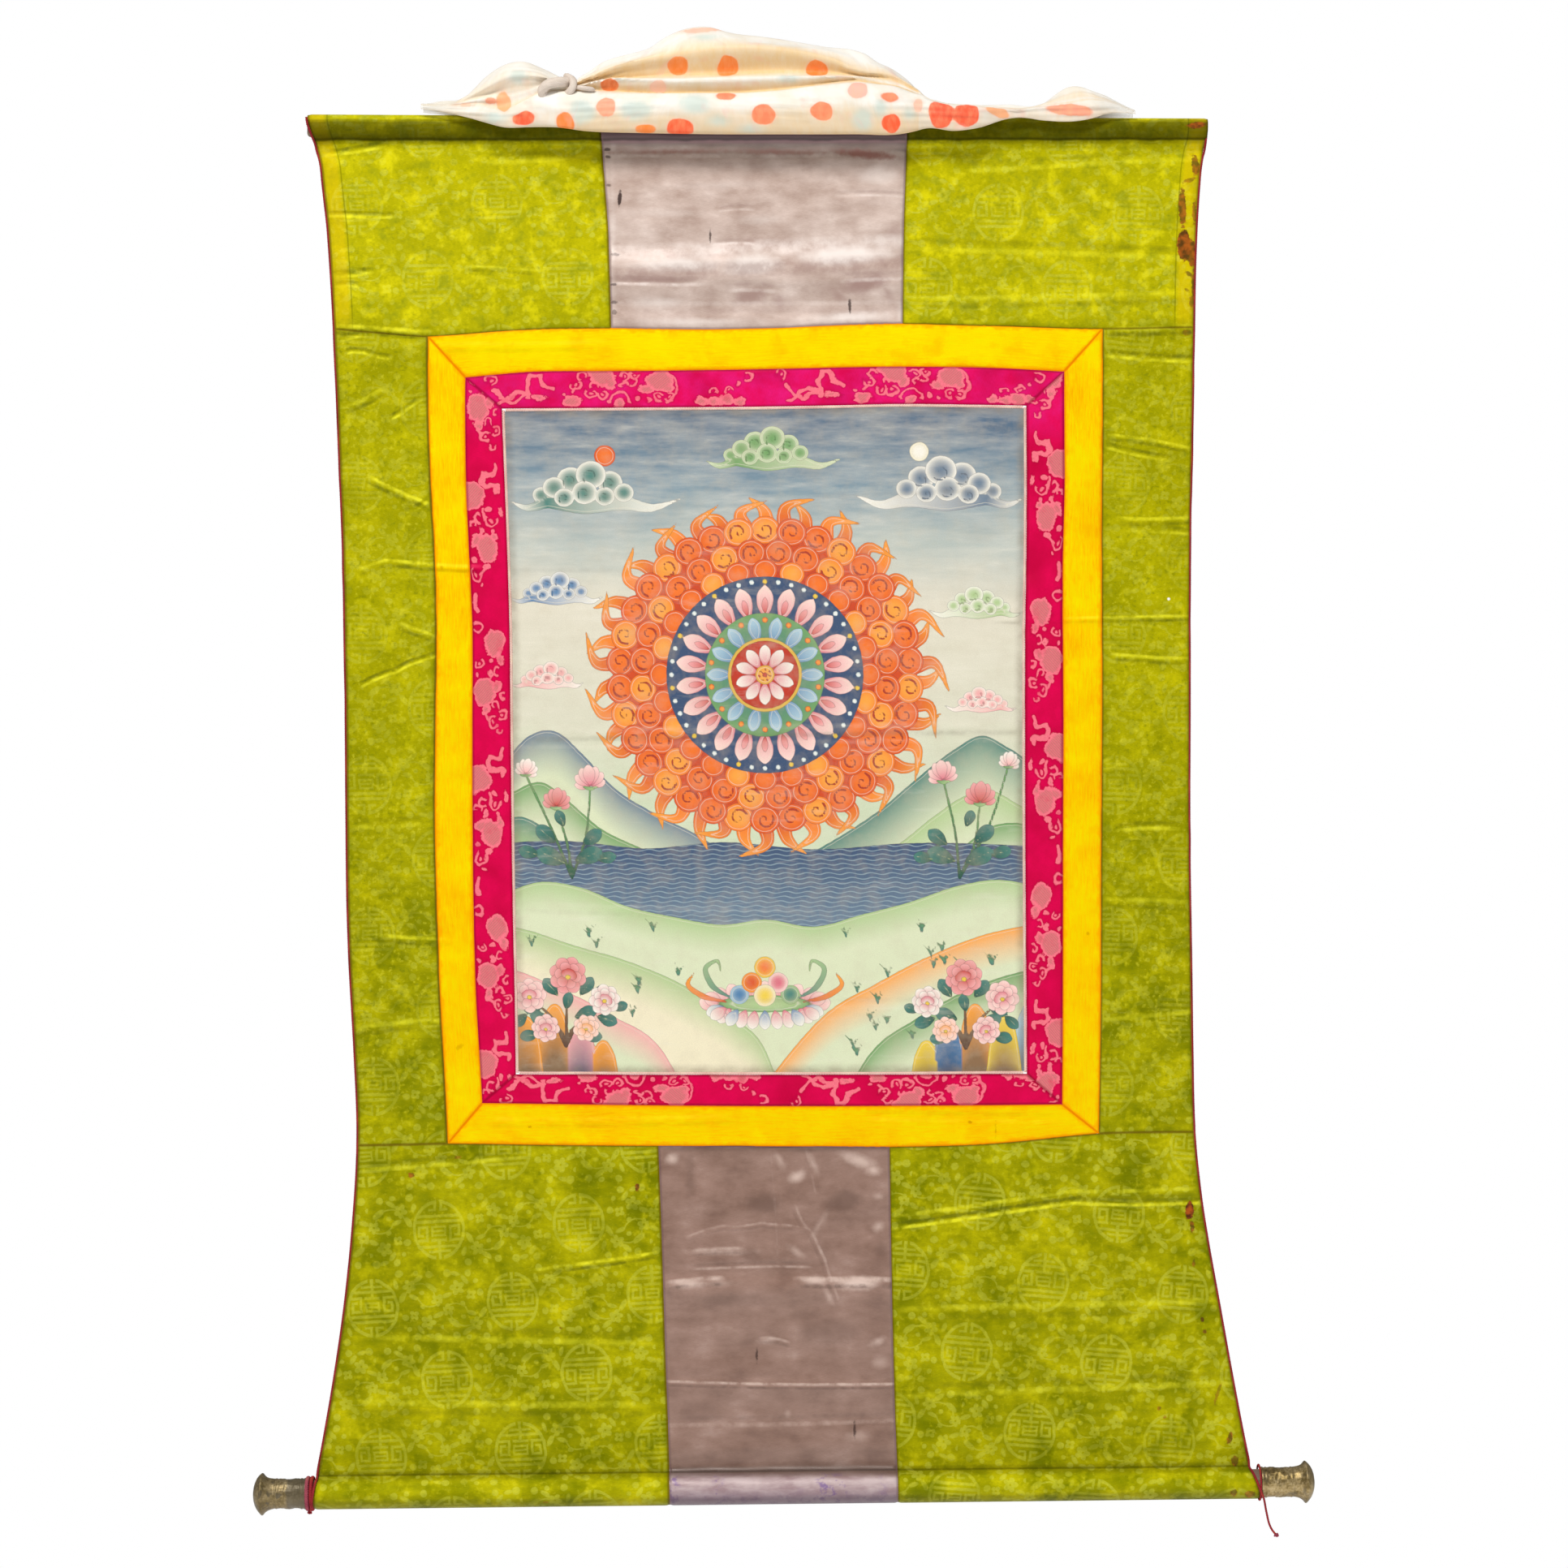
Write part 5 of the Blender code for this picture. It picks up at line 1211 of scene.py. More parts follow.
def roundel(art, x, y):
    # the big flower medallion in the middle, ring by ring from outside in
    for i in range(46):
        turn = tau * i / 46 + art.hand.uniform(-0.02, 0.02)
        long = 28 + art.hand.uniform(-4, 9)
        bent = turn + (0.15 if i % 2 else -0.11)
        points = [around(x, y, 146 + long * share, way) for share, way in ((0, turn), (0.5, turn - 0.02),
            (1, bent))]
        art.stroke(4 + i % 2, points, [8.5, 6, 0.5], "flame" if i % 3 else "orange", "amber", 1)
    art.oval(6, x, y, 150, 150, "ember", "flame")
    for count, out, radius, layer in ((34, 143, 15, 7), (28, 121, 14.5, 9), (24, 103, 12.5, 11)):
        for i in range(count):
            turn = tau * (i + 0.5 * (layer == 9)) / count
            tone = ("orange", "flame") if (i + layer // 2) % 3 else ("amber", "orange")
            place = around(x, y, out, turn)
            art.oval(layer + i % 2, *place, radius, radius * 0.92, *tone, 1, turn)
            if layer < 11:
                art.curl(layer + 2, *place, radius * 0.6, 1 if i % 2 else -1, turn + 2.6, "ember", "ember",
                    1.15, 1.15)
    for layer, wide, tall, first, second in ((13, 97, 97, "navy", "navy"), (17, 59, 61, "teal", "leaf"),
            (20, 36.5, 36.5, "yellow", "gold"), (21, 33.5, 33.5, "red", "ember"),
            (25, 2.6, 2.6, "red", "ember")):
        art.oval(layer, x, y, wide, tall, first, second)
    art.oval(24, x, y, 9.5, 9.5, "amber", "gold", 1)
    for count, layer, out, long, wide, first, second, lines, shift in ((22, 14, 54, 34.5, 8.4, "rose",
            "blush", 1, 0), (14, 18, 30, 28, 6.6, "blue", "mist", 1, 0.5),
            (10, 22, 7, 23, 5.8, "rose", "white", 1, 0)):
        for i in range(count):
            turn = tau * (i + shift) / count
            art.petal(layer + i % 2, *around(x, y, out, turn), long, wide, turn, first, second, lines)
    for i in range(22):
        turn = tau * i / 22
        art.petal(16, *around(x, y, 59, turn), 18, 3.2, turn, "red", "pink")
    for i in range(44):
        art.oval(14, *around(x, y, 92, tau * i / 44), 2.6, 2.6, *(("white", "mist"),
            ("yellow", "gold"))[i % 4 == 0])
    for i in range(14):
        art.oval(18, *around(x, y, 54, tau * (i + 0.5) / 14 + 0.224), 3, 3, "amber", "flame")
    for i in range(7):
        art.oval(25, *around(x, y, 5.6, tau * i / 7), 1.3, 1.3, "red", "ember")


def landscape(art):
    art.oval(0, -158, 46, 10.5, 10.5, "orange", "flame", 1)
    art.oval(0, 152, 42, 9.5, 9.5, "white", "cream", 1)
    for cloud in ((-178, 76, 1.25, 1, "teal", "white", 46), (180, 72, 1.3, -1, "slate", "white", 40),
            (2, 38, 1.05, 1, "leaf", "pale", 40), (-206, 176, 0.8, 1, "blue", "white", 30),
            (210, 190, 0.78, -1, "lime", "white", 34), (214, 286, 0.62, -1, "pink", "white", 30),
            (-214, 262, 0.66, 1, "pink", "white", 26)):
        cloudBank(art, 1, *cloud)
    for layer, knots, first, second, depth in ((0, ((-300, 372), (-262, 352), (-232, 322), (-206, 318),
            (-180, 340), (-150, 372), (-110, 398), (-60, 424), (-30, 446)), "slate", "pale", 46),
            (0, ((30, 446), (66, 426), (112, 396), (150, 364), (186, 336), (214, 322), (240, 334),
            (300, 380)), "teal", "pale", 60), (1, ((-300, 404), (-250, 378), (-220, 368), (-194, 386),
            (-164, 412), (-124, 432), (-90, 448)), "leaf", "pale", 40),
            (1, ((96, 446), (130, 430), (166, 402), (196, 382), (222, 376), (250, 390), (300, 420)), "lime",
            "pale", 44), (2, ((-300, 416), (-262, 406), (-240, 402), (-214, 416), (-190, 438), (-172, 452)),
            "teal", "lime", 34), (2, ((176, 452), (200, 428), (222, 412), (244, 408), (300, 428)), "leaf",
            "pale", 34), (3, ((-300, 430), (-190, 426), (-120, 433), (-40, 427), (50, 434), (140, 428),
            (300, 432)), "navy", "slate", 70), (4, ((-300, 484), (-262, 478), (-220, 466), (-180, 472),
            (-136, 490), (-92, 500), (-40, 508), (0, 503), (48, 510), (96, 498), (142, 486), (190, 470),
            (226, 464), (300, 480)), "lime", "pale", 30), (5, ((-300, 506), (-240, 512), (-190, 528),
            (-130, 546), (-80, 568), (-30, 600), (4, 640), (20, 690)), "lime", "cream", 40),
            (5, ((-16, 690), (20, 640), (60, 596), (110, 566), (160, 540), (210, 520), (300, 502)), "amber",
            "pale", 36), (6, ((-300, 548), (-250, 552), (-200, 572), (-150, 598), (-100, 634), (-70, 690)),
            "pink", "pale", 34), (6, ((72, 690), (100, 640), (150, 600), (196, 574), (246, 556),
            (300, 548)), "leaf", "pale", 40)):
        art.land(layer, knots, first, second, depth, 2 if first == "navy" else 1)
    for way in (-1, 1):
        for side, top, first, second in ((262, 584, "mist", "slate"), (236, 598, "yellow", "brown"),
                (208, 586, "amber", "brown"), (182, 604, "blue", "navy"), (160, 622, "yellow", "bark")):
            knots = [(-24, 690), (-21, 66 + top), (-16, 26 + top), (-9, 6 + top), (-2, top), (6, 4 + top),
                (13, 18 + top), (20, 60 + top), (24, 690)]
            knots = [(way * side + way * dx * 0.9, dy) for dx, dy in knots]
            art.land(7 + (side // 10) % 2, sorted(knots), first if way > 0 else ("pink",
                "amber")[side % 4 == 0], second, 52, 1)
    for i in range(60):
        x, y = art.hand.uniform(-240, 240), art.hand.uniform(512, 640)
        if 150 < abs(x) and y > 560 or abs(x) < 84 and y > 528:
            continue
        for blade in (-0.7, -0.25, 0.2, 0.6):
            long = art.hand.uniform(8, 14)
            art.stroke(9, [(x, y), (x + long * 0.3 * sin(blade), y - long * 0.5),
                (x + long * sin(blade), y - long)], [0.9, 0.8, 0.3], "teal", "leaf")


def waterPlants(art):
    for way, base, heads in ((-1, 190, ((172, 372, 0.95, 0.12), (206, 392, 0.85, -0.1),
            (236, 360, 0.72, -0.2))), (1, 192, ((176, 366, 0.9, -0.15), (212, 388, 0.95, 0.05),
            (240, 352, 0.66, 0.2)))):
        for x, y, size, lean in heads:
            art.stroke(5, [(way * base, 462), (way * (base + x) / 2 + 4, (462 + y) / 2 + 6), (way * x, y)],
                [1.6, 1.3, 1.1], "dark", "leaf")
        for x, y, long, wide, turn in ((188, 446, 30, 8.5, -1.2), (196, 448, 32, 9, 1.15),
                (180, 430, 24, 7, -0.9), (206, 428, 26, 7.5, 0.85), (222, 440, 22, 6.5, 1.3),
                (166, 444, 20, 6, -1.4), (198, 412, 18, 5.4, 0.4)):
            leafy(art, 6, way * x, y, long, wide, turn * way)
        for i, (x, y, size, lean) in enumerate(heads):
            lotus(art, 8, way * x, y, size, lean * way, ("rose", "red", "pink")[i],
                ("blush", "pink", "white")[i])


def bush(art, way, x, y):
    for dx, dy in ((-34, -30), (2, -48), (36, -26), (20, -6), (-20, -4)):
        art.stroke(9, [(x, y + 16), (x + way * dx * 0.4, y + dy * 0.4), (x + way * dx, y + dy)],
            [1.8, 1.4, 1.1], "bark", "brown")
    for dx, dy, long, wide, turn in ((-14, -8, 22, 6.5, -1.3), (8, -12, 24, 7, 1.2),
            (-22, -24, 20, 6, -1.8), (-8, -34, 22, 6.4, -0.7), (14, -34, 22, 6.4, 0.6),
            (30, -14, 22, 6.4, 1.9), (26, -32, 18, 5.4, 0.9), (-38, -16, 18, 5.6, -2.3),
            (-26, 4, 20, 6, -1.7), (16, 6, 20, 6, 1.6), (0, -20, 18, 5.4, 0.2), (46, -20, 16, 5, 1.2)):
        leafy(art, 10, x + way * dx, y + dy, long, wide, turn * way)
    for dx, dy, size, inner, outer in ((-36, -34, 1.15, "rose", "blush"), (2, -54, 1.25, "red", "pink"),
            (38, -30, 1.05, "rose", "white"), (20, -2, 0.9, "amber", "blush"),
            (-20, -2, 0.95, "rose", "blush")):
        peony(art, 12, x + way * dx, y + dy, size, 0.3 * way + dx * 0.01, inner, outer)


def offering(art, x, y):
    # a heap of round fruit on a lotus seat
    for i in range(11):
        turn = (i - 5) * 0.3
        art.petal(7 + i % 2, x + 44 * sin(turn), y + 16 - 5 * cos(turn), 22, 7, turn * 0.85, "rose",
            "blush", 1)
    art.oval(9, x, y + 12, 46, 8.5, "lime", "leaf", 1)
    for i in range(13):
        turn = (i - 6) * 0.24
        art.petal(10 + i % 2, x + 40 * sin(turn), y + 14 + 4 * cos(turn), 20, 6, pi - turn * 0.8,
            "blue" if i % 3 == 0 else "rose", "white", 1)
    for i, (dx, dy, radius, first, second) in enumerate(((-25, 3, 9.5, "blue", "mist"),
            (25, 3, 9.5, "teal", "lime"), (-13, -9, 10, "flame", "amber"), (13, -9, 10, "rose", "blush"),
            (0, 4, 11, "yellow", "cream"), (0, -24, 10.5, "orange", "yellow"))):
        art.oval(12 + i // 2, x + dx, y + dy, radius, radius, first, second, 1)
    for way in (-1, 1):
        art.stroke(12, [(x + way * 34, y + 6), (x + way * 52, y - 6), (x + way * 58, y - 24),
            (x + way * 46, y - 30), (x + way * 44, y - 20)], [1, 3, 2.4, 1.6, 0.8], "teal", "lime", 0)
        art.stroke(13, [(x + way * 38, y + 10), (x + way * 62, y + 4), (x + way * 76, y - 8),
            (x + way * 70, y - 18)], [1, 3, 2.2, 0.8], "flame", "amber", 0)


def paintedCloth(names):
    mat = Finish("painted cotton")
    cloth = mat.weave(1000, 1000, 1)
    inMm = mat.inMm()
    x, _, z = mat.split(inMm)
    u, v, _ = mat.split(cloth)
    slow = mat.noise(inMm, 0.018, 4, 0.6)
    brushed = mat.noise(inMm, 0.05, 4, 0.62, stretch=(0.3, 1, 1.6))
    hand = (mat.noise(cloth, 0.16, 2) - 0.5) * 1.1
    down = -z - pictureTop + (slow - 0.5) * 50
    tone = mat.ramp(down / 651, (0.02, (0.048, 0.092, 0.155)), (0.12, (0.135, 0.215, 0.27)),
        (0.21, (0.37, 0.42, 0.38)), (0.3, (0.64, 0.59, 0.45)), (0.47, (0.61, 0.59, 0.43)),
        (0.6, (0.5, 0.59, 0.37)), (0.8, (0.56, 0.64, 0.4)), (0.98, (0.6, 0.62, 0.38)))
    tone = mat.mixed(brushed.rising(0.35, 0.7) * 0.3, tone, (0.8, 0.74, 0.6))
    ripple = (u * 0.3 + (v * 0.11).sine() * 2).sine() * 0.9
    rows = ((v + ripple) / 4.6).math("FRACT")
    waves = (abs(rows - 0.5) - 0.1).within(0.1)
    for name in names:
        far = mat.number(name + " far") + hand
        tint, kind = mat.number(name + " tint", 0), mat.number(name + " tint", 3)
        tint = mat.mixed((abs(far + 2.4) - 0.28).within(0.5) * kind.math("PINGPONG", 1) * 0.5, tint,
            (0.72, 0.66, 0.5))
        tint = mat.mixed(waves * kind.rising(1.4, 2, 0, 0.55), tint, (0.28, 0.4, 0.44))
        ink = mat.mixed(0.8, tint, (0.02, 0.012, 0.014))
        tint = mat.mixed((abs(far) - 0.36).within(0.6) * 0.85, tint, ink)
        tone = mat.mixed(far.within(0.6), tone, tint)
    aged = mat.noise(inMm, 0.05, 4, 0.65)
    tone = mat.over(tone,
        (aged.rising(0.45, 0.75) * 0.24, (0.46, 0.38, 0.25)),
        (brushed.rising(0.58, 0.8) * 0.2, (0.78, 0.74, 0.62)))
    grain = mat.noise(cloth, 0.9, 3, 0.7)
    tone = mat.mixed(grain.rising(0.35, 0.7) * 0.16, tone, (0.1, 0.09, 0.07))
    tone = mat.add("ShaderNodeGamma", {}, (tone, 0.8))
    # painted highlight and painted shade along each crease
    tone = paintedCreaseLight(mat, x, z, tone, "picture", (0.8, 0.76, 0.62), (0.16, 0.13, 0.09), 0.3)
    edge = mat.number("seam").gentle(0, 9, 0.45, 0) * aged.rising(0.3, 0.6, 0.4, 1)
    tone = mat.mixed(edge, tone, (0.2, 0.15, 0.1))
    mat.set(Base_Color=tone, Roughness=aged.rising(0.3, 0.7, 0.72, 0.86), Specular_IOR_Level=0.12)
    mat.bump(mat.wave(cloth, "X", 0.36, 0.8) * 0.35 + grain * 0.65, 0.4, 0.0003)
    return mat.material


def paintPicture(lining):
    # a fine front, a coarse back four times as wide in its cells, and a rim between them
    made = panel("picture", fit=4)
    grid = made["grid"]
    rows, columns = grid.shape[:2]
    back = grid[::4, ::4] - faceNormals(grid)[::4, ::4] * sewing["thick"]
    down, over = back.shape[:2]
    faces = gridFaces(rows, columns)
    faces += [tuple(reversed(face)) for face in gridFaces(down, over, rows * columns)]
    marks = len(faces)
    border = ([((0, c), (0, c + 1)) for c in range(over - 1)] + [((r, over - 1),
        (r + 1, over - 1)) for r in range(down - 1)] + [((down - 1, c + 1),
        (down - 1, c)) for c in reversed(range(over - 1))] + [((r + 1, 0),
        (r, 0)) for r in reversed(range(down - 1))])
    for (r0, c0), (r1, c1) in border:
        fine = [(4 * r0 + k * (r1 - r0)) * columns + 4 * c0 + k * (c1 - c0) for k in range(5)]
        near, far = (rows * columns + r * over + c for r, c in ((r0, c0), (r1, c1)))
        faces += [(fine[0], fine[1], near), (fine[1], fine[2], near), (fine[2], far, near),
            (fine[2], fine[3], far), (fine[3], fine[4], far)]
    both = np.concatenate((grid.reshape(-1, 3), back.reshape(-1, 3)))
    piece = meshFrom("picture_cloth", both, faces)
    shape = bmesh.new()
    shape.from_mesh(piece.data)
    bmesh.ops.recalc_face_normals(shape, faces=shape.faces)
    shape.to_mesh(piece.data)
    shape.free()
    writeUv(piece, both[:, (0, 2)])
    writeNumbers(piece, "seam", np.concatenate((made["gap"].ravel(), made["gap"][::4, ::4].ravel())) * 1000)
    art = Painting(both[:, 0] * 1000 + 2, -both[:, 2] * 1000 - pictureTop, 26)
    landscape(art)
    waterPlants(art)
    bush(art, 1, -196, 612)
    bush(art, -1, 198, 614)
    offering(art, 0, 574)
    roundel(art, 0, 262)
    names = ["paint %d" % layer for layer in range(len(art.far))]
    for layer, name in enumerate(names):
        writeNumbers(piece, name + " far", art.far[layer])
        writeColours(piece, name + " tint", art.tint[layer])
    piece.data.materials.append(paintedCloth(names))
    piece.data.materials.append(lining)
    kinds = np.zeros(len(piece.data.polygons), dtype=np.int32)
    kinds[(rows - 1) * (columns - 1):marks] = 1
    piece.data.polygons.foreach_set("material_index", kinds)
    fitted(piece, "picture")
    print("stage: picture painted")


def centreLine(node):
    # middle of each ring of a CAD cord, from the end that is highest and furthest left
    shape = mergedCopy(node)
    first = max(shape.verts, key=lambda vert: vert.co.z * 3 - vert.co.x)
    for start in first.link_faces:
        cap = grown(start, radians(24), 24)
        if len(cap) < 24:
            break
    ring = {vert for face in cap for vert in face.verts}
    seen = set(ring)
    centres = []
    while ring:
        centres.append(sum((vert.co for vert in ring), Vector()) / len(ring))
        ring = {other for vert in ring for edge in vert.link_edges for other in edge.verts} - seen
        seen |= ring
    shape.free()
    return np.array(centres)


def twisted(name, path, radius, plies, pitch, step, mat, depth=0.24, taper=False):
    # a laid cord: round strands that turn together along a smooth path
    path = np.asarray(path, float)
    long = lengths(path)
    count = max(8, int(round(long[-1] / step)))
    line = through(long, path, np.linspace(0, long[-1], count + 1))
    ahead = np.gradient(line, axis=0)
    ahead /= np.linalg.norm(ahead, axis=1, keepdims=True)
    side = np.cross(ahead[0], (0.31, 0.9, 0.27))
    side /= np.linalg.norm(side)
    sides = plies * 4
    turn = np.arange(sides) * tau / sides
    points = []
    for i in range(count + 1):
        side = side - ahead[i] * np.dot(side, ahead[i])
        side /= np.linalg.norm(side)
        up = np.cross(ahead[i], side)
        spin = tau * long[-1] * i / count / pitch
        lobes = radius * (1 - depth * (0.5 - 0.5 * np.cos(plies * turn)))
        if taper:
            lobes = lobes * min(1, 0.35 + min(i, count - i) / 3)
        points.append(line[i] + np.outer(lobes * np.cos(turn + spin),
            side) + np.outer(lobes * np.sin(turn + spin), up))
    faces = [(i * sides + j, i * sides + (j + 1) % sides, (i + 1) * sides + (j + 1) % sides,
        (i + 1) * sides + j) for i in range(count) for j in range(sides)]
    faces += [tuple(range(sides - 1, -1, -1)), tuple(range(count * sides, (count + 1) * sides))]
    piece = meshFrom(name, np.concatenate(points), faces)
    along = np.repeat(np.linspace(0, long[-1], count + 1), sides)
    writeUv(piece, np.stack((along, np.tile(turn, count + 1)), axis=-1))
    piece.data.materials.append(mat)
    useOnly(piece)
    bpy.ops.object.mode_set(mode="EDIT")
    faceOutward()
    bpy.ops.object.shade_smooth_by_angle(angle=radians(60))
    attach(piece, "root")
    return piece


def onRing(centre, ahead, radius, reach, count):
    # points round an axis, for a cord wound about something
    ahead = Vector(ahead).normalized()
    over = Vector((0, 0, 1)).cross(ahead).normalized()
    up = ahead.cross(over)
    turns = [-reach + 2 * reach * i / count for i in range(count + 1)]
    return [Vector(centre) + radius * (cos(turn) * up + sin(turn) * over) for turn in turns]


def knotAt(name, place, size, mat, seed):
    # a small tight knot: two rounds of cord pulled together
    path = []
    for i in range(41):
        turn = i / 40 * tau * 2
        out = size * (0.42 + 0.16 * cos(1.5 * turn + seed))
        path.append(Vector(place) + Vector((out * cos(turn), 0.75 * out * sin(turn),
            size * 0.3 * sin(1.5 * turn + seed))))
    return twisted(name, path, size * 0.3, 3, size * 1.8, size * 0.16, mat, taper=True)


laid = {"edgeRadius": 0.0013, "pipingRadius": 0.0015, "twist": 0.0066, "step": 0.0014}


def besideEdge(line, columns, out):
    # moves a cord's hanging part close against the cloth's outer edge
    edge = np.concatenate(columns)
    edge = edge[(edge[:, 2] < -0.031) & (edge[:, 2] > -1.325)]
    edge = edge[np.argsort(-edge[:, 2])]
    upper = line[line[:, 2] > -0.034]
    rest = line[line[:, 2] <= -0.034]
    hanging = np.count_nonzero(rest[:, 2] > -1.32)
    ends = rest[:hanging]
    z = np.arange(-0.036, -1.318, -0.006)
    near = np.stack([np.interp(-z, -edge[:, 2], edge[:, k]) for k in (0, 1)] + [z], axis=-1)
    near += (out, 0.0006, 0)
    along = np.concatenate((upper[-1:], ends, rest[hanging:hanging + 1]))
    cad = np.stack([np.interp(-z, -along[:, 2], along[:, k]) for k in (0, 1, 2)], axis=-1)
    share = (eased((-0.031 - z) / 0.01) * eased((z + 1.32) / 0.02))[:, None]
    return np.concatenate((upper, cad * (1 - share) + near * share, rest[hanging:]))


def sewCords(edges, red, purple, pale):
    for side in ("left", "right"):
        line = besideEdge(centreLine("edge_cord_" + side), edges[side],
            -0.0007 if side == "left" else 0.0007)
        piece = twisted("edge_cord_" + side + "_laid", line, laid["edgeRadius"], 3, laid["twist"],
            laid["step"], red)
        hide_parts("edge_cord_" + side)
    for side in ("top", "foot", "left", "right"):
        line = centreLine("piping_" + side)
        piece = twisted("piping_" + side + "_laid", line, laid["pipingRadius"], 3, 0.0075, 0.0012, pale)
        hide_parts("piping_" + side)
    tail = centreLine("cord_tail")
    piece = twisted("cord_tail_laid", tail, 0.0012, 3, 0.006, 0.0007, red, taper=True)
    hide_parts("cord_tail")
    knot = knotAt("cord_tail_knot", tail[-1], 0.0034, purple, 0.4)


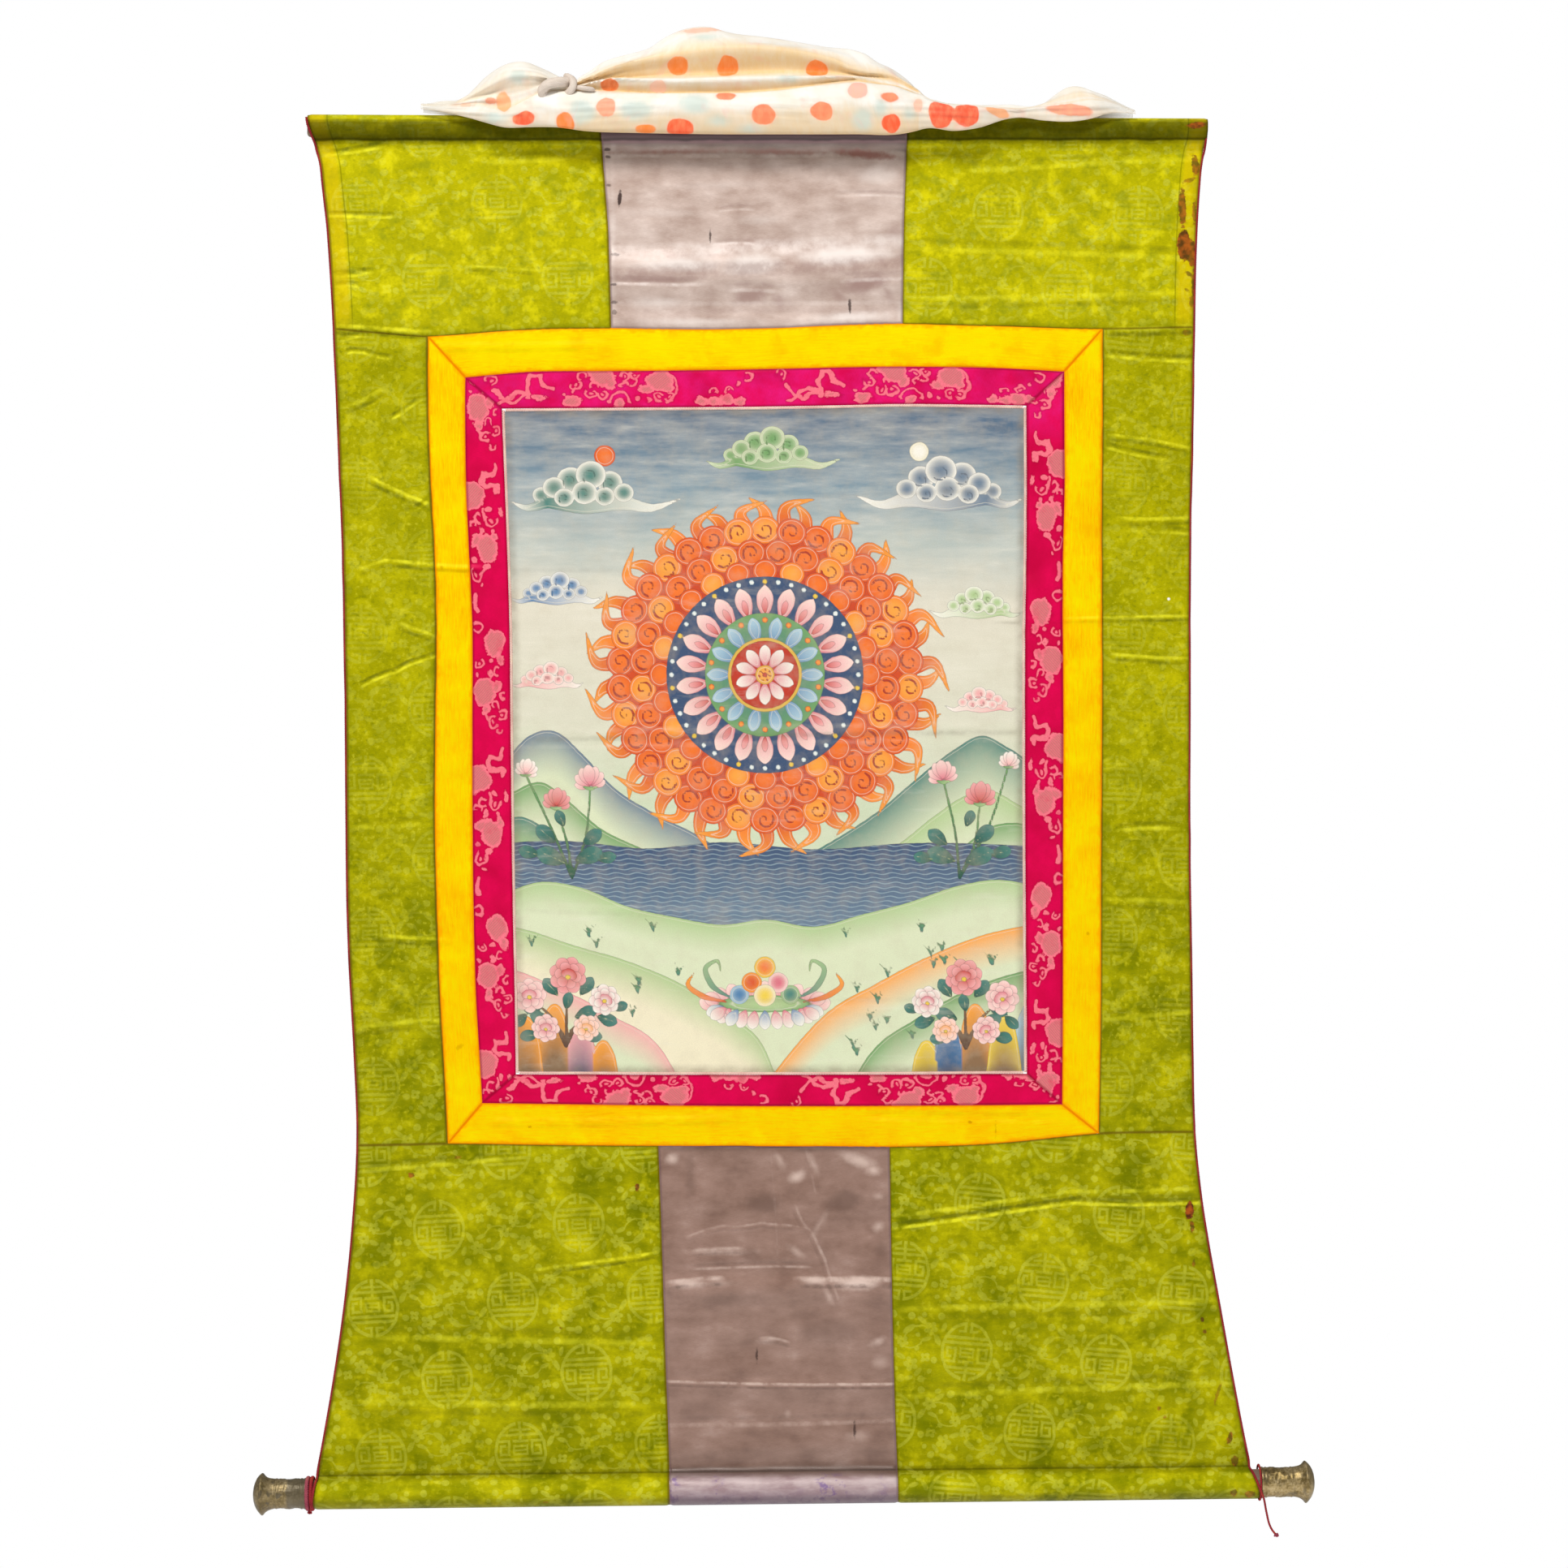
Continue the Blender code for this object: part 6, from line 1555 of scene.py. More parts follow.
# the gathered cover's fold lines, from its crest to the edge tucked under its lower roll:
# photograph pixels across and down, and how far the line stands in front of the hem's middle in mm
foldLines = (
    ((516, 128, -4), (545, 126, 4), (565, 124, 4), (580, 116, 2), (588, 106, 1), (600, 94, 0), (612, 86, 0),
        (628, 79, 0), (645, 77, 0), (665, 84, 0), (680, 91, 2), (695, 99, 6), (706, 104, 9), (715, 97, 6),
        (725, 91, 3), (740, 79, 0), (760, 71, -2), (780, 66, -2), (800, 60, -2), (820, 46, -2),
        (840, 37, -2), (870, 33, -2), (900, 41, -2), (940, 46, -2), (980, 52, -2), (1020, 59, -2),
        (1050, 62, 0), (1066, 67, 1), (1080, 77, 1), (1100, 86, 0), (1120, 101, 2), (1140, 122, 5),
        (1160, 128, 7), (1200, 131, 7), (1240, 130, 5), (1286, 128, 4), (1303, 115, 2), (1315, 108, 1),
        (1330, 107, 1), (1345, 113, 2), (1360, 118, 3), (1380, 129, 4), (1402, 139, 4)),
    ((516, 129, 2), (565, 126, 8), (585, 112, 9), (600, 101, 10), (620, 88, 13), (645, 86, 14),
        (670, 92, 14), (690, 103, 15), (706, 106, 17), (725, 96, 13), (750, 82, 9), (790, 72, 12),
        (830, 56, 13), (870, 47, 14), (920, 53, 14), (980, 60, 13), (1030, 68, 12), (1061, 78, 11),
        (1090, 87, 10), (1120, 106, 10), (1145, 124, 13), (1200, 132, 12), (1286, 129, 9), (1306, 118, 7),
        (1330, 111, 7), (1360, 121, 8), (1402, 139.5, 8)),
    ((516, 130, 8), (565, 128, 12), (588, 117, 15), (606, 108, 18), (625, 99, 22), (650, 98, 24),
        (675, 102, 23), (692, 107, 21), (706, 108, 22), (725, 100, 19), (750, 90, 18), (790, 79, 20),
        (840, 69, 22), (880, 65, 23), (920, 63, 23), (960, 65, 22), (1000, 71, 21), (1030, 79, 20),
        (1050, 89, 20), (1061, 93, 19), (1080, 94, 16), (1105, 99, 14), (1128, 113, 15), (1150, 125.5, 17),
        (1200, 133, 16), (1286, 130, 13), (1308, 121, 11), (1330, 116, 11), (1360, 124, 11),
        (1402, 140, 10)),
    ((516, 131, 10), (565, 129.5, 13), (592, 122, 13), (608, 117, 12), (625, 114, 15), (650, 112, 18),
        (675, 108, 18), (692, 110, 17), (706, 110, 18), (725, 104, 14), (750, 98, 12), (790, 97, 12),
        (840, 95.5, 13), (880, 94, 13), (920, 92, 13), (960, 91, 13), (1000, 92, 13), (1030, 94, 14),
        (1050, 96, 15), (1061, 97, 14), (1080, 99, 13), (1105, 104, 13), (1130, 117, 14), (1152, 126.5, 18),
        (1200, 133.5, 18), (1286, 131, 15), (1312, 125, 14), (1335, 121, 13), (1360, 126, 13),
        (1402, 140.5, 11)),
    ((516, 132, 12), (565, 131, 15), (594, 127, 17), (610, 126, 15), (625, 126, 13), (645, 122, 16),
        (675, 112, 22), (692, 112, 24), (706, 112, 25), (725, 108, 22), (750, 104, 22), (790, 105, 24),
        (860, 104, 25), (920, 103, 25), (980, 100.5, 24), (1030, 99, 22), (1061, 100, 20), (1080, 103, 16),
        (1106, 108, 15), (1132, 119.5, 17), (1155, 127.5, 20), (1200, 134, 20), (1286, 132, 17),
        (1316, 128, 17), (1340, 124, 15), (1362, 127, 14), (1402, 141, 11)),
    ((516, 132.6, 12), (565, 132.5, 15), (594, 131, 16), (610, 133, 13), (625, 134, 14), (645, 128, 16),
        (668, 117, 19), (692, 115, 21), (706, 115, 21), (725, 112, 17), (750, 114, 16), (800, 118, 17),
        (860, 118, 18), (920, 117, 18), (960, 114, 18), (1000, 109, 18), (1030, 105, 18), (1061, 104, 19),
        (1080, 107, 17), (1106, 111, 17), (1132, 121, 19), (1158, 128.5, 21), (1200, 134.6, 21),
        (1286, 133, 18), (1318, 130, 18), (1342, 126, 16), (1362, 128, 14), (1402, 141.4, 11)),
    ((516, 133.3, 13), (565, 134.5, 16), (594, 136, 19), (612, 141, 20), (626, 142, 21), (641, 134, 23),
        (662, 124, 25), (692, 120, 27), (706, 120, 28), (725, 119.5, 27), (750, 121.4, 26), (800, 122, 27),
        (860, 122, 28), (915, 122, 28), (960, 118.6, 28), (1000, 113.4, 28), (1035, 110, 28),
        (1061, 108.6, 27), (1080, 110, 26), (1104, 113, 25), (1118, 118.4, 24), (1136, 123.4, 24),
        (1160, 130, 24), (1200, 135.4, 23), (1286, 134.4, 19), (1320, 132.4, 19), (1344, 128, 17),
        (1362, 129.4, 15), (1402, 141.8, 11)),
    ((516, 134.6, 13), (565, 138, 18), (596, 142, 21), (620, 148, 24), (650, 141, 28), (690, 136, 31),
        (740, 137, 33), (800, 138, 34.5), (860, 138, 35), (920, 138, 35), (980, 134, 35), (1040, 129, 34.5),
        (1080, 130, 33), (1110, 133, 31), (1136, 135, 29), (1165, 138, 28), (1200, 141, 27),
        (1240, 137, 22), (1290, 138, 22), (1330, 138, 20), (1358, 134, 17), (1380, 138, 14),
        (1402, 142.2, 11.5)),
    ((516, 135.6, 13), (565, 141.5, 18), (596, 147, 21), (625, 153, 24), (655, 149, 27.5), (690, 147, 30.5),
        (740, 150, 33), (800, 152, 34), (860, 153, 34.6), (920, 152, 34.6), (980, 150, 34.6),
        (1040, 148, 34), (1080, 148, 32.5), (1110, 149, 30.5), (1136, 148, 28.5), (1170, 152, 27.5),
        (1204, 151, 25), (1240, 143, 21), (1290, 144, 20.5), (1335, 144, 19), (1358, 138, 16),
        (1380, 140, 13.6), (1402, 142.6, 11.5)),
    ((516, 136.6, 12.5), (545, 141, 15), (580, 149, 17), (600, 155, 19.5), (622, 161, 22), (655, 161, 25),
        (690, 162, 27.5), (722, 166.5, 29), (780, 168.5, 30), (860, 170.5, 30.5), (960, 171, 30.5),
        (1050, 171, 30), (1112, 170, 27.5), (1126, 167, 26), (1140, 163, 25), (1175, 166, 25),
        (1204, 162, 22.5), (1240, 150.5, 19), (1254, 148.6, 18), (1285, 152.5, 18), (1322, 153.4, 18),
        (1346, 149, 16), (1362, 143.6, 14), (1380, 142, 13), (1402, 143, 11.5)),
    ((516, 136.4, 11), (545, 140.4, 11.6), (580, 147.5, 12), (622, 158, 13), (690, 159, 13.5),
        (722, 163, 13.5), (860, 166, 13.5), (1050, 166, 13.5), (1112, 165, 13), (1140, 159, 13),
        (1175, 162, 13), (1204, 158, 12.6), (1240, 148, 12), (1285, 149, 12), (1322, 150, 12),
        (1362, 142, 11.6), (1402, 142.8, 11)),
)
coverBack = ((516, 136), (560, 141), (620, 158), (700, 166), (800, 172), (900, 174), (1000, 173), (1100, 171),
             (1180, 164), (1280, 156), (1340, 152), (1402, 142))  # its hem behind the batten
# printed dots on its front: middle, half width, half height, tint and tilt
coverDots = ((836, 85, 13, 13, "orange", 0.3), (897, 86, 13, 16, "orange", -0.3),
    (1006, 90, 14, 14, "orange", 0), (752, 109, 11.5, 9.5, "rust", 0), (812, 112, 11, 9, "faint", 0),
    (749, 139, 12, 13.5, "salmon", 0), (797, 167, 13, 7, "orange", 0), (839, 166, 17, 13, "scarlet", 0),
    (941, 149, 15, 13.5, "coral", -0.3), (895, 124, 13, 8, "coral", 0), (1012, 145, 14, 12, "coral", -0.2),
    (1056, 118, 13, 12, "rose", 0.4), (1095, 127, 12, 6.5, "coral", -0.1),
    (1097, 159, 12, 12, "scarlet", 0.5), (1158, 146, 15.5, 20, "scarlet", 0.1),
    (1189, 146, 16, 18, "scarlet", -0.2), (1316, 140, 30, 8.5, "salmon", -0.08),
    (648, 152, 14, 9, "scarlet", 0.1), (699, 158, 11, 14, "orange", 0.5), (864, 38, 26, 6, "faint", 0.1),
    (622, 131, 9, 16, "peach", 0.1), (606, 128, 7, 5, "salmon", 0), (577, 133, 10, 3, "faint", 0),
    (1228, 143, 16, 7, "peach", -0.3), (1130, 136, 6, 10, "faint", 0), (962, 40, 9, 9, "faint", 0))
coolDots = ((857, 135, 22, 15), (785, 143, 22, 16), (720, 145, 17, 18), (886, 157, 16, 8),
    (925, 166, 18, 8), (1062, 155, 15, 16), (971, 101, 16, 9), (860, 119, 10, 5), (612, 150, 16, 10),
    (765, 100, 9, 6), (1084, 140, 10, 14), (1172, 118, 8, 6), (640, 100, 14, 12), (870, 50, 20, 8),
    (1120, 148, 10, 9))
dotTints = {"orange": (0.9, 0.2, 0.015), "rust": (0.8, 0.14, 0.012), "scarlet": (0.93, 0.07, 0.008),
    "coral": (0.93, 0.2, 0.08), "salmon": (0.92, 0.33, 0.2), "rose": (0.86, 0.45, 0.36),
    "faint": (0.9, 0.55, 0.42), "peach": (0.93, 0.4, 0.18)}
coverCut = {"rows": 108, "step": 0.0018, "thick": 0.0007, "knot": 704, "pinch": 1061}


def lineAt(line, px):
    # a fold line's height and depth at pixels across, as metres
    line = np.array(line, float)
    read = through(line[:, 0], line[:, 1:], px)
    return (photo["top"] - read[:, 0]) * photo["scale"], -0.001 * read[:, 1]


def coverGrid():
    # the cover's points from its hem behind the batten, over the crest and down its front folds
    px = np.arange(foldLines[0][0][0] + 4, foldLines[0][-1][0] - 4, coverCut["step"] / photo["scale"])
    heights, depths = (np.array(part) for part in zip(*(lineAt(line, px) for line in foldLines)))
    for i in range(1, 10):
        heights[i] = np.minimum(heights[i], heights[i - 1] - 0.0006)
    back, deep = lineAt([(x, y, -11.4) for x, y in coverBack], px)
    crest, plump = heights[0], np.clip((heights[0] + 0.004) / 0.03, 0.15, 1)
    behind = [(back, deep)] + [(crest + (back - crest) * share, deep + out * plump) for share,
        out in ((0.72, 0.003), (0.5, -0.0005), (0.3, -0.001))]
    behind.append((crest + (back - crest) * 0.12, np.full_like(px, 0.0062)))
    z = np.array([place[0] for place in behind] + list(heights))
    y = np.array([place[1] for place in behind] + list(depths))
    y[5] = np.minimum(y[5], 0.0035)
    share = np.linspace(0, 1, coverCut["rows"])
    grid = np.empty((coverCut["rows"], len(px), 3))
    lineShare = np.empty((len(z), len(px)))
    for c in range(len(px)):
        section = np.stack((y[:, c], z[:, c]), axis=-1)
        long = lengths(section)
        grid[:, c, 1:] = through(long, section, share * long[-1])
        lineShare[:, c] = long / long[-1]
    grid[..., 0] = (px - photo["middle"]) * photo["scale"]
    return grid, px, lineShare


def coverWrinkles(grid, px, lineShare):
    # pleats that run out from the knot and the pinch, and long soft wrinkles on the lower roll
    share = np.linspace(0, 1, grid.shape[0])
    columns = range(grid.shape[1])
    front = np.stack([np.interp(share, lineShare[5:12, c], np.arange(7) / 6) for c in columns], axis=-1)
    roll = np.stack([np.interp(share, lineShare[11:15, c], (0, 1, 1, 0), left=0, right=0) for c in columns],
        axis=-1)
    inside = np.sin(np.pi * np.clip(front, 0, 1)) ** 0.5
    share, px, z = share[:, None], px[None], grid[..., 2]

    def pleated(middle, right, left, bare):
        away = px - middle
        return np.exp(-np.abs(away) / np.where(away > 0, right, left)) * eased((np.abs(away) - bare[0]) /
            bare[1])
    near = pleated(coverCut["knot"], 85, 40, (2, 16))
    lift = 0.0016 * near * inside * np.sin(front * 41 + 1.2 * np.sin(px * 0.05))
    lift += 0.001 * near * inside * np.sin(front * 73 + px * 0.03)
    lift += 0.0014 * pleated(coverCut["pinch"], 24, 46, (1, 12)) * inside * np.sin(front * 37 + 0.8)
    lift += 0.0006 * inside * (np.sin(px * 0.031 + 3 * front) * np.sin(front * 19 + px * 0.011 + 1))
    lift += 0.0007 * roll * np.sin(z * 900 + 1.5 * np.sin(px * 0.021)) * np.sin(px * 0.017 + 1)
    lift += 0.0006 * roll * np.sin(px * 0.13 + z * 300)
    for at, soft, high in ((641, 6, -1.6), (652, 9, 1.2), (690, 8, -1.2), (1174, 3.4, -1.8), (1186, 5, 1.2),
            (1140, 6, -1), (1216, 8, 1), (1262, 10, -0.8), (600, 8, 0.8), (1110, 9, 0.8)):
        lift += 0.001 * high * roll * np.exp(-0.5 * ((px - at + (z * 1250 + 8) * 0.5) / soft) ** 2)
    behind = np.clip(1 - share / np.maximum(lineShare[4][None], 0.01), 0, 1) * (share > 0)
    lift += 0.0011 * behind * np.sin(px * 0.11 + 2 * np.sin(px * 0.013)) * eased(share / 0.05)
    return grid + faceNormals(grid) * lift[..., None]


def dotField(grid, dots):
    # for each vertex, how far it is inside the nearest printed dot in mm, along the cloth from its middle
    u, arc = grid[..., 0], lengths(grid)
    inside = np.full(u.shape, -99.0)
    nearest = np.zeros(u.shape, dtype=int)
    for i, (px, py, wide, tall, *look) in enumerate(dots):
        tilt = look[1] if look else 0
        x, z = spot(px, py)
        du = (u - x) * 1000
        level = arc[0].copy()
        for column in np.flatnonzero(np.abs(grid[0, :, 0] - x) < 0.0016 * max(wide, tall)):
            section = grid[:, column]
            rows = np.flatnonzero(np.abs(section[:, 2] - z) < 0.0024)
            row = rows[np.argmin(section[rows, 1])] if len(rows) else int(np.argmin(np.abs(section[:,
                2] - z)))
            level[column] = arc[row, column] + section[row, 2] - z
        dv = (level[None] - arc) * 1000
        a = (du * cos(tilt) + dv * sin(tilt)) / (wide * 0.8)
        b = (dv * cos(tilt) - du * sin(tilt)) / (tall * 0.8)
        round_ = np.arctan2(b, a)
        ragged = 0.035 * np.sin(3 * round_ + i) + 0.02 * np.sin(5 * round_ + 2.3 * i)
        found = (1 + ragged - np.hypot(a, b)) * (min(wide, tall) * 0.8)
        nearest = np.where(found > inside, i, nearest)
        inside = np.maximum(found, inside)
    return inside, nearest


def hangCover(silk):
    grid, px, lineShare = coverGrid()
    grid = coverWrinkles(grid, px, lineShare)
    piece = meshFrom("cover_cloth", grid.reshape(-1, 3), gridFaces(*grid.shape[:2]))
    writeUv(piece, np.stack((grid[..., 0], -lengths(grid)), axis=-1).reshape(-1, 2))
    inside, nearest = dotField(grid, coverDots)
    writeNumbers(piece, "dot", inside)
    writeColours(piece, "dotTint", np.array([(*dotTints[dot[4]], 1) for dot in coverDots])[nearest])
    writeNumbers(piece, "cool", dotField(grid, coolDots)[0])
    share = np.linspace(0, 1, grid.shape[0])
    # painted tan shade at each fold line, deepest in the valleys
    folded = np.array((0.05, 0.1, 0.75, 0.95, 0.1, 1, 0.1, 0, 0.55, 0.8))
    writeNumbers(piece, "warm", np.stack([np.interp(share, lineShare[5:15, c],
        folded * (1 if 712 < px[c] < 1130 else 0.45)) for c in range(grid.shape[1])], axis=-1))
    piece.data.materials.append(silk)
    applied(piece, "SOLIDIFY", thickness=coverCut["thick"], offset=-1, use_even_offset=False)
    fitted(piece, "cover", 70)
    for name, radius, route in (("cover_knot_loop", 0.0054, ((706, 107, 20), (696, 107, 26), (685, 109, 29),
            (675, 113, 29), (670, 119, 26), (674, 125, 22), (684, 127, 18))),
            ("cover_knot_wrap", 0.004, ((697, 99, 16), (703, 101, 23), (708, 107, 28), (708, 114, 29.5),
            (704, 120, 28), (698, 123, 22))), ("cover_knot_tuck", 0.0024,
            ((709, 113, 25), (718, 115, 29), (727, 116, 29.5), (735, 117, 27)))):
        path = [Vector((spot(x, y)[0], -0.001 * deep, spot(x, y)[1])) for x, y, deep in route]
        twisted(name, path, radius, 3, 0.11, 0.0014, silk, depth=0.16, taper=True)


# turned end caps: distance from the tip and radius in mm, then the bore back to the floor
cap = {"profile": ((0.35, 4.5), (1.1, 8.6), (2.3, 12.2), (3.9, 15.4), (5.8, 18), (7.6, 19.9), (8.6, 20.7),
    (9.2, 20.8), (9.8, 20.5), (10.4, 19.8), (11.6, 18.4), (13.2, 17), (15.2, 15.9), (17.6, 15.25),
    (20.4, 14.85), (22.2, 14.75), (22.6, 15), (23.2, 15.1), (23.8, 15), (24.2, 14.7)),
    "tube": (24.8, 46.6, 34, 14.65), "mouth": ((47, 14.7), (47.5, 15.1), (48.2, 15.2), (48.9, 15.1),
    (49.4, 14.8), (50.2, 14.85), (50.9, 15.3), (51.8, 15.6), (52.6, 15.6), (53, 15.3), (53, 13.7),
    (52.4, 13.45), (30, 13.4), (8.8, 13.4), (8.2, 9)), "sides": 112}


def axisAt(x):
    # the roller's middle line
    left, right = ([sum(pair) / 2 for pair in zip(*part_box("cap_" + side))] for side in ("left", "right"))
    share = (x - left[0]) / (right[0] - left[0])
    return Vector((x, left[1] + (right[1] - left[1]) * share, left[2] + (right[2] - left[2]) * share))


def turnCap(side, metal):
    low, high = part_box("cap_" + side)
    tip = axisAt(low[0] if side == "left" else high[0])
    inner = axisAt(high[0] if side == "left" else low[0])
    ahead = (inner - tip).normalized()
    start, end, count, radius = cap["tube"]
    tube = [(start + (end - start) * i / count, radius) for i in range(count + 1)]
    profile = [*cap["profile"], *tube, *cap["mouth"]]
    turn = ahead.to_track_quat("Z", "Y").to_euler()
    bpy.ops.object.select_all(action="DESELECT")
    bpy.ops.mesh.primitive_circle_add(vertices=cap["sides"], radius=0.001 * profile[0][1],
        fill_type="TRIFAN", location=tip + ahead * 0.001 * profile[0][0], rotation=turn)
    piece = bpy.context.object
    piece.name = "cap_" + side + "_turned"
    bpy.ops.object.transform_apply(location=True, rotation=True, scale=True)
    bpy.ops.object.mode_set(mode="EDIT")
    bpy.ops.mesh.select_all(action="DESELECT")
    bpy.ops.object.mode_set(mode="OBJECT")
    mesh = piece.data
    centre = tip + ahead * 0.001 * profile[0][0]
    for edge in mesh.edges:
        ends = [(mesh.vertices[v].co - centre).length for v in edge.vertices]
        edge.select = min(ends) > 0.0005 * profile[0][1]
    bpy.ops.object.mode_set(mode="EDIT")
    for i in range(1, len(profile)):
        far, wide = profile[i]
        grow = wide / profile[i - 1][1]
        bpy.ops.mesh.extrude_region_move(TRANSFORM_OT_translate={"value":
            tuple(ahead * 0.001 * (far - profile[i - 1][0]))})
        bpy.ops.transform.resize(value=(grow, grow, grow), center_override=tuple(tip + ahead * 0.001 * far))
    bpy.ops.mesh.fill()
    faceOutward()
    chase(piece, tip, ahead, side)
    piece.data.materials.append(metal)
    fitted(piece, "cap_" + side, 48)


def chase(piece, tip, ahead, side):
    # punched scrolls and petals, and the dents of long use
    over = Vector((0, 0, 1)).cross(ahead).normalized()
    up = ahead.cross(over)
    phase = 0.6 if side == "left" else 2
    for vert in piece.data.vertices:
        out = vert.co - tip
        far = out.dot(ahead) * 1000
        radial = out - ahead * out.dot(ahead)
        wide = radial.length * 1000
        if far > 52.8 or wide < 0.5 or (wide < 13.9 and far > 5):
            continue
        turn = atan2(radial.dot(over), radial.dot(up))
        lift = 0
        if 25 < far < 46.5:
            vine = sin(5 * turn + phase + 0.55 * sin(far * 0.55)) * sin((far - 25) * pi / 7.17)
            curl = sin(10 * turn + far * 0.87 + phase) * sin(15 * turn - far * 0.8)
            lift = (0.3 * tanh(2.2 * vine) + 0.14 * curl) * min(1, (far - 25) / 1.5, (46.5 - far) / 1.5)
        elif 11 < far < 22:
            lift = 0.3 * abs(sin(8 * turn + phase)) * sin((far - 11) / 11 * pi) - 0.1
        elif far < 8:
            lift = 0.25 * abs(sin(6 * turn + phase)) * sin(min(1, far / 7) * pi)
        lift += 0.16 * sin(3 * turn + far * 0.31 + phase) + 0.1 * sin(7 * turn - far * 0.23)
        vert.co += radial.normalized() * 0.001 * (lift - 0.18)


def bindRollEnds(red, purple):
    # the extra turn of cord beside each edge cord, and its small knot
    for name, x, radius, thick, mat in (("bind_left", -0.4522, 0.015, 0.00225, purple),
            ("bind_left_second", -0.4479, 0.0152, 0.00215, red), ("bind_right", 0.485, 0.017, 0.0011, red)):
        centre = axisAt(x)
        path = onRing(centre, axisAt(x + 0.05) - centre, radius, radians(178), 48)
        twisted(name, path, thick, 3, 0.0062, 0.0009, mat)
    centre = axisAt(-0.45)
    knot = knotAt("bind_left_knot", centre + Vector((0, -0.004, -0.0178)), 0.0032, red, 1.1)


finishes = {
    "damask": damaskGreen(), "frame": yellowSilk(), "lining": cottonLining(),
    "band_side": pinkBrocade("side"), "band_end": pinkBrocade("end"),
    "satin_top": satin("faded satin", ((0.32, (0.34, 0.235, 0.19)), (0.44, (0.45, 0.335, 0.285)),
        (0.55, (0.56, 0.44, 0.385)), (0.7, (0.74, 0.62, 0.56))), False),
    "satin_foot": satin("mauve satin", ((0.3, (0.15, 0.082, 0.062)), (0.44, (0.225, 0.132, 0.1)),
        (0.56, (0.29, 0.178, 0.14)), (0.72, (0.42, 0.29, 0.245))), True),
    "red": laidCord("red cord", (0.12, 0.008, 0.012), (0.3, 0.022, 0.03), (0.48, 0.05, 0.045),
        (0.42, 0.075, 0.015)),
    "purple": laidCord("faded purple cord", (0.11, 0.01, 0.04), (0.33, 0.06, 0.09), (0.48, 0.15, 0.16),
        (0.4, 0.16, 0.08)),
    "pale": laidCord("pale piping cord", (0.56, 0.26, 0.22), (0.8, 0.52, 0.44), (0.9, 0.73, 0.64),
        (0.86, 0.64, 0.38)),
    "wood": rawWood("raw wood", (0.09, 0.06, 0.04), (0.3, 0.21, 0.14)),
    "brass": agedBrass(), "veil": printedVeil(),
}
print("stage: finishes made")


outerEdges = {"left": [], "right": []}


def sewPanel(node):
    kind, side = node.split("_")[0], node.split("_")[-1]
    made = panel(node)
    u, v = stripUv(node, made) if kind in ("frame", "band") else clothUv(made)
    if kind == "damask":
        u, v = damaskUv(node, u, v)
        outer = 0 if side == "left" else -1
        made["selvedge"] = abs(made["u"] - made["u"][outer])
        outerEdges[side].append(made["grid"][:, outer])
    elif kind == "band":
        kind = "band_end" if side in ("top", "foot") else "band_side"
    sewn(made, u, v, finishes[node if kind == "satin" else kind], finishes["lining"])


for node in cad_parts:
    if node == "picture":
        paintPicture(finishes["lining"])
    elif node.startswith(("damask", "satin", "frame", "band")):
        sewPanel(node)
    elif node in ("batten", "dowel"):
        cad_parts[node].data.materials.clear()
        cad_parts[node].data.materials.append(finishes["wood"])
print("stage: panels sewn")
sewCords(outerEdges, finishes["red"], finishes["purple"], finishes["pale"])
bindRollEnds(finishes["red"], finishes["purple"])
hangCover(finishes["veil"])
for side in ("left", "right"):
    turnCap(side, finishes["brass"])
print("stage: cords, cover and caps made")

bpy.ops.object.select_all(action="DESELECT")
bpy.ops.mesh.primitive_plane_add(size=7, location=(0, -0.7, -2.1))
floor = bpy.context.object
floor.name = "floor"
useOnly(floor)
bpy.ops.object.transform_apply(location=True, rotation=True, scale=True)

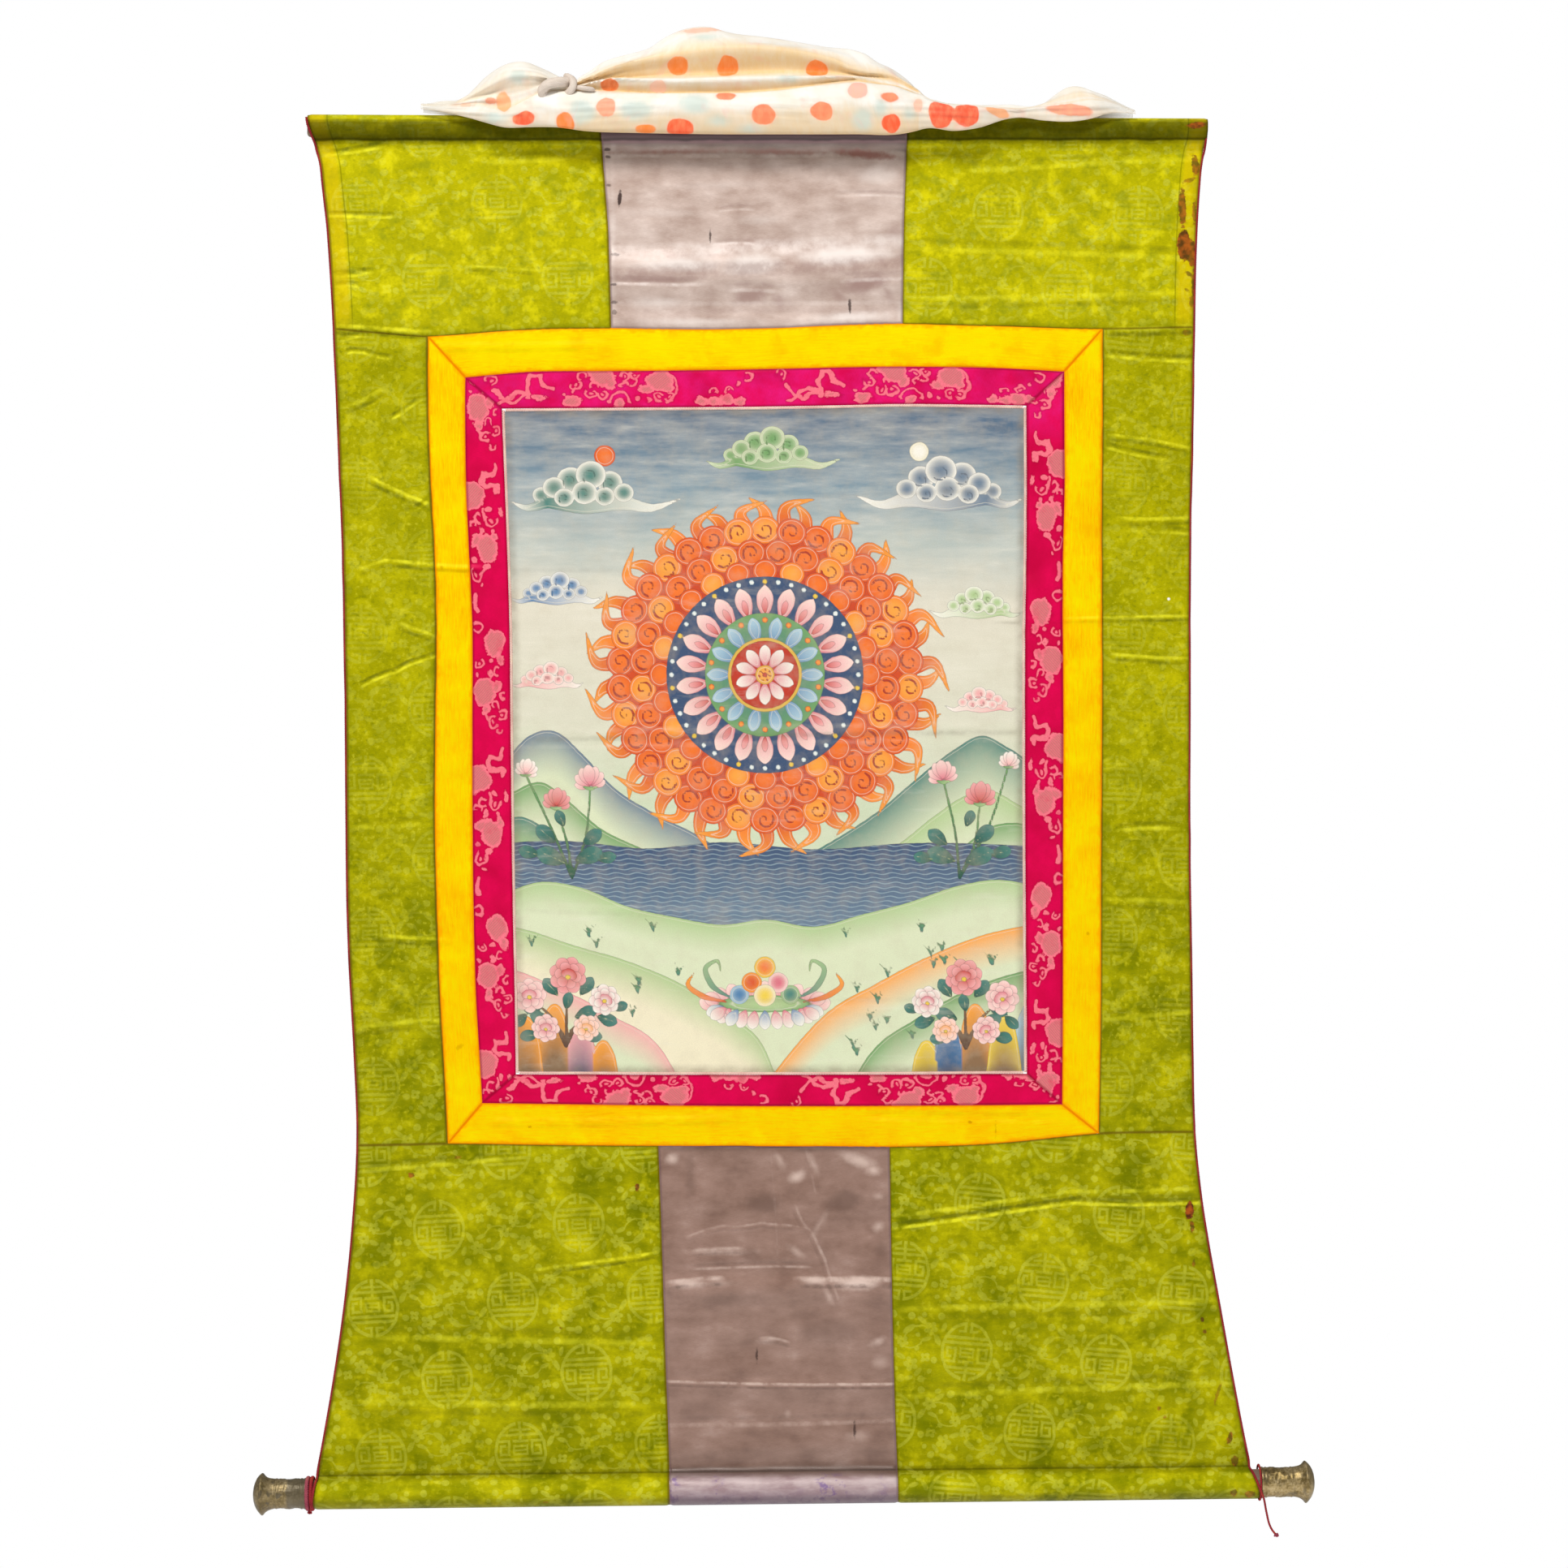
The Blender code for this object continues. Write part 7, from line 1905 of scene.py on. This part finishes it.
floorWhite = Finish("pale floor")
floorWhite.set(Base_Color=(0.9, 0.9, 0.9), Roughness=0.9, Emission_Color=(1, 1, 1), Emission_Strength=0.6)
floor.data.materials.append(floorWhite.material)

room = {"light": 0.3, "backdrop": 1}
world = bpy.data.worlds.new("room")
bpy.context.scene.world = world
world.use_nodes = True
soft = world.node_tree.nodes["Background"]
soft.inputs["Strength"].default_value = room["light"]
soft.inputs["Color"].default_value = (1, 1, 1, 1)
plain = world.node_tree.nodes.new("ShaderNodeBackground")
plain.inputs["Strength"].default_value = room["backdrop"]
plain.inputs["Color"].default_value = (1, 1, 1, 1)
seen = world.node_tree.nodes.new("ShaderNodeLightPath")
either = world.node_tree.nodes.new("ShaderNodeMixShader")
world.node_tree.links.new(seen.outputs["Is Camera Ray"], either.inputs[0])
world.node_tree.links.new(soft.outputs[0], either.inputs[1])
world.node_tree.links.new(plain.outputs[0], either.inputs[2])
world.node_tree.links.new(either.outputs[0], world.node_tree.nodes["World Output"].inputs[0])


def areaLight(name, place, aim, size, power, tint):
    data = bpy.data.lights.new(name, "AREA")
    data.shape = "RECTANGLE"
    data.size, data.size_y = size
    data.energy = power
    data.color = tint
    light = bpy.data.objects.new(name, data)
    light.location = place
    light.rotation_euler = (Vector(aim) - Vector(place)).to_track_quat("-Z", "Y").to_euler()
    bpy.context.scene.collection.objects.link(light)


areaLight("key", (-1.2, -3.2, 3.4), (0, 0, -0.7), (1.5, 1.1), 230, (1, 0.985, 0.96))
areaLight("fill", (2.6, -3.4, -1.2), (0, 0, -0.7), (2.4, 2), 20, (0.96, 0.98, 1))

view = {"distance": 3.6, "centre": spot(photo["size"] / 2, photo["size"] / 2)}
lens = bpy.data.cameras.new("camera")
lens.sensor_width = 36
lens.lens = 36 * view["distance"] / (photo["size"] * photo["scale"])
camera = bpy.data.objects.new("camera", lens)
camera.location = (view["centre"][0], -view["distance"], view["centre"][1])
camera.rotation_euler = (radians(90), 0, 0)
bpy.context.scene.collection.objects.link(camera)
bpy.context.scene.camera = camera
print("stage: floor, light and camera")
